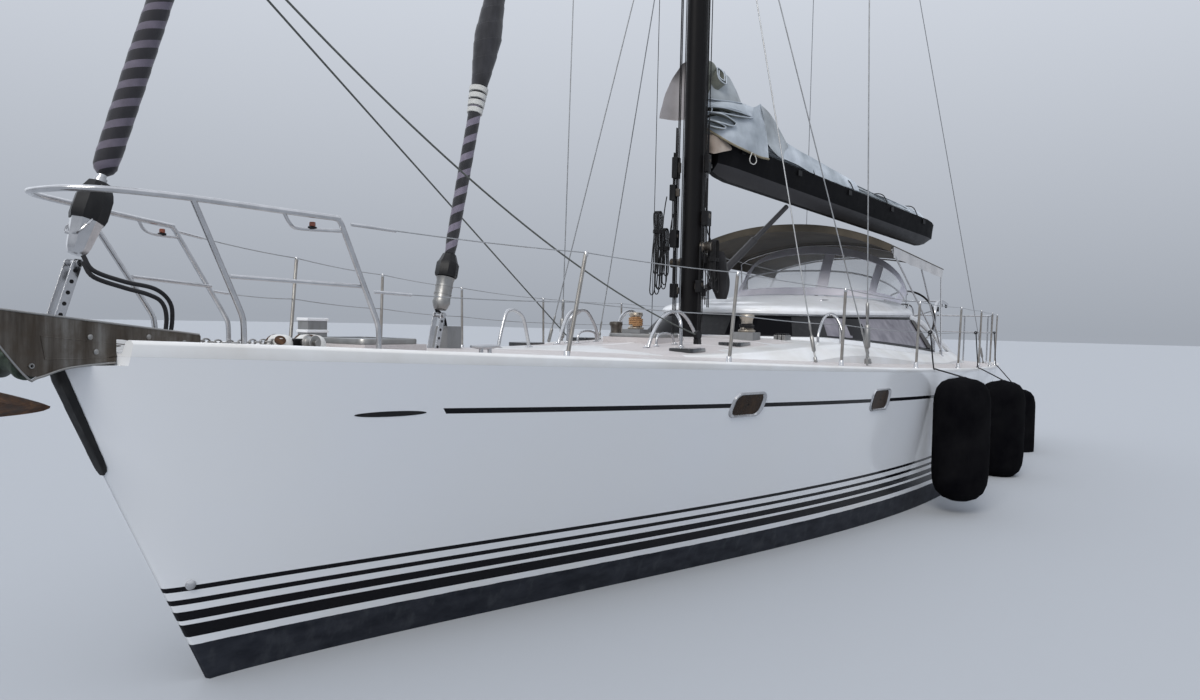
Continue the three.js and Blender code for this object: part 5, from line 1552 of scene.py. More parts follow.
def make_headsails():
    rolled(
        *GENOA, [
            (2.685, 0.020), (2.70, 0.044), (2.73, 0.058), (2.80, 0.062), (4, 0.064), (12, 0.072),
            (21.5, 0.048), (23.1, 0.026)
        ],
        "genoa", "rolled_genoa", "furled_genoa", "genoa_furler", 0.105, 900,
    )
    rolled(
        *STAYSAIL,
        [
            (2.505, 0.038), (2.60, 0.046), (3.62, 0.050), (3.80, 0.062), (4.0, 0.088), (4.2, 0.108),
            (4.32, 0.098), (4.5, 0.084), (5.6, 0.078), (5.9, 0.062), (12, 0.058), (18, 0.040), (18.9, 0.022)
        ],
        "staysail", "rolled_staysail", "furled_staysail", "staysail_furler", 0.135, 700,
    )
    wraps = Part()
    for z, wide in ((3.60, 0.058), (3.655, 0.063), (3.71, 0.066), (3.765, 0.070)):
        wraps.add(stack(*STAYSAIL, [
            (z - 0.021, wide - 0.016), (z - 0.018, wide), (z + 0.018, wide + 0.002),
            (z + 0.021, wide - 0.016)
        ]))
    wraps.object("staysail_wraps", "white_rope", "staysail_furler", slot="headsail_cloth", angle=50)
    drum = Part()
    drum.add(stack(*GENOA, [
        (2.29, 0.02), (2.292, 0.040), (2.31, 0.050), (2.33, 0.056), (2.44, 0.074), (2.455, 0.078),
        (2.460, 0.03)
    ], 8), 0)
    drum.add(stack(*GENOA, [
        (2.45, 0.03), (2.452, 0.082), (2.475, 0.089), (2.57, 0.087), (2.60, 0.078), (2.645, 0.054),
        (2.65, 0.02)
    ], 8), 1)
    drum.add(tube(d_ring(), 40, 0.006, 8), 0)
    drum.add(stack(*GENOA, [
        (2.62, 0.012), (2.622, 0.030), (2.668, 0.030), (2.672, 0.022), (2.70, 0.022), (2.702, 0.012)
    ]), 0)
    drum.object(
        "genoa_drum_body", ["steel", "drum_cap"], "genoa_furler",
        replaces="genoa_drum", slot="polished_steel", angle=35,
    )
    drum = Part()
    drum.add(stack(*STAYSAIL, [
        (2.090, 0.02), (2.092, 0.046), (2.105, 0.052), (2.14, 0.066), (2.16, 0.062), (2.30, 0.062),
        (2.322, 0.069), (2.335, 0.03)
    ]), 0)
    drum.add(stack(*STAYSAIL, [
        (2.325, 0.03), (2.328, 0.078), (2.345, 0.084), (2.425, 0.083), (2.445, 0.070), (2.498, 0.049),
        (2.50, 0.02)
    ], 8), 1)
    for z in (2.20, 2.26):
        drum.add(stack(
            *STAYSAIL, [(z - 0.005, 0.058), (z - 0.004, 0.0655), (z + 0.004, 0.0655), (z + 0.005, 0.058)]
        ), 0)
    drum.object(
        "staysail_drum_body", ["dull_steel", "drum_cap"], "staysail_furler",
        replaces="staysail_drum", slot="polished_steel", angle=35,
    )
    for name, (foot, head), low, high in (
        ("genoa", GENOA, 1.952, 2.262), ("staysail", STAYSAIL, 1.700, 2.062)
    ):
        link = Part()
        a, b = stay_at(foot, head, low), stay_at(foot, head, high)
        for y in (-0.034, 0.034):
            outline = [
                (0.026, 0.0), (0.026, 1.0), (0.018, 1.02), (-0.018, 1.02), (-0.026, 1.0), (-0.026, 0.0),
                (-0.018, -0.02), (0.018, -0.02)
            ]
            place = lambda u, v, w, y=y: (lerp(a.x, b.x, v) + u, y - 0.004 + w, lerp(a.z, b.z, v))
            link.add(plate(outline, 0.008, place))
        for at in (a + Vector((0, 0, 0.012)), b - Vector((0, 0, 0.014))):
            link.add(lathe([
                (0, -0.05), (0.018, -0.05), (0.018, -0.04), (0.0135, -0.039), (0.0135, 0.039),
                (0.018, 0.04), (0.018, 0.05), (0, 0.05)
            ], at, (0, 1, 0), 16))
        link.object(
            f"{name}_link", "steel", replaces=f"{name}_tack_link", slot="polished_steel", angle=35,
            bevel=0.0015
        )
        holes = Part()
        for y in (-0.0392, 0.0392):
            for k in range(5):
                at = a.lerp(b, 0.16 + 0.17 * k)
                holes.add(cylinder(0.010, 0.0006, (at.x, y, at.z), (0, 1, 0), 14))
        holes.object(f"{name}_link_holes", "black_plastic", slot="polished_steel")


# Boom


def boom_frame(x, y, z):
    """A point given aft, to port and up from the gooseneck, in the boom's own frame as it lies."""
    c, s = math.cos(BOOM_TURN), math.sin(BOOM_TURN)
    return (GOOSENECK.x - x * c - y * s, GOOSENECK.y - x * s + y * c, GOOSENECK.z + z)


def in_boom(made):
    points, faces = made
    return [boom_frame(-p[0], p[1], p[2]) for p in points], faces


def boom_low(r):
    return -BOOM_DROOP * r


def make_boom():
    boom = Part()
    rings = []
    table = [
        (0.06, 0.06, 0.05, 0.11, 0.14), (0.20, 0.022, 0.057, 0.135, 0.17), (0.42, 0.0, 0.06, 0.15, 0.19),
        (6.40, 0.0, 0.06, 0.15, 0.19), (6.62, 0.05, 0.056, 0.138, 0.175), (6.75, 0.11, 0.05, 0.12, 0.15)
    ]
    for r, lift, low, middle, top in table:
        z = boom_low(r)
        high = z + BOOM_HEIGHT - lift * 0.3
        half = [
            (low * 0.7, z + lift), (low, z + lift + 0.012), (lerp(low, middle, 0.5), z + 0.08 + lift * 0.5),
            (middle, z + 0.15), (lerp(middle, top, 0.4), z + 0.27),
            (top - 0.004, high - 0.03), (top, high - 0.012), (top - 0.008, high),
            (top - 0.05, high - 0.004), (top - 0.06, high - 0.05),
        ]
        ring = [(-r, y, v) for y, v in half] + [(-r, -y, v) for y, v in reversed(half)]
        rings.append(ring)
    made = in_boom(loft(rings))
    boom.add(made)
    m = len(rings[0])
    strip_faces = {i * m + j for i in range(len(rings) - 1) for j in (0, 1, 2, m - 2, m - 3, m - 4)}
    for index in strip_faces:
        boom.slots[index] = 1
    boom.object(
        "fine_boom", ["boom", "boom_strip"], "boom", replaces="boom", slot="boom_paint", angle=28,
        bevel=0.004
    )
    trim = Part()
    for y in (0.193, -0.193):
        for r in (0.5, 1.9, 3.4, 4.9, 6.2):
            trim.add(in_boom(box(
                (-r - 0.05, min(y, y * 1.03), boom_low(r) + 0.33),
                (-r + 0.05, max(y, y * 1.03), boom_low(r) + 0.40)
            )))
    trim.add(in_boom(box((-0.2, -0.035, 0.09), (-0.02, 0.035, 0.34))))
    trim.add(in_boom(lathe([(0, 0.08), (0.034, 0.08), (0.034, 0.35), (0, 0.35)], (0, 0, 0), sides=18)))
    trim.object("boom_fittings", "black_plastic", "boom", slot="boom_paint", bevel=0.004)
    vang = Part()
    low, high = Vector((0, 0, 2.40 - 3.76)), Vector((-1.98, 0, boom_low(1.98) - 0.012))
    at = lambda t: low.lerp(high, t)
    vang.add(in_boom(pipe([at(0.05), at(0.1), at(0.55)], [0.040, 0.046, 0.046], 20)))
    vang.add(in_boom(pipe([at(0.5), at(0.965)], 0.032, 20)))
    vang.add(in_boom(pipe([at(0.545), at(0.56)], 0.049, 20)))
    vang.add(in_boom(bar((0, 0, low.z - 0.044), (0, 0, low.z + 0.044), 0.033, 16)))
    vang.add(in_boom(bar(at(0.01), at(0.08), 0.021, 12)))
    vang.object("fine_vang", "boom_strip", "boom", replaces="boom_vang", slot="boom_paint", angle=40)


make_mast()
make_shrouds()
make_backstay()
make_headsails()
make_boom()


# Mainsail, flaked on the boom

# Columns: distance aft of the gooseneck, height above the boom, half width low and high.
FLAKE_TABLE = [
    (0.04, 0.60, 0.155, 0.10), (0.26, 0.62, 0.17, 0.11), (0.62, 0.52, 0.17, 0.10),
    (1.05, 0.35, 0.165, 0.09),
    (1.5, 0.22, 0.175, 0.10), (2.2, 0.17, 0.175, 0.095), (3.6, 0.13, 0.165, 0.09), (5.2, 0.11, 0.155, 0.08),
    (6.35, 0.09, 0.14, 0.07),
]
FLAKES = 31
# Smooth pieces of the sail's head, as rows of points: aft of the gooseneck, to port, above the boom's axis.
HEAD_FLAP = [
    [(-0.07, 0.06, 0.66), (0.19, 0.14, 0.74), (0.49, 0.17, 0.83), (0.76, 0.17, 0.92), (0.89, 0.17, 0.98)],
    [(-0.1, 0.07, 0.6), (0.14, 0.19, 0.6), (0.43, 0.21, 0.67), (0.74, 0.2, 0.74), (0.95, 0.19, 0.79)],
    [(-0.12, 0.07, 0.55), (0.12, 0.22, 0.48), (0.42, 0.25, 0.47), (0.75, 0.23, 0.51), (0.99, 0.21, 0.59)],
    [(-0.15, 0.08, 0.51), (0.14, 0.22, 0.38), (0.54, 0.24, 0.33), (0.79, 0.24, 0.31), (1.01, 0.23, 0.32)],
]
AFT_FLAP = [
    [(0.88, 0.165, 0.985), (1.12, 0.14, 0.94), (1.32, 0.13, 0.85), (1.51, 0.13, 0.72), (1.67, 0.13, 0.59)],
    [(0.90, 0.20, 0.87), (1.09, 0.19, 0.81), (1.24, 0.18, 0.72), (1.40, 0.18, 0.62), (1.53, 0.18, 0.52)],
    [(0.95, 0.20, 0.74), (1.03, 0.21, 0.66), (1.15, 0.21, 0.58), (1.27, 0.21, 0.51), (1.44, 0.20, 0.44)],
    [(0.99, 0.20, 0.55), (1.04, 0.22, 0.48), (1.16, 0.22, 0.43), (1.30, 0.21, 0.40), (1.44, 0.21, 0.37)],
]
UPPER_LAYER = [
    [(0.07, 0.05, 1.23), (0.3, 0.07, 1.21), (0.42, 0.09, 1.09), (0.52, 0.12, 0.95)],
    [(-0.06, 0.06, 0.99), (0.1, 0.12, 1.01), (0.26, 0.14, 0.98), (0.49, 0.14, 0.93)],
    [(-0.1, 0.02, 0.88), (-0.02, 0.12, 0.86), (0.19, 0.16, 0.88), (0.48, 0.16, 0.91)],
]
LOWER_LAYER = [
    [(-0.08, -0.02, 0.88), (0.1, 0.12, 0.88), (0.4, 0.15, 0.91), (0.73, 0.16, 0.91)],
    [(-0.11, 0, 0.83), (0.04, 0.16, 0.83), (0.34, 0.19, 0.85), (0.67, 0.2, 0.85)],
    [(-0.11, 0, 0.8), (-0.01, 0.17, 0.78), (0.29, 0.21, 0.79), (0.63, 0.21, 0.78)],
]
STARBOARD_FLAP = [
    [
        (0.30, -0.06, 1.24), (0.10, -0.12, 1.30), (-0.17, -0.13, 1.32), (-0.22, -0.16, 1.30),
        (-0.28, -0.19, 1.26)
    ],
    [
        (0.40, -0.14, 1.06), (0.15, -0.18, 1.10), (-0.13, -0.15, 1.10), (-0.21, -0.25, 1.10),
        (-0.32, -0.31, 1.07)
    ],
    [
        (0.45, -0.20, 0.86), (0.20, -0.22, 0.88), (-0.10, -0.16, 0.88), (-0.22, -0.29, 0.86),
        (-0.38, -0.36, 0.87)
    ],
    [
        (0.50, -0.22, 0.66), (0.22, -0.24, 0.66), (-0.09, -0.16, 0.66), (-0.20, -0.31, 0.64),
        (-0.41, -0.40, 0.64)
    ],
]
STARBOARD_SIDE = [
    [(0.10, -0.05, 1.28), (0.50, -0.02, 1.00), (0.90, 0.02, 0.96), (1.40, 0.0, 0.78), (2.0, 0.0, 0.58)],
    [
        (0.20, -0.22, 0.95), (0.52, -0.20, 0.85), (0.92, -0.17, 0.76), (1.40, -0.15, 0.62),
        (2.0, -0.12, 0.46)
    ],
    [
        (0.05, -0.26, 0.62), (0.55, -0.25, 0.58), (0.95, -0.22, 0.50), (1.40, -0.19, 0.43),
        (2.0, -0.17, 0.33)
    ],
]
FAR_CLOTH = [
    [(1.50, 0.10, 0.68), (1.91, 0.10, 0.61), (2.41, 0.09, 0.56), (2.97, 0.08, 0.50), (3.8, 0.06, 0.42)],
    [(1.46, 0.18, 0.51), (1.79, 0.17, 0.48), (2.30, 0.15, 0.43), (2.86, 0.14, 0.40), (3.8, 0.13, 0.32)],
    [(1.45, 0.20, 0.39), (1.79, 0.20, 0.37), (2.23, 0.19, 0.32), (2.78, 0.18, 0.29), (3.8, 0.165, 0.20)],
]
BROWN_FOLDS = [
    [(-0.09, 0.04, 0.46), (-0.05, 0.12, 0.47), (0.06, 0.16, 0.42), (0.23, 0.18, 0.36)],
    [(-0.12, 0.06, 0.37), (-0.09, 0.15, 0.35), (0.06, 0.18, 0.32), (0.24, 0.19, 0.33)],
    [(-0.09, 0.06, 0.26), (-0.08, 0.15, 0.23), (0.06, 0.18, 0.27), (0.22, 0.19, 0.31)],
]
# Folds seen end on: closed outlines of thick cloth.
FOLD_ENDS = [
    [
        (-0.12, 0.02, 0.77), (-0.01, 0.17, 0.77), (0.25, 0.22, 0.77), (0.59, 0.22, 0.77),
        (0.64, 0.22, 0.76), (0.33, 0.23, 0.72), (-0.01, 0.2, 0.7), (-0.14, 0.04, 0.72)
    ],
    [
        (-0.12, 0.04, 0.7), (-0.03, 0.2, 0.69), (0.14, 0.24, 0.65), (0.23, 0.24, 0.62), (0.17, 0.24, 0.58),
        (-0.04, 0.22, 0.58), (-0.13, 0.06, 0.64)
    ],
    [
        (-0.13, 0.06, 0.62), (-0.1, 0.18, 0.59), (0.01, 0.22, 0.56), (0.03, 0.22, 0.53), (-0.11, 0.2, 0.52),
        (-0.16, 0.08, 0.56)
    ],
    [(-0.11, 0, 0.79), (-0.08, 0.08, 0.78), (-0.07, 0.1, 0.74), (-0.1, 0.08, 0.69), (-0.13, 0.02, 0.69)],
]
FOLD_RUN = (0.26, -0.22, -0.01)
ROLL_END = (0.045, 0.14, 1.155)
ROLL_RUN = np.array([0.04, -0.88, -0.46])
ROLL_LONG = 0.28
ROLL_TURNS = 1.8


def flake_rows():
    table = np.array(FLAKE_TABLE)
    random = np.random.default_rng(7)
    weights = random.uniform(0.6, 1.5, FLAKES)
    lifts = np.concatenate([[0], np.cumsum(weights / weights.sum())])
    swing = random.uniform(0, 2 * math.pi, (FLAKES, 3))
    rows = []
    for r in np.linspace(0.05, 6.34, 110):
        height, low, high = [np.interp(r, table[:, 0], table[:, k]) for k in (1, 2, 3)]
        base = boom_low(r) + BOOM_HEIGHT + 0.004
        loose = clamp((1.9 - r) / 1.2, 0.18, 0.5)
        row = []
        for i in range(FLAKES):
            middle = (lifts[i] + lifts[i + 1]) / 2
            width = lerp(low, high, middle) * (1 + 0.2 * loose * math.sin(2.1 * r + swing[i, 0]))
            shift = 0.05 * loose * math.sin(1.6 * r + swing[i, 1])
            droop = 0.05 * loose * (1 + math.sin(2.7 * r + swing[i, 2]))
            way = 1 if i % 2 == 0 else -1
            z = base + height * middle
            thick = height * (lifts[i + 1] - lifts[i])
            for t, rise in (
                (-1.0, -0.5), (-0.93, -0.1), (-0.55, 0.0), (0.0, 0.1), (0.55, 0.0), (0.93, 0.1), (1.0, 0.5)
            ):
                sag = droop * abs(t) ** 3 * clamp(middle * 3)
                row.append((-r, shift * (1 - abs(t)) + way * width * t, z + rise * thick - sag))
        rows.append(row)
    return rows


def forwards(line):
    """Points counted towards the bow, from points counted aft."""
    return [(-r, y, z) for r, y, z in line]


def sail_piece(rows, across=30, down=22, soft=0.006, phase=0.0):
    """A smooth piece of cloth through rows of points, with faint creases."""
    lines = [spline(row, across) for row in rows]
    columns = [spline([line[j] for line in lines], down) for j in range(across)]
    made = []
    for i in range(down):
        row = []
        for j in range(across):
            r, y, z = columns[j][i]
            crease = soft * math.sin(9 * r + 14 * z + phase) * math.sin(17 * z - 5 * r + 2 * phase)
            row.append((-r, y + crease, z))
        made.append(row)
    return made


def fold_end(outline, soft=0.008):
    """A fold of thick cloth seen end on: its rounded edge, and its walls running inwards."""
    ring = spline(forwards(outline), 60, closed=True)
    run = np.array([-FOLD_RUN[0], FOLD_RUN[1], FOLD_RUN[2]])
    walls = [[p + run * t * (1 + soft * k % 3) for k, p in enumerate(ring)] for t in np.linspace(0, 1, 8)]
    return pipe(ring, 0.0075, 8, closed=True), grid(walls, close_columns=True)


def sail_roll():
    """The sail's head rolled up across the boom, its open end to port."""
    up = np.array([0.08, -0.44, 0.90])
    along = np.array([1.0, 0.0, 0.05])
    rows = []
    for depth in np.linspace(0, ROLL_LONG, 12):
        row = []
        for t in np.linspace(0, 1, 110):
            angle = math.radians(100) + ROLL_TURNS * 2 * math.pi * t
            radius = lerp(0.052, 0.118, t) * (1 + 0.10 * depth / ROLL_LONG)
            p = np.array(ROLL_END) + ROLL_RUN * depth
            p = p + along * radius * math.cos(angle) * 0.84 + up * radius * math.sin(angle) * 1.16
            row.append((-p[0], p[1] + 0.008 * math.sin(3 * angle + 9 * depth), p[2]))
        rows.append(row)
    return rows


def make_mainsail():
    sail, rope = Part(), Part()
    sail.add(in_boom(grid(flake_rows())), 0)
    roll = sail_roll()
    # The rolled head is in the dark olive cloth: painted shade in its turns.
    sail.add(in_boom(grid(roll)), 1)
    # The roll's end edge is in the pale cloth: painted light.
    rope.add(in_boom(pipe(roll[0], 0.0075, 8)), 3)
    # Pieces in slot 2 take the pale cloth, painted light; slot 0 is the plain cloth.
    pieces = [
        (HEAD_FLAP, 2, 0.3), (AFT_FLAP, 0, 1.1), (UPPER_LAYER, 0, 2.0), (LOWER_LAYER, 2, 0.7),
        (STARBOARD_FLAP, 4, 1.6),
        (STARBOARD_SIDE, 0, 2.4), (FAR_CLOTH, 2, 0.1), (BROWN_FOLDS, 3, 0.5),
    ]
    for rows, slot, phase in pieces:
        sail.add(in_boom(grid(sail_piece(rows, phase=phase))), slot)
    for outline in FOLD_ENDS:
        edge, walls = fold_end(outline)
        # The fold walls are in the dark olive cloth: painted shade inside the folds.
        sail.add(in_boom(walls), 1)
        # The folds' rounded edges are in the pale cloth: painted light.
        rope.add(in_boom(edge), 3)
    # The bump over the roll is in the dark olive cloth: painted shade.
    bump = forwards(((-0.16, 0.0, 1.16), (-0.10, 0.02, 1.22), (-0.03, 0.02, 1.22), (0.02, 0.0, 1.16)))
    sail.add(in_boom(tube(bump, 20, 0.085, 16)), 1)
    far = [
        [(4.6, 0.05, 0.32), (5.4, 0.05, 0.29), (6.3, 0.04, 0.25)],
        [(4.6, 0.11, 0.26), (5.4, 0.10, 0.23), (6.33, 0.10, 0.18)],
        [(4.6, 0.14, 0.19), (5.4, 0.14, 0.16), (6.35, 0.13, 0.13)],
    ]
    # The far patch is in the pale cloth: painted light.
    sail.add(in_boom(grid(sail_piece(far))), 2)
    cloths = ["mainsail", "mainsail_painted_shade", "mainsail_painted_light", "mainsail_brown", "mainsail_beige"]
    flaked = sail.object(
        "flaked_mainsail", cloths, "boom", replaces="furled_mainsail", slot="mainsail_cloth", angle=70
    )
    hem = [(-r, y + 0.004, z) for r, y, z in HEAD_FLAP[-1]]
    rope.add(in_boom(tube(hem, 40, 0.013, 8)), 0)
    # These edge lines are in the pale cloth: painted light.
    rope.add(in_boom(tube(forwards(row[-1] for row in HEAD_FLAP), 30, 0.006, 6)), 3)
    rope.add(in_boom(tube(forwards(UPPER_LAYER[-1]), 30, 0.007, 6)), 3)
    rope.add(in_boom(tube(forwards(LOWER_LAYER[-1]), 30, 0.007, 6)), 3)
    loop = [
        (-0.58, 0.255, 0.335), (-0.52, 0.262, 0.24), (-0.55, 0.265, 0.20), (-0.63, 0.262, 0.20),
        (-0.68, 0.26, 0.25), (-0.64, 0.255, 0.325)
    ]
    rope.add(in_boom(tube(loop, 30, 0.006, 6)), 1)
    for r in (2.3, 3.5, 4.7, 5.9):
        lift = -0.05 * r
        band = [
            (-r, y, z + lift)
            for y, z in ((-0.206, 0.40), (-0.126, 0.55), (0, 0.585), (0.126, 0.55), (0.206, 0.40))
        ]
        rope.add(in_boom(tube(band, 20, 0.008, 6)), 2)
    ties = ["mainsail_hem", "white_rope", "black_rope", "mainsail_painted_light"]
    rope.object("sail_ties", ties, "boom", slot="mainsail_cloth", angle=60)


# Sprayhood and bimini


def hood_point(s, angle):
    """From the foot (s 0) to the aft bow (s 1), by the angle round it in degrees, starboard negative."""
    a = math.radians(angle)
    across, up = math.sin(a), math.cos(a)
    wide = math.copysign(abs(across) ** 0.8, across)
    foot = np.array([-3.83 + 1.62 * up**0.42, 1.29 * wide, 2.395 + 0.115 * up**0.6])
    bow = np.array([-3.84 + 0.76 * up**0.5, 1.31 * across, 2.41 + 0.88 * up**0.62])
    bulge = 0.06 * math.sin(math.pi * s) * up
    crease = 0.006 * math.sin(9 * s + angle * 0.11) * math.sin(math.pi * s)
    point = lerp(foot, bow, s)
    return (point[0] + bulge + crease, point[1], point[2] + crease * 0.5)


HOOD_STRAPS = [-50, 12, 50]
HOOD_EDGE = 86
CLEAR_LOW = 0.12
CLEAR_HIGH = 0.83
CLEAR_EDGE = 78
STRAP_HALF = 3.2


def hood_seam(heights, angles, off, radius, sides=6):
    """A tube along the hood, moved off its cloth; one of heights and angles is a single number."""
    lines = np.broadcast(heights, angles)
    return pipe([np.array(hood_point(s, a)) + np.array(off) for s, a in lines], radius, sides)


def make_sprayhood():
    angles = np.linspace(-HOOD_EDGE, HOOD_EDGE, 173)
    heights = np.linspace(0, 1, 33)
    from_strap = lambda a: min(abs(a - strap) for strap in HOOD_STRAPS)
    clear = lambda s, a: CLEAR_LOW < s < CLEAR_HIGH and abs(a) < CLEAR_EDGE and from_strap(a) > STRAP_HALF
    cloth_part = Part()
    points = [hood_point(s, a) for s in heights for a in angles]
    cloth_faces, clear_faces = [], []
    n = len(angles)
    for i in range(len(heights) - 1):
        for j in range(n - 1):
            middle = ((heights[i] + heights[i + 1]) / 2, (angles[j] + angles[j + 1]) / 2)
            face = (i * n + j, i * n + j + 1, (i + 1) * n + j + 1, (i + 1) * n + j)
            (clear_faces if clear(*middle) else cloth_faces).append(face)
    cloth_part.add((points, cloth_faces), 0)
    cloth_part.add((points, clear_faces), 1)
    hood = cloth_part.object(
        "sprayhood_cloth", ["hood", "vinyl"], replaces="sprayhood", slot="sprayhood_cloth", angle=70
    )
    bows, seams = Part(), Part()
    for s in (0.995, 0.5):
        bows.add(hood_seam(s, np.linspace(-HOOD_EDGE, HOOD_EDGE, 60), (-0.02, 0, -0.018), 0.013, 8))
    bows.both(bar((-3.72, 1.28, 2.28), (-3.80, 1.30, 2.42), 0.016, 10))
    bows.object("sprayhood_bows", "steel", slot="polished_steel", angle=60)
    for s in (CLEAR_LOW, CLEAR_HIGH):
        seams.add(hood_seam(s, np.linspace(-84, 84, 90), (0.003, 0, 0.002), 0.005))
    for strap in HOOD_STRAPS:
        for edge in (strap - STRAP_HALF, strap + STRAP_HALF):
            seams.add(hood_seam(np.linspace(CLEAR_LOW, CLEAR_HIGH, 16), edge, (0.003, 0, 0.002), 0.004))
    seams.add(hood_seam(0.0, np.linspace(-HOOD_EDGE, HOOD_EDGE, 90), (0.004, 0, -0.004), 0.011, 8))
    seams.object("sprayhood_seams", "hood", slot="sprayhood_cloth", angle=60)


BIMINI = {"x0": -1.70, "x1": -5.60, "half": 1.50}
BOW_PLACES = (-1.76, -3.70, -5.54)


def canopy_z(x, y):
    t = (x - BIMINI["x0"]) / (BIMINI["x1"] - BIMINI["x0"])
    return lerp(3.49, 3.30, t) - lerp(0.33, 0.23, t) * (abs(y) / BIMINI["half"]) ** 2.2


def canopy_sag(x, y):
    """How far the cloth hangs between its bows."""
    between = min(abs(x - place) for place in BOW_PLACES)
    return 0.022 * clamp(between / 0.9) * math.cos(0.9 * y)


def make_bimini():
    rows = []
    for x in np.linspace(BIMINI["x0"], BIMINI["x1"], 80):
        row = []
        for y in np.linspace(-1.5, 1.5, 61):
            pucker = 0.004 * math.sin(26 * x + 3 * y) * clamp(abs(y) - 1.1) * 2
            row.append((x, y, canopy_z(x, y) - canopy_sag(x, y) + pucker))
        rows.append(row)
    top = Part().add(grid(rows), 0)
    for sign in (1, -1):
        valance = []
        for x in np.linspace(BIMINI["x0"] - 0.05, BIMINI["x1"] + 0.05, 70):
            wave = 0.012 * math.sin(7 * x)
            valance.append([(
                x, sign * (1.5 + wave * t), canopy_z(x, 1.5) - 0.012 * (1 - t) - 0.16 * t
            ) for t in np.linspace(0, 1, 7)])
        top.add(grid(valance), 0 if sign < 0 else 1)
    front = []
    for y in np.linspace(-1.48, 1.48, 60):
        front.append([(
            BIMINI["x0"] + 0.012 * math.sin(5 * y) * t, y, canopy_z(BIMINI["x0"], y) - 0.10 * t
        ) for t in np.linspace(0, 1, 5)])
    top.add(grid(front), 0)
    canopy = top.object(
        "bimini_cloth", ["bimini", "bimini_flap"], replaces="bimini", slot="bimini_cloth", angle=60
    )
    seams = Part()
    for x in (BIMINI["x0"], -3.62, -3.78, BIMINI["x1"]):
        seams.add(pipe([
            (x, y, canopy_z(x, y) + 0.001 - canopy_sag(x, y)) for y in np.linspace(-1.49, 1.49, 50)
        ], 0.005, 6))
    seams.both(pipe([
        (x, 1.498, canopy_z(x, 1.5) - 0.002) for x in np.linspace(BIMINI["x0"], BIMINI["x1"], 40)
    ], 0.007, 6))
    seams.object("bimini_seams", "bimini", slot="bimini_cloth", angle=60)
    frame_part = Part()
    foot = (-4.5, 1.69, 1.70)
    for x in BOW_PLACES:
        under = lambda y: canopy_z(x, y) - 0.036
        bow = [(x, y, under(y) - (0.02 if abs(y) > 1.4 else 0)) for y in np.linspace(-1.47, 1.47, 50)]
        frame_part.add(pipe(bow, 0.0125, 10))
        frame_part.both(bar(foot, (x, 1.47, canopy_z(x, 1.47) - 0.055), 0.0125, 10))
        frame_part.both(cylinder(0.02, 0.02, (x, 1.47, canopy_z(x, 1.47) - 0.055), (0, 1, 0), 12))
    frame_part.both(bar(foot, (foot[0], foot[1], 1.60), 0.022, 12))
    frame_part.both(lathe(
        [(0, 0), (0.045, 0), (0.045, 0.008), (0.024, 0.02), (0, 0.02)], (foot[0], foot[1], 1.60), sides=20
    ))
    frame_part.object("bimini_tubes", "steel", replaces="bimini_frame", slot="polished_steel", angle=60)


make_mainsail()
make_sprayhood()
make_bimini()


# Deck gear

RAIL_TUBE = 0.0155
PULPIT_RAIL = [
    (7.714, 0.694, 2.546), (8.005, 0.598, 2.557), (8.430, 0.448, 2.576), (8.720, 0.310, 2.584),
    (8.860, 0.170, 2.582), (8.895, 0.050, 2.579),
]
FORE_LEG = [
    (8.430, 0.448, 2.576), (8.25, 0.411, 2.295), (8.095, 0.380, 2.05), (8.062, 0.370, 1.98),
    (8.051, 0.365, 1.82)
]
AFT_LEG = [
    (7.745, 0.684, 2.548), (7.714, 0.692, 2.538), (7.686, 0.690, 2.500), (7.52, 0.667, 2.24),
    (7.375, 0.646, 2.015),
    (7.349, 0.643, 1.95), (7.343, 0.643, 1.82),
]
LAMP_BRACKET = [
    (8.005, 0.598, 2.548), (7.970, 0.600, 2.500), (7.916, 0.591, 2.479), (7.800, 0.640, 2.478),
    (7.680, 0.685, 2.482)
]
LAMP = (7.837, 0.623, 2.490)


def on_hand(path, sign):
    return [(x, sign * y, z) for x, y, z in path]


def foot_plate(part, x, y, z, radius=0.038):
    part.add(lathe([
        (0, 0), (radius, 0), (radius, 0.006), (radius * 0.55, 0.012), (radius * 0.5, 0.022), (0, 0.022)
    ], (x, y, z), sides=20))


def make_pulpit():
    part, lamps = Part(), Part()
    part.add(tube(mirrored_ring(PULPIT_RAIL), 70, RAIL_TUBE, 12))
    for sign in (1, -1):
        part.add(tube(on_hand(FORE_LEG, sign), 26, RAIL_TUBE, 12))
        part.add(tube(on_hand(AFT_LEG, sign), 30, RAIL_TUBE, 12))
        part.add(pipe(on_hand([(8.173, 0.400, 2.214), (7.473, 0.656, 2.193)], sign), 0.0115, 10))
        part.add(tube(on_hand(LAMP_BRACKET, sign), 24, 0.009, 8))
        for x, y in ((8.051, 0.365), (7.343, 0.643)):
            foot_plate(part, x, sign * y, deck_edge_z(x) - 0.012)
        x, y, z = LAMP
        lamps.add(
            box((x - 0.020, sign * y - 0.014, z - 0.010), (x + 0.020, sign * y + 0.014, z + 0.004)), 0
        )
        lamps.add(lathe([
            (0, 0), (0.015, 0), (0.017, 0.004), (0.016, 0.024), (0, 0.026)
        ], (x, sign * y, z + 0.004), sides=20), 1)
    part.object("fine_pulpit", "steel", replaces="pulpit", slot="polished_steel", angle=60)
    lamps.object("bow_lamps", ["black_plastic", "amber"], slot="roller_rubber", bevel=0.003)


def hose(name, path, radius=0.011):
    """A furling motor's hose, hanging from its drum to the deck."""
    line = spline(path, 40)
    part = Part().add(pipe(line, radius, 10))
    made = part.object(name, "boot", slot="roller_rubber", angle=60)


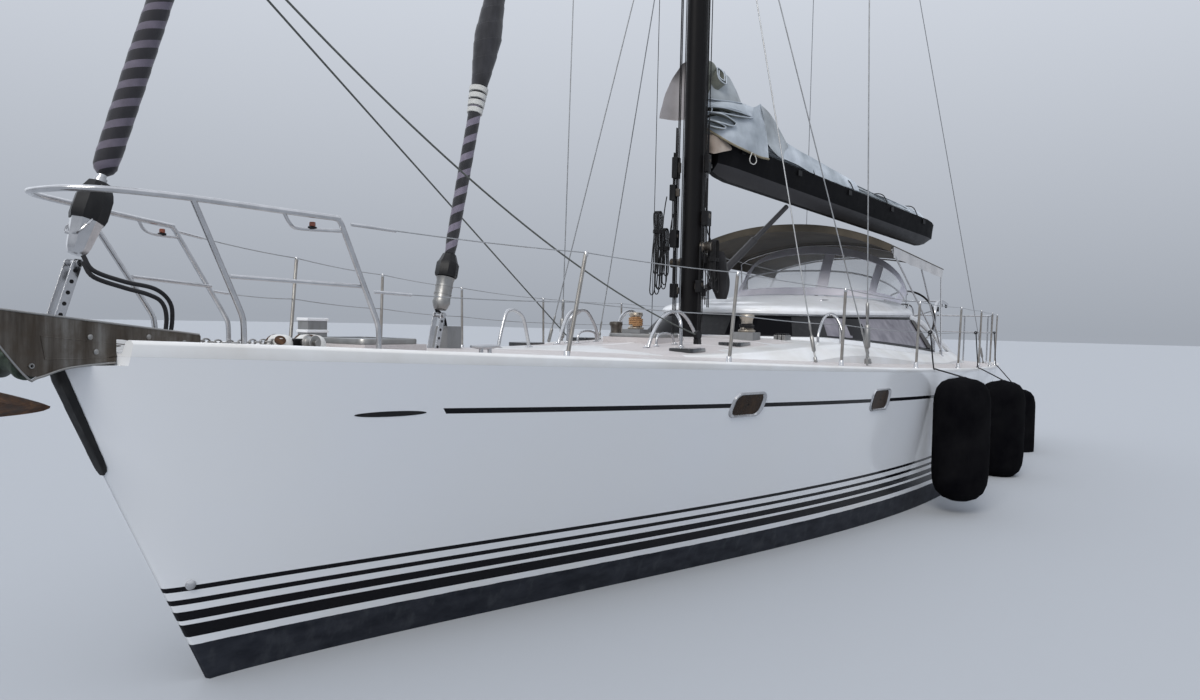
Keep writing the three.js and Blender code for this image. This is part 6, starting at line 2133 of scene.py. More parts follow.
def make_hoses():
    for k, name in enumerate(("upper", "lower")):
        low = 0.030 * k
        hose(
            f"genoa_hose_{name}",
            [(8.735, 0.066, 2.285 - low), (8.70, 0.092, 2.215 - low), (8.55, 0.10, 2.170 - low),
             (8.385 + 1.2 * low, 0.10, 2.142 - low), (8.300 + 1.45 * low, 0.10, 2.080 - 0.2 * low),
             (8.283 + 1.1 * low, 0.10, 1.99), (8.305 + low, 0.10, 1.845)],
        )
        hose(
            f"staysail_hose_{name}",
            [(6.025, -0.046, 2.135 - low), (5.990 + low / 6, -0.052, 2.090 - 0.8 * low),
             (5.940 + low / 2, -0.060, 2.060 - 0.93 * low), (5.893 + 0.8 * low, -0.064, 2.022 - 0.7 * low),
             (5.872 + low, -0.066, 1.968)],
            0.009,
        )
    boxes = Part()
    boxes.add(box((5.78, -0.135, 1.785), (5.95, 0.010, 1.970)))
    boxes.add(box((8.255, 0.060, 1.80), (8.365, 0.140, 1.852)))
    boxes.object("furler_boxes", "grey_plastic", slot="roller_rubber", bevel=0.008)


def make_foredeck_pieces():
    """A steel hoop on the centreline, and a small vent box by the starboard rail."""
    hoop = [
        (5.30, 0, 1.79), (5.264, 0, 1.927), (5.201, 0, 2.075), (5.150, 0, 2.103), (5.076, 0, 2.103),
        (4.958, 0, 2.044), (4.880, 0, 1.86), (4.862, 0, 1.79)
    ]
    part = Part().add(tube(hoop, 50, 0.0145, 12))
    for x in (5.30, 4.862):
        foot_plate(part, x, 0, coachroof_z(x, 0) - 0.003, 0.034)
    part.object("deck_hoop", "steel", slot="polished_steel", angle=60)
    vent = Part().add(box((6.11, -1.155, 1.775), (6.31, -1.045, 2.000)))
    for z in (1.815, 1.905, 1.995):
        vent.add(box((6.10, -1.16, z - 0.012), (6.32, -1.04, z + 0.012)), 1)
    vent.object("rail_vent", ["grey_plastic", "white"], slot="deck_gelcoat", bevel=0.006)


RAIL_LEVEL = 2.315
# Columns: stanchion foot, how far aft its top leans.
STANCHIONS = [
    (6.29, 0.11), (4.76, 0.05), (3.04, 0), (1.00, 0), (-1.30, 0), (-3.30, 0), (-5.20, 0), (-6.90, 0)
]
WIRES = {0.0: (7.660, 0.722, 2.520), 0.32: (7.440, 0.690, 2.165)}


def rail_y(x):
    return deck_half_beam(x) - 0.05


def rail_top(x):
    return max(deck_edge_z(x) + 0.69, RAIL_LEVEL)


def make_lifelines():
    for side, sign in SIDES:
        part = Part()
        for x, lean in STANCHIONS:
            foot = (x, sign * (rail_y(x) - 0.02), deck_edge_z(x) - 0.01)
            head = (x - lean, sign * rail_y(x - lean), rail_top(x) + 0.004)
            part.add(pipe([foot, head], [0.0142, 0.0132], 14), 2)
            part.add(
                lathe([(0, -0.03), (0.015, -0.03), (0.015, 0), (0.010, 0.007), (0, 0.008)], head, sides=12)
            )
            collar = [
                (0.0, -0.01), (0.033, -0.01), (0.033, 0.004), (0.022, 0.012), (0.020, 0.06),
                (0.0145, 0.064), (0, 0.064)
            ]
            part.add(lathe(collar, (foot[0], foot[1], foot[2] + 0.004), sides=16))
        for drop, start in WIRES.items():
            path = [(start[0], sign * start[1], start[2])]
            for x, lean in STANCHIONS:
                held = x - lean * (1 - drop / 0.69)
                path.append((held, sign * (rail_y(held) - drop * 0.02), rail_top(x) - drop))
            path.append((-7.42, sign * (rail_y(-7.42) - drop * 0.02), rail_top(-7.42) - drop))
            fine = []
            for a, b in zip(path, path[1:]):
                for t in np.linspace(0, 1, 6, endpoint=False):
                    fine.append(
                        tuple(lerp(np.array(a), np.array(b), t) - np.array([0, 0, 0.012 * 4 * t * (1 - t)]))
                    )
            fine.append(path[-1])
            part.add(pipe(fine, 0.0038, 6), 1)
            part.add(pipe([fine[0], fine[1]], 0.009, 8), 0)
        part.object(
            f"fine_lifelines_{side}", ["steel", "wire", "stanchion"],
            replaces=f"lifelines_{side}", slot="polished_steel", angle=60,
        )


STERN_RAIL = [(-7.45, 2.075), (-8.0, 2.0), (-8.33, 1.90), (-8.42, 1.5), (-8.44, 0.75), (-8.44, 0.02)]


def make_stern_rail():
    part = Part()
    for z, inset, radius in ((RAIL_LEVEL, 0, RAIL_TUBE), (RAIL_LEVEL - 0.32, 0.012, 0.0115)):
        path = [(x, y - inset, z) for x, y in STERN_RAIL]
        part.add(tube(mirrored_ring(path), 80, radius, 12))
    for x, y in ((-7.46, 2.07), (-8.33, 1.895), (-8.42, 1.45)):
        part.both(bar((x, y, RAIL_LEVEL), (x, y - 0.005, 1.36), RAIL_TUBE, 12))
    davit = spline([
        (-8.25, 0.90, 1.28), (-8.255, 0.90, 1.9), (-8.27, 0.90, 2.3), (-8.36, 0.90, 2.48),
        (-8.55, 0.90, 2.575), (-8.9, 0.90, 2.62), (-9.3, 0.90, 2.60), (-9.645, 0.90, 2.56)
    ], 50)
    part.both(pipe(davit, 0.035, 16))
    part.add(bar((-8.9, -0.9, 2.615), (-8.9, 0.9, 2.615), 0.018, 12))
    part.both(bar((-8.256, 0.9, RAIL_LEVEL), (-8.432, 0.9, RAIL_LEVEL), 0.014, 10))
    for x, y in ((-7.46, 2.065), (-8.33, 1.89), (-8.42, 1.445)):
        foot_plate(part, x, y, deck_edge_z(x) - 0.012)
        foot_plate(part, x, -y, deck_edge_z(x) - 0.012)
    part.object("fine_stern_rail", "steel", replaces="stern_rail", slot="polished_steel", angle=60)
    tackle = Part()
    for y in (0.9, -0.9):
        for x in (-9.0, -9.55):
            tackle.add(lathe([
                (0, -0.018), (0.035, -0.018), (0.04, 0.0), (0.035, 0.018), (0, 0.018)
            ], (x, y, 2.53), (0, 1, 0), 16))
        tackle.add(cylinder(0.05, 0.05, (-8.42, y, 2.44), (0, 1, 0), 18))
    tackle.object("davit_blocks", "black_plastic", slot="polished_steel")


# Each tube of a mast guard: its radius, and its points from the guard's own middle.
GUARD_TUBES = [
    (0.0165, [
        (0.50, -0.05, -0.10), (0.475, -0.048, -0.02), (0.40, -0.04, 0.12), (0.28, -0.02, 0.26),
        (0.13, 0, 0.335), (0, 0, 0.345), (-0.13, 0, 0.342), (-0.27, 0.015, 0.27), (-0.41, 0.03, 0.14),
        (-0.47, 0.037, 0), (-0.49, 0.04, -0.10)
    ]),
    (0.0165, [(0.06, 0.10, -0.10), (0.055, 0.095, 0.10), (0.045, 0.080, 0.25), (-0.02, 0, 0.34)]),
    (0.011, [
        (0.19, -0.10, -0.10), (0.188, -0.10, 0.04), (0.15, -0.10, 0.115), (0, -0.10, 0.137),
        (-0.15, -0.10, 0.115), (-0.19, -0.095, 0.04), (-0.20, -0.09, -0.10)
    ]),
]
GUARD = (3.16, 0.54, 1.795)


def make_guards():
    for side, sign in SIDES:
        part = Part()
        for radius, path in GUARD_TUBES:
            points = [(GUARD[0] + x, sign * (GUARD[1] + y), GUARD[2] + z) for x, y, z in path]
            part.add(tube(points, 50, radius, 12))
            for x, y, z in (points[0], points[-1]):
                if z < GUARD[2]:
                    foot_plate(part, x, y, coachroof_z(x, y) - 0.004, 0.032)
        part.object(
            f"fine_guard_{side}", "steel", replaces=f"mast_guard_{side}", slot="polished_steel", angle=60
        )
    arches = Part()
    path = [
        (0.98, 1.30, 1.83), (0.96, 1.30, 1.95), (0.84, 1.31, 2.10), (0.68, 1.32, 2.17), (0.45, 1.33, 2.17),
        (0.28, 1.34, 2.08), (0.18, 1.345, 1.82)
    ]
    arches.both(tube(path, 50, RAIL_TUBE, 12))
    arches.both(tube(
        [(0.62, 1.48, 1.80), (0.61, 1.47, 1.98), (0.58, 1.40, 2.12), (0.56, 1.33, 2.168)], 24, 0.0145, 12
    ))
    arches.object("side_guards", "steel", slot="polished_steel", angle=60)


MAST_WINCH = (1.62, 0.69)
MAST_WINCH_PAD = 1.95


def winch_body(part, x, y, z, grow=1.0, tall=1.0, slot=0):
    profile = [
        (0, 0), (0.092, 0), (0.095, 0.01), (0.095, 0.02), (0.074, 0.03), (0.068, 0.06), (0.063, 0.10),
        (0.068, 0.135),
        (0.080, 0.15), (0.083, 0.162), (0.079, 0.172), (0.080, 0.182), (0.06, 0.188), (0.03, 0.19),
        (0.028, 0.184), (0.012, 0.183), (0, 0.183),
    ]
    part.add(lathe([(r * grow, h * tall) for r, h in profile], (x, y, z), sides=32), slot)


def turns_round(x, y, z, radius, count, rope=0.0095, pitch=2.1):
    """Rope wound on a drum, each turn on the one before."""
    steps = np.linspace(0, count, round(28 * count))
    angle = 2 * math.pi * steps
    return pipe([(
        x + radius * math.cos(a), y + radius * math.sin(a), z + pitch * rope * t
    ) for a, t in zip(angle, steps)], rope, 8)


def make_winches():
    x, y = MAST_WINCH
    turns = Part()
    for side, sign in SIDES:
        part = Part()
        part.add(box(
            (x - 0.118, sign * y - 0.118, coachroof_z(x, y) - 0.02),
            (x + 0.118, sign * y + 0.118, MAST_WINCH_PAD)
        ), 1)
        winch_body(part, x, sign * y, MAST_WINCH_PAD, tall=1.07)
        part.object(
            f"fine_mast_winch_{side}", ["winch", "grey_plastic"],
            replaces=f"mast_winch_{side}", slot="polished_steel", angle=35, bevel=0.004,
        )
        part = Part()
        part.add(box((-4.79, sign * 1.37 - 0.09, 1.60), (-4.61, sign * 1.37 + 0.09, 1.67)), 1)
        winch_body(part, -4.70, sign * 1.37, 1.67, 1.05)
        part.object(
            f"fine_cockpit_winch_{side}", ["steel", "white"], replaces=f"cockpit_winch_{side}",
            slot="polished_steel", angle=35, bevel=0.004
        )
    turns.add(turns_round(x, -y, MAST_WINCH_PAD + 0.045, 0.076, 4.2, 0.010), 0)
    turns.add(turns_round(x, y, MAST_WINCH_PAD + 0.045, 0.074, 2.2), 1)
    turns.object("winch_turns", ["tan_rope", "black_rope"], slot="polished_steel", angle=60)
    second = Part()
    winch_body(second, 2.10, -0.69, coachroof_z(2.10, 0.69) - 0.004, 0.92)
    second.object("second_winch", "aged_steel", slot="polished_steel", angle=35)
    clutches = Part()
    for k in range(3):
        base = (1.02 + 0.02 * k, 0.86 + 0.055 * k, 1.86)
        clutches.both(box(base, (base[0] + 0.20, base[1] + 0.042, 1.925)), 0)
        clutches.both(
            box((base[0] + 0.03, base[1] + 0.006, 1.925), (base[0] + 0.17, base[1] + 0.036, 1.943)), 1
        )
    clutches.object("rope_clutches", ["dull_steel", "black_plastic"], slot="polished_steel", bevel=0.006)


def make_cleats():
    for end, x, y in (("bow", 6.58, 0.83), ("stern", -7.90, 1.82)):
        for side, sign in SIDES:
            part = Part()
            z = deck_edge_z(x)
            horn = spline([
                (x - 0.15, sign * y, z + 0.066), (x - 0.09, sign * y, z + 0.062), (x, sign * y, z + 0.060),
                (x + 0.09, sign * y, z + 0.062), (x + 0.15, sign * y, z + 0.066)
            ], 24)
            part.add(pipe(
                horn, [0.007 + 0.009 * math.sin(math.pi * clamp(i / 23, 0.05, 0.95)) for i in range(24)], 12
            ))
            for u in (-0.045, 0.045):
                part.add(lathe([
                    (0, -0.06), (0.024, -0.06), (0.020, -0.02), (0.0145, 0.02), (0.0145, 0.058), (0, 0.06)
                ], (x + u, sign * y, z), sides=16))
            part.add(plate(
                rounded(0.17, 0.06, 0.028, 6), 0.012, lambda u, v, w: (x + u, sign * y + v, z - 0.032 + w)
            ))
            part.object(
                f"fine_{end}_cleat_{side}", "steel", replaces=f"{end}_cleat_{side}", slot="polished_steel",
                angle=50
            )


WINDLASS_X = 7.37
LINK_PITCH = 0.036


def make_windlass():
    part = Part()
    x, z = WINDLASS_X, deck_edge_z(WINDLASS_X)
    part.add(plate(rounded(0.416, 0.296, 0.06, 6), 0.028, lambda u, v, w: (x + u, v, z - 0.014 + w)), 0)
    for place, r in ((-0.105, 0.100), (0.125, 0.080)):
        part.add(lathe([
            (0, 0), (r, 0), (r, 0.012), (r * 0.97, 0.05), (r * 0.86, 0.072), (r * 0.62, 0.088),
            (r * 0.3, 0.094), (0, 0.095)
        ], (x + place, 0, z), sides=36), 0)
        opening = [(0, 0), (r * 0.42, 0), (r * 0.42, 0.006), (r * 0.33, 0.010), (0, 0.010)]
        part.add(lathe(opening, (x + place + r * 0.52, r * 0.62, z + 0.060), (0.45, 0.62, 0.62), 20), 2)
        part.add(lathe(opening, (x + place + r * 0.52, -r * 0.62, z + 0.060), (0.45, -0.62, 0.62), 20), 2)
    part.add(box((x - 0.055, -0.075, z), (x + 0.085, 0.075, z + 0.070)), 3)
    part.add(cylinder(0.020, 0.20, (x + 0.015, 0, z + 0.048), (0, 1, 0), 20), 1)
    drum = [
        (0, 0), (0.045, 0), (0.046, 0.006), (0.034, 0.018), (0.030, 0.034), (0.034, 0.050), (0.046, 0.062),
        (0.045, 0.070), (0, 0.070)
    ]
    part.add(lathe(drum, (x + 0.015, 0.110, z + 0.048), (0, 1, 0), 28), 1)
    part.add(lathe(drum, (x + 0.015, -0.110, z + 0.048), (0, -1, 0), 28), 1)
    finishes = ["windlass_white", "dull_steel", "rust", "black_plastic"]
    part.object(
        "fine_windlass", finishes, replaces="windlass", slot="windlass_casting", angle=35, bevel=0.004
    )
    chain = Part()
    start, end = np.array([x + 0.19, 0.02, z + 0.052]), np.array([8.36, 0.0, 1.925])
    path = spline([start, start + [0.12, 0, 0.0], lerp(start, end, 0.5) - [0, 0, 0.03], end], 60)
    length = np.linalg.norm(np.diff(path, axis=0), axis=1).sum()
    links = int(length / LINK_PITCH)
    places = spline(path, links * 2)
    for i in range(links):
        t = (i + 0.5) / links
        p = path[int(t * 59)]
        q = path[min(59, int(t * 59) + 1)]
        along = Vector(q - p).normalized()
        across = Vector((0, 1, 0)) if i % 2 else along.cross(Vector((0, 1, 0))).normalized()
        middle = Vector(places[2 * i])
        ring = [middle + along * 0.024 * math.cos(a) + across * 0.015 * math.sin(a) for a in around(12)]
        chain.add(pipe(ring, 0.005, 6, closed=True))
    chain.object("anchor_chain", "dull_steel", slot="polished_steel", angle=60)


make_pulpit()
make_hoses()
make_foredeck_pieces()
make_lifelines()
make_stern_rail()
make_guards()
make_winches()
make_cleats()
make_windlass()


def make_stem():
    """The stem fitting: two tarnished cheeks with bright edge rods, a tray, a bridge and the roller's pin."""
    outline = [
        (8.15, 1.835), (8.15, 1.905), (8.165, 1.915), (9.27, 2.037), (9.288, 2.03), (9.285, 2.015),
        (9.05, 1.735), (9.02, 1.724), (8.985, 1.722), (8.85, 1.762), (8.618, 1.78), (8.618, 1.888),
        (8.40, 1.878)
    ]
    part, rods, marks = Part(), Part(), Part()
    for y in (0.142, -0.150):
        part.add(plate(outline, 0.008, lambda u, v, w, y=y: (u, y + w, v)))
    part.add(box((8.62, -0.142, 1.781), (8.90, 0.142, 1.790)))
    part.add(box((8.80, -0.145, 1.926), (8.90, 0.145, 1.937)))
    part.add(box((8.84, -0.142, 1.79), (8.90, -0.062, 1.875)))
    part.add(box((8.84, 0.062, 1.79), (8.90, 0.142, 1.875)))
    part.object(
        "fine_stem_fitting", "aged_steel", replaces="stem_fitting", slot="aged_steel", angle=35, bevel=0.002
    )
    for sign in (1, -1):
        y = sign * 0.150
        edge = [(9.283, y, 2.03), (9.05, y, 1.732), (8.985, y, 1.720), (8.85, y, 1.758), (8.625, y, 1.777)]
        rods.add(tube(edge, 40, 0.006, 8))
        rods.add(pipe([(8.16, y, 1.912), (9.275, y, 2.036)], 0.005, 8))
        for x, z in ((9.02, 1.772), (8.72, 1.83), (8.25, 1.87), (8.45, 1.90), (8.75, 1.90)):
            rods.add(lathe([
                (0, 0), (0.013, 0), (0.013, 0.005), (0.008, 0.009), (0, 0.009)
            ], (x, sign * 0.149, z), (0, sign, 0), 6 if x > 9 else 14))
        frame_path = [(8.40, 1.845), (8.98, 1.905), (8.96, 1.80), (8.66, 1.80)]
        marks.add(pipe([(x, sign * 0.1502, z) for x, z in frame_path], 0.0022, 6, closed=True))
    rods.add(cylinder(0.012, 0.158, (9.02, 0, 1.772), (0, 1, 0), 16))
    rods.add(cylinder(0.012, 0.016, (8.87, 0, 1.86), (0, 1, 0), 12))
    rods.object("stem_rods", "dull_steel", slot="aged_steel", angle=50)
    marks.object("stem_ribs", "aged_steel", slot="aged_steel")
    roller = Part()
    profile = [
        (0.02, -0.118), (0.06, -0.118), (0.066, -0.112), (0.064, -0.09), (0.052, -0.06), (0.044, -0.03),
        (0.042, 0), (0.044, 0.03), (0.052, 0.06), (0.064, 0.09), (0.066, 0.112), (0.06, 0.118),
        (0.02, 0.118), (0.02, -0.118)
    ]
    roller.add(lathe(profile, (9.02, 0, 1.772), (0, 1, 0), 36))
    roller.object(
        "fine_roller", "rubber", "anchor_roller", replaces="anchor_roller", slot="roller_rubber", angle=50
    )


def make_anchor():
    part = Part()
    shank = [
        (8.33, 1.91, 0.018), (8.6, 1.905, 0.024), (9.08, 1.868, 0.030), (9.25, 1.822, 0.034),
        (9.36, 1.775, 0.036), (9.43, 1.72, 0.034)
    ]
    rings = []
    for x, z, half in spline(shank, 40):
        rings.append([(x + half * math.sin(0.25) * v, 0.012 * u, z + half * v) for u, v in (
            (1, -0.9), (1, 0.9), (0.6, 1), (-0.6, 1), (-1, 0.9), (-1, -0.9), (-0.6, -1), (0.6, -1)
        )])
    part.add(loft(rings))
    blade = []
    for t in np.linspace(0, 1, 24):
        x = lerp(8.85, 9.50, t)
        ridge = 1.572 + 0.175 * t**0.85
        wide = 0.006 + 0.245 * math.sin(math.pi / 2 * min(1, t * 1.15)) ** 1.1
        back = 1.0 if t < 0.85 else 1 - (t - 0.85) * 1.5
        ring = []
        for u in np.linspace(-1, 1, 13):
            ring.append(
                (x, wide * back * u, ridge - 0.055 * math.sin(math.pi * t) * abs(u) ** 1.4 + 0.02 * t)
            )
        for u in np.linspace(1, -1, 13)[1:-1]:
            ring.append((
                x, wide * back * u,
                ridge - 0.055 * math.sin(math.pi * t) * abs(u) ** 1.4
                - (0.20 * t**0.7 + 0.01) * (1 - abs(u))
            ))
        blade.append(ring)
    part.add(loft(blade))
    part.add(cylinder(0.014, 0.03, (8.36, 0, 1.91), (0, 1, 0), 14))
    part.object("fine_anchor", "rust", replaces="anchor", slot="rusty_iron", angle=40)


# Columns: place along the hull, how much lower the fender hangs.
FENDERS = [(0.45, 0.0), (-2.8, 0.17), (-6.0, 0.45)]


def make_fenders():
    for i, (x, drop) in enumerate(FENDERS):
        part = Part()
        y = deck_half_beam(x + 0.3) + 0.308
        profile = [(0, 0.145), (0.10, 0.15), (0.185, 0.185), (0.25, 0.25), (0.285, 0.34), (0.297, 0.45)]
        profile += [(0.299 + 0.001 * (k % 2), z) for k, z in enumerate(np.linspace(0.5, 1.2, 16))]
        profile += [
            (0.295, 1.28), (0.272, 1.38), (0.22, 1.45), (0.15, 1.485), (0.09, 1.495), (0.05, 1.505),
            (0.03, 1.513), (0, 1.515)
        ]
        part.add(lathe(profile, (x, y, -drop), sides=48))
        fender = part.object(
            f"knitted_fender_{i + 1}", "knit", replaces=f"fender_{i + 1}", slot="fender_cloth", angle=80
        )
        line = Part()
        top = (x, y, 1.51 - drop)
        rail = (x + 0.12, rail_y(x) + 0.005, rail_top(x) - 0.32)
        edge = (x + 0.05, deck_half_beam(x) + 0.012, deck_edge_z(x) - 0.01)
        line.add(tube([
            top, lerp(np.array(top), np.array(edge), 0.5), edge,
            (x + 0.07, deck_half_beam(x) - 0.01, deck_edge_z(x) + 0.02), rail
        ], 40, 0.008, 8))
        line.add(pipe([
            Vector(rail) + Vector((0, 0.016 * math.cos(a), 0.016 * math.sin(a)))
            + Vector((0.02 * k / 24, 0, 0)) for k, a in enumerate(np.linspace(0, 6 * math.pi, 50))
        ], 0.007, 8))
        line.add(pipe([
            (x + 0.03 * math.cos(a), y + 0.03 * math.sin(a), 1.505 - drop) for a in around(20)
        ], 0.009, 8, closed=True))
        line.object(f"fender_line_{i + 1}", "black_rope", slot="fender_cloth", angle=60)


def make_underwater():
    fin = Part()
    outline = [
        (0.5, 0.0), (0.497, 0.12), (0.485, 0.30), (0.46, 0.46), (0.42, 0.62), (0.35, 0.80), (0.27, 0.93),
        (0.18, 0.995), (0.08, 0.99), (-0.05, 0.90), (-0.2, 0.70), (-0.35, 0.42), (-0.5, 0.04)
    ]
    foil = lambda x, chord, thick, z: [(x + chord * a, thick / 2 * b, z) for a, b in outline] + [
        (x + chord * a, -thick / 2 * b, z) for a, b in reversed(outline[1:])
    ]
    fin.add(loft([foil(*row) for row in spline(
        [(0.45, 2.9, 0.33, -0.45), (0.42, 2.5, 0.29, -1.0), (0.25, 1.9, 0.25, -2.35)], 24
    )]))
    bulb = spline([
        (1.65, 0.001), (1.60, 0.065), (1.50, 0.11), (1.05, 0.21), (0.45, 0.24), (-0.25, 0.22), (-1.0, 0.12),
        (-1.35, 0.04), (-1.35, 0.001)
    ], 50)
    fin.add(
        loft([[(x, r * math.cos(a), -2.3 + 0.9 * r * math.sin(a)) for a in around(32)] for x, r in bulb])
    )
    fin.object("fine_keel", "antifouling", replaces="keel", slot="antifouling", angle=40)
    blade = Part()
    blade.add(loft([foil(*row) for row in spline([
        (-7.79, 0.9, 0.13, -0.33), (-7.76, 0.78, 0.11, -1.1), (-7.73, 0.66, 0.092, -1.85),
        (-7.73, 0.60, 0.05, -1.95)
    ], 24)]))
    blade.add(bar((-7.6, 0, -0.40), (-7.6, 0, 0.095), 0.049, 24))
    blade.object("fine_rudder", "antifouling", "rudder", replaces="rudder", slot="antifouling", angle=40)
    shaft_z = lambda x: lerp(-0.72, -0.93, (x + 4.3) / -1.6)
    strut = Part()
    z = shaft_z(-5.6)
    strut.add(loft([
        foil(-5.6, 0.19, 0.03, z), foil(-5.58, 0.21, 0.032, (z - 0.3) / 2), foil(-5.56, 0.23, 0.034, -0.42)
    ]))
    axis = (1, 0, shaft_z(-4.3) - shaft_z(-5.3))
    strut.add(lathe([
        (0.029, -0.072), (0.046, -0.072), (0.052, -0.05), (0.052, 0.05), (0.046, 0.072), (0.029, 0.072),
        (0.029, -0.072)
    ], (-5.6, 0, z), axis, 28))
    strut.object("fine_strut", "bronze", replaces="shaft_strut", slot="bronze", angle=40)
    screw = Part()
    screw.add(bar((-4.17, 0, shaft_z(-4.17)), (-5.78, 0, shaft_z(-5.78)), 0.021, 20), 1)
    screw.add(lathe([
        (0, -0.085), (0.022, -0.083), (0.04, -0.07), (0.052, -0.03), (0.062, 0.03), (0.062, 0.075),
        (0, 0.075)
    ], (-5.78, 0, shaft_z(-5.78)), axis, 28), 0)
    tilt = Matrix.Rotation(-math.atan2(-0.21, -1.6) + math.pi, 3, "Y")
    for i in range(3):
        angle = 2 * math.pi * i / 3
        out = Vector((0, math.cos(angle), math.sin(angle)))
        turn = Vector((0, -math.sin(angle), math.cos(angle)))
        rings = []
        for t in np.linspace(0, 1, 18):
            radius = lerp(0.03, 0.292, t)
            chord = 0.09 + 0.115 * math.sin(math.pi * min(1, t * 0.95)) ** 0.8 - 0.06 * t**4
            chord *= math.sqrt(max(0.02, 1 - max(0, (t - 0.82) / 0.18) ** 2))
            pitch = lerp(1.0, 0.42, t)
            across = turn * math.cos(pitch) + Vector((math.sin(pitch), 0, 0))
            thick = out.cross(across).normalized() * lerp(0.010, 0.003, t)
            ring = []
            for a in around(16):
                p = out * radius + across * (chord / 2 * math.cos(a)) + thick * math.sin(a)
                ring.append(tilt @ p + Vector((-5.78, 0, shaft_z(-5.78))))
            rings.append(ring)
        screw.add(loft(rings), 0)
    screw.object(
        "fine_propeller", ["bronze", "dull_steel"], "propeller", replaces="propeller", slot="bronze",
        angle=40
    )


make_stem()
make_anchor()
make_fenders()
make_underwater()


# Running rigging

CLEW_Z = 4.15
# The genoa's sheets: their lower ends on deck, and how far each one sags.
SHEET_ENDS = [(3.20, 0.80, 1.92, 0.28), (1.60, -1.60, 1.80, 0.0)]
SHEET_ROPE = 0.014


def make_sheets():
    """The genoa's sheets, from its clew to the blocks on deck: one slack, one taut."""
    part = Part()
    clew = stay_at(*GENOA, CLEW_Z)
    for x, y, z, sag in SHEET_ENDS:
        start = clew + Vector((-0.05, math.copysign(0.05, y), 0))
        path = [
            start.lerp(Vector((x, y, z)), t) - Vector((0, 0, 4 * sag * t * (1 - t)))
            for t in np.linspace(0, 1, 32)
        ]
        if sag:
            slack = Part().add(pipe(path, SHEET_ROPE / 2, 8))
            made = slack.object("slack_genoa_sheet", "sheet_rope", slot="headsail_cloth", angle=60)
        else:
            part.add(pipe([path[0], path[-1]], SHEET_ROPE / 2, 8), 0)
        part.add(lathe(
            [(0, -0.02), (0.042, -0.02), (0.046, 0), (0.042, 0.02), (0, 0.02)], (x, y, z), (0.2, 1, 0), 18
        ), 1)
        part.add(box((x - 0.035, y - 0.025, z - 0.085), (x + 0.035, y + 0.025, z - 0.035)), 1)
    part.object("genoa_sheets", ["sheet_rope", "black_plastic"], slot="headsail_cloth", angle=60)


# Halyards beside the mast. Columns: x, y, lower end, upper end, radius.
HALYARDS = [
    (1.800, -0.050, 2.02, 23.4, 0.0055), (1.786, -0.100, 2.10, 23.4, 0.0065),
    (1.740, -0.140, 2.02, 18.8, 0.006),
    (1.690, -0.160, 2.30, 23.4, 0.005), (1.600, 0.142, 2.05, 23.4, 0.006),
    (1.545, 0.150, 2.25, 18.8, 0.0055),
    (1.655, 0.136, 2.02, 23.4, 0.005), (1.430, 0.060, 2.55, 23.4, 0.0055),
    (1.980, -0.300, 1.86, 23.4, 0.004),
]
# Blocks and stoppers on the mast's sides: x, y, middle height, half sizes.
BLOCKS = [
    (1.76, -0.150, 3.78, (0.05, 0.035, 0.12)), (1.78, -0.165, 3.50, (0.045, 0.035, 0.09)),
    (1.80, -0.13, 2.98, (0.05, 0.04, 0.10)),
    (1.58, 0.155, 3.84, (0.04, 0.030, 0.10)), (1.60, 0.165, 3.22, (0.06, 0.040, 0.085)),
    (1.50, 0.165, 2.72, (0.05, 0.045, 0.08)),
    (1.70, 0.145, 2.45, (0.05, 0.035, 0.07)), (1.74, -0.15, 2.40, (0.05, 0.035, 0.08)),
]


def make_mast_lines():
    part = Part()
    for x, y, low, high, radius in HALYARDS:
        part.add(bar((x, y, low), (x, y, high), radius, 7))
    for x, y, z, _ in BLOCKS:
        for lean in (-0.02, 0.022):
            part.add(bar((x + lean, y, z - 0.5), (x + lean * 0.5, y, z + 0.45), 0.0062, 7))
    part.object("halyards", "black_rope", slot="mast_paint", angle=60)
    gear = Part()
    for x, y, z, (a, b, c) in BLOCKS:
        inner = math.copysign(0.09, y)
        gear.add(box((x - a, min(y - b, y + b), z - c), (x + a, max(y - b, y + b), z + c)), 0)
        gear.add(
            box((x - a * 0.4, min(inner, y), z - c * 0.5), (x + a * 0.4, max(inner, y), z + c * 0.5)), 1
        )
        gear.add(lathe([
            (0, -b - 0.006), (a * 0.5, -b - 0.006), (a * 0.5, b + 0.006), (0, b + 0.006)
        ], (x, y, z + c * 0.3), (0, 1, 0), 16), 1)
    drum = [
        (0, 0), (0.062, 0), (0.062, 0.02), (0.044, 0.05), (0.05, 0.12), (0.058, 0.14), (0.02, 0.15),
        (0, 0.15)
    ]
    for x, z, way in ((1.60, 2.90, 1), (1.62, 2.72, -1)):
        gear.add(lathe(drum, (x, 0.108 * way, z), (0, way, 0), 24), 1)
    gear.object("mast_blocks", ["black_plastic", "aged_steel"], slot="mast_paint", bevel=0.012)


HANK_ROPE = 0.013
# Halyard tails in hanks. Columns: name, x, y, top, length of the loops, turns, way outwards.
HANKS = [
    ("fore", 1.93, -0.235, 3.28, 0.98, 5, -1), ("middle", 1.80, -0.215, 3.10, 0.72, 5, -1),
    ("aft", 1.56, 0.215, 2.98, 0.62, 5, 1),
]
HANK_BEND = 0.055
TIE_DROP = 0.24


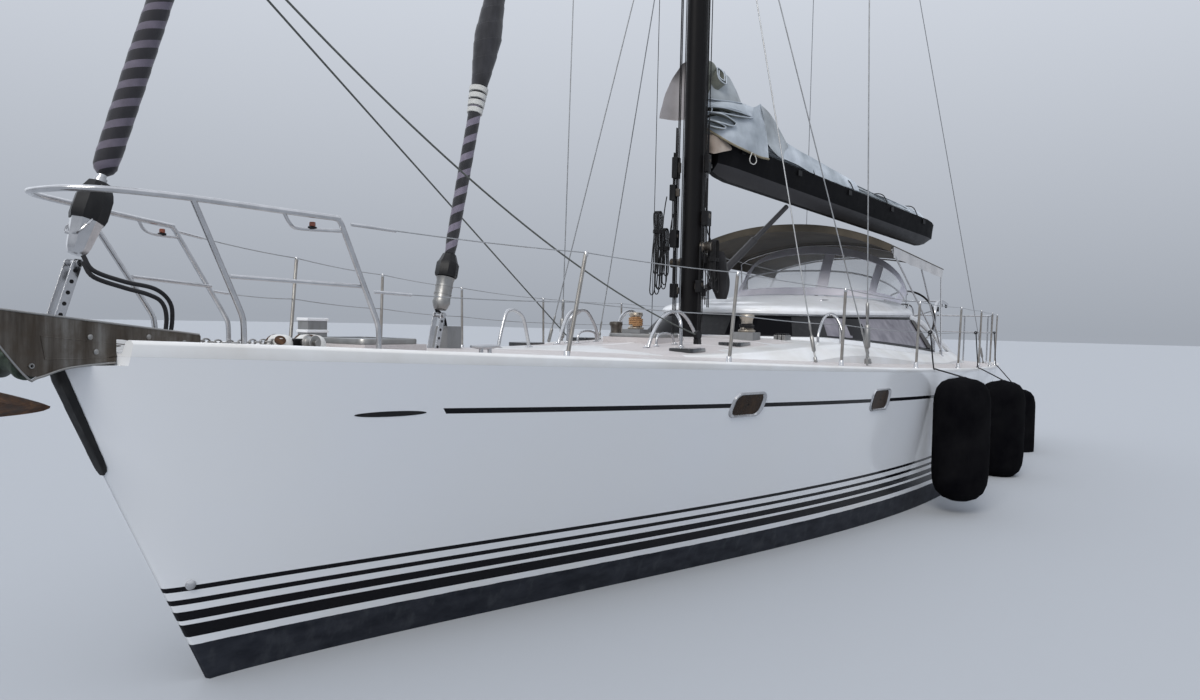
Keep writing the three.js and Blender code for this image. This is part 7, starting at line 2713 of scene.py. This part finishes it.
def hank_path(x, y, top, drop, turns, way):
    """One rope wound in long loops, each beside the last, with its tail led up to the mast."""
    points = [(x, y - way * 0.06, top + 0.16), (x, y - way * 0.045, top + 0.08)]
    straight = drop - 2 * HANK_BEND
    arc = math.pi * HANK_BEND
    loop = 2 * (straight + arc)
    for k in range(turns):
        lower = straight * (1 - 0.16 * (1 + math.sin(2.3 * k + 1)))
        spread = 0.010 * math.sin(1.9 * k + 0.6)
        for s in np.linspace(0, 1, 56, endpoint=False):
            at = s * loop
            out = y + way * HANK_ROPE * 1.12 * (k + s)
            if at < straight:
                u, v = -HANK_BEND, -lower * at / straight
            elif at < straight + arc:
                a = (at - straight) / HANK_BEND
                u, v = -HANK_BEND * math.cos(a), -lower - HANK_BEND * math.sin(a)
            elif at < 2 * straight + arc:
                u, v = HANK_BEND, -lower + lower * (at - straight - arc) / straight
            else:
                a = (at - 2 * straight - arc) / HANK_BEND
                u, v = HANK_BEND * math.cos(a), HANK_BEND * math.sin(a)
            low = clamp(-v / straight - 0.35)
            u *= 1 - 0.38 * math.exp(-(((v + TIE_DROP - HANK_BEND) / 0.11) ** 2))
            points.append((x + u + spread * low * 3, out + way * 0.010 * k * low, top - HANK_BEND + v))
    points.append((x - HANK_BEND, y + way * HANK_ROPE * 1.12 * turns, top - HANK_BEND - 0.25))
    return points


def make_hanks():
    for name, x, y, top, drop, turns, way in HANKS:
        path = hank_path(x, y, top, drop, turns, way)
        made = Part().add(pipe(path, HANK_ROPE / 2, 8)).object(
            f"halyard_hank_{name}", "black_rope", slot="mast_paint", angle=60
        )
        tie = Part()
        thick = HANK_ROPE * 1.12 * turns
        middle = (x, y + way * thick / 2, top - TIE_DROP)
        for k in range(3):
            ring = [(
                middle[0] + (HANK_BEND * 0.66 + 0.014) * math.cos(a),
                middle[1] + (thick / 2 + 0.020) * math.sin(a), middle[2] + 0.014 * k
            ) for a in around(28)]
            tie.add(pipe(ring, HANK_ROPE / 2, 8, closed=True))
        tie.object(f"hank_tie_{name}", "black_rope", slot="mast_paint", angle=60)


def make_foot_bag():
    """A black cloth bag of rope ends, tied at the mast's foot beside the vang."""
    rows = []
    for t in np.linspace(0, 1, 18):
        z = lerp(2.86, 2.32, t)
        wide = 0.03 + 0.080 * math.sin(math.pi * min(1, 0.12 + 0.80 * t)) ** 0.8
        row = []
        for a in around(28):
            fold = 1 + 0.10 * math.sin(5 * a + 6 * t) + 0.05 * math.sin(9 * a - 4 * t)
            row.append((
                1.42 + wide * 0.8 * fold * math.cos(a) - 0.06 * t,
                0.235 + wide * fold * math.sin(a) + 0.04 * t, z
            ))
        rows.append(row)
    Part().add(loft(rows)).object("mast_bag", "boot", slot="mast_paint", angle=70)


make_sheets()
make_mast_lines()
make_hanks()
make_foot_bag()


# Stage and light

HORIZON = (0.36, 0.39, 0.44)
ZENITH = (0.92, 0.97, 1.06)
SUNS = (
    ("key", (52, 0, 100), 1.7, 25, (1.0, 0.97, 0.92)), ("fill", (62, 0, -20), 0.35, 60, (0.90, 0.94, 1.0))
)


def make_sky():
    """Soft overcast light: darker at the horizon than overhead."""
    world = bpy.data.worlds.new("studio")
    bpy.context.scene.world = world
    world.use_nodes = True
    tree = world.node_tree
    direction = tree.nodes.new("ShaderNodeTexCoord").outputs["Generated"]
    height = tree.nodes.new("ShaderNodeSeparateXYZ")
    tree.links.new(direction, height.inputs[0])
    sky = tree.nodes.new("ShaderNodeValToRGB")
    tree.links.new(height.outputs[2], sky.inputs[0])
    for element, at, color in zip(sky.color_ramp.elements, (0.0, 0.7), (HORIZON, ZENITH)):
        element.position = at
        element.color = (*color, 1)
    tree.links.new(sky.outputs[0], tree.nodes["Background"].inputs["Color"])
    tree.nodes["Background"].inputs["Strength"].default_value = 1.0


def make_stage():
    """A plain pale floor at the waterline and soft studio light."""
    mesh = bpy.data.meshes.new("studio_floor")
    mesh.from_pydata([(-200, -200, 0), (200, -200, 0), (200, 200, 0), (-200, 200, 0)], [], [(0, 1, 2, 3)])
    mesh.materials.append(Finish("studio_floor", (0.40, 0.42, 0.45), 0.9, specular=0.1).material)
    floor = bpy.data.objects.new("studio_floor", mesh)
    bpy.context.scene.collection.objects.link(floor)
    make_sky()
    for name, turn, energy, angle, color in SUNS:
        light = bpy.data.lights.new(name, "SUN")
        light.energy, light.angle, light.color = energy, math.radians(angle), color
        lamp = bpy.data.objects.new(name, light)
        lamp.rotation_euler = [math.radians(a) for a in turn]
        bpy.context.scene.collection.objects.link(lamp)
    bpy.context.scene.view_settings.view_transform = "Standard"


make_stage()
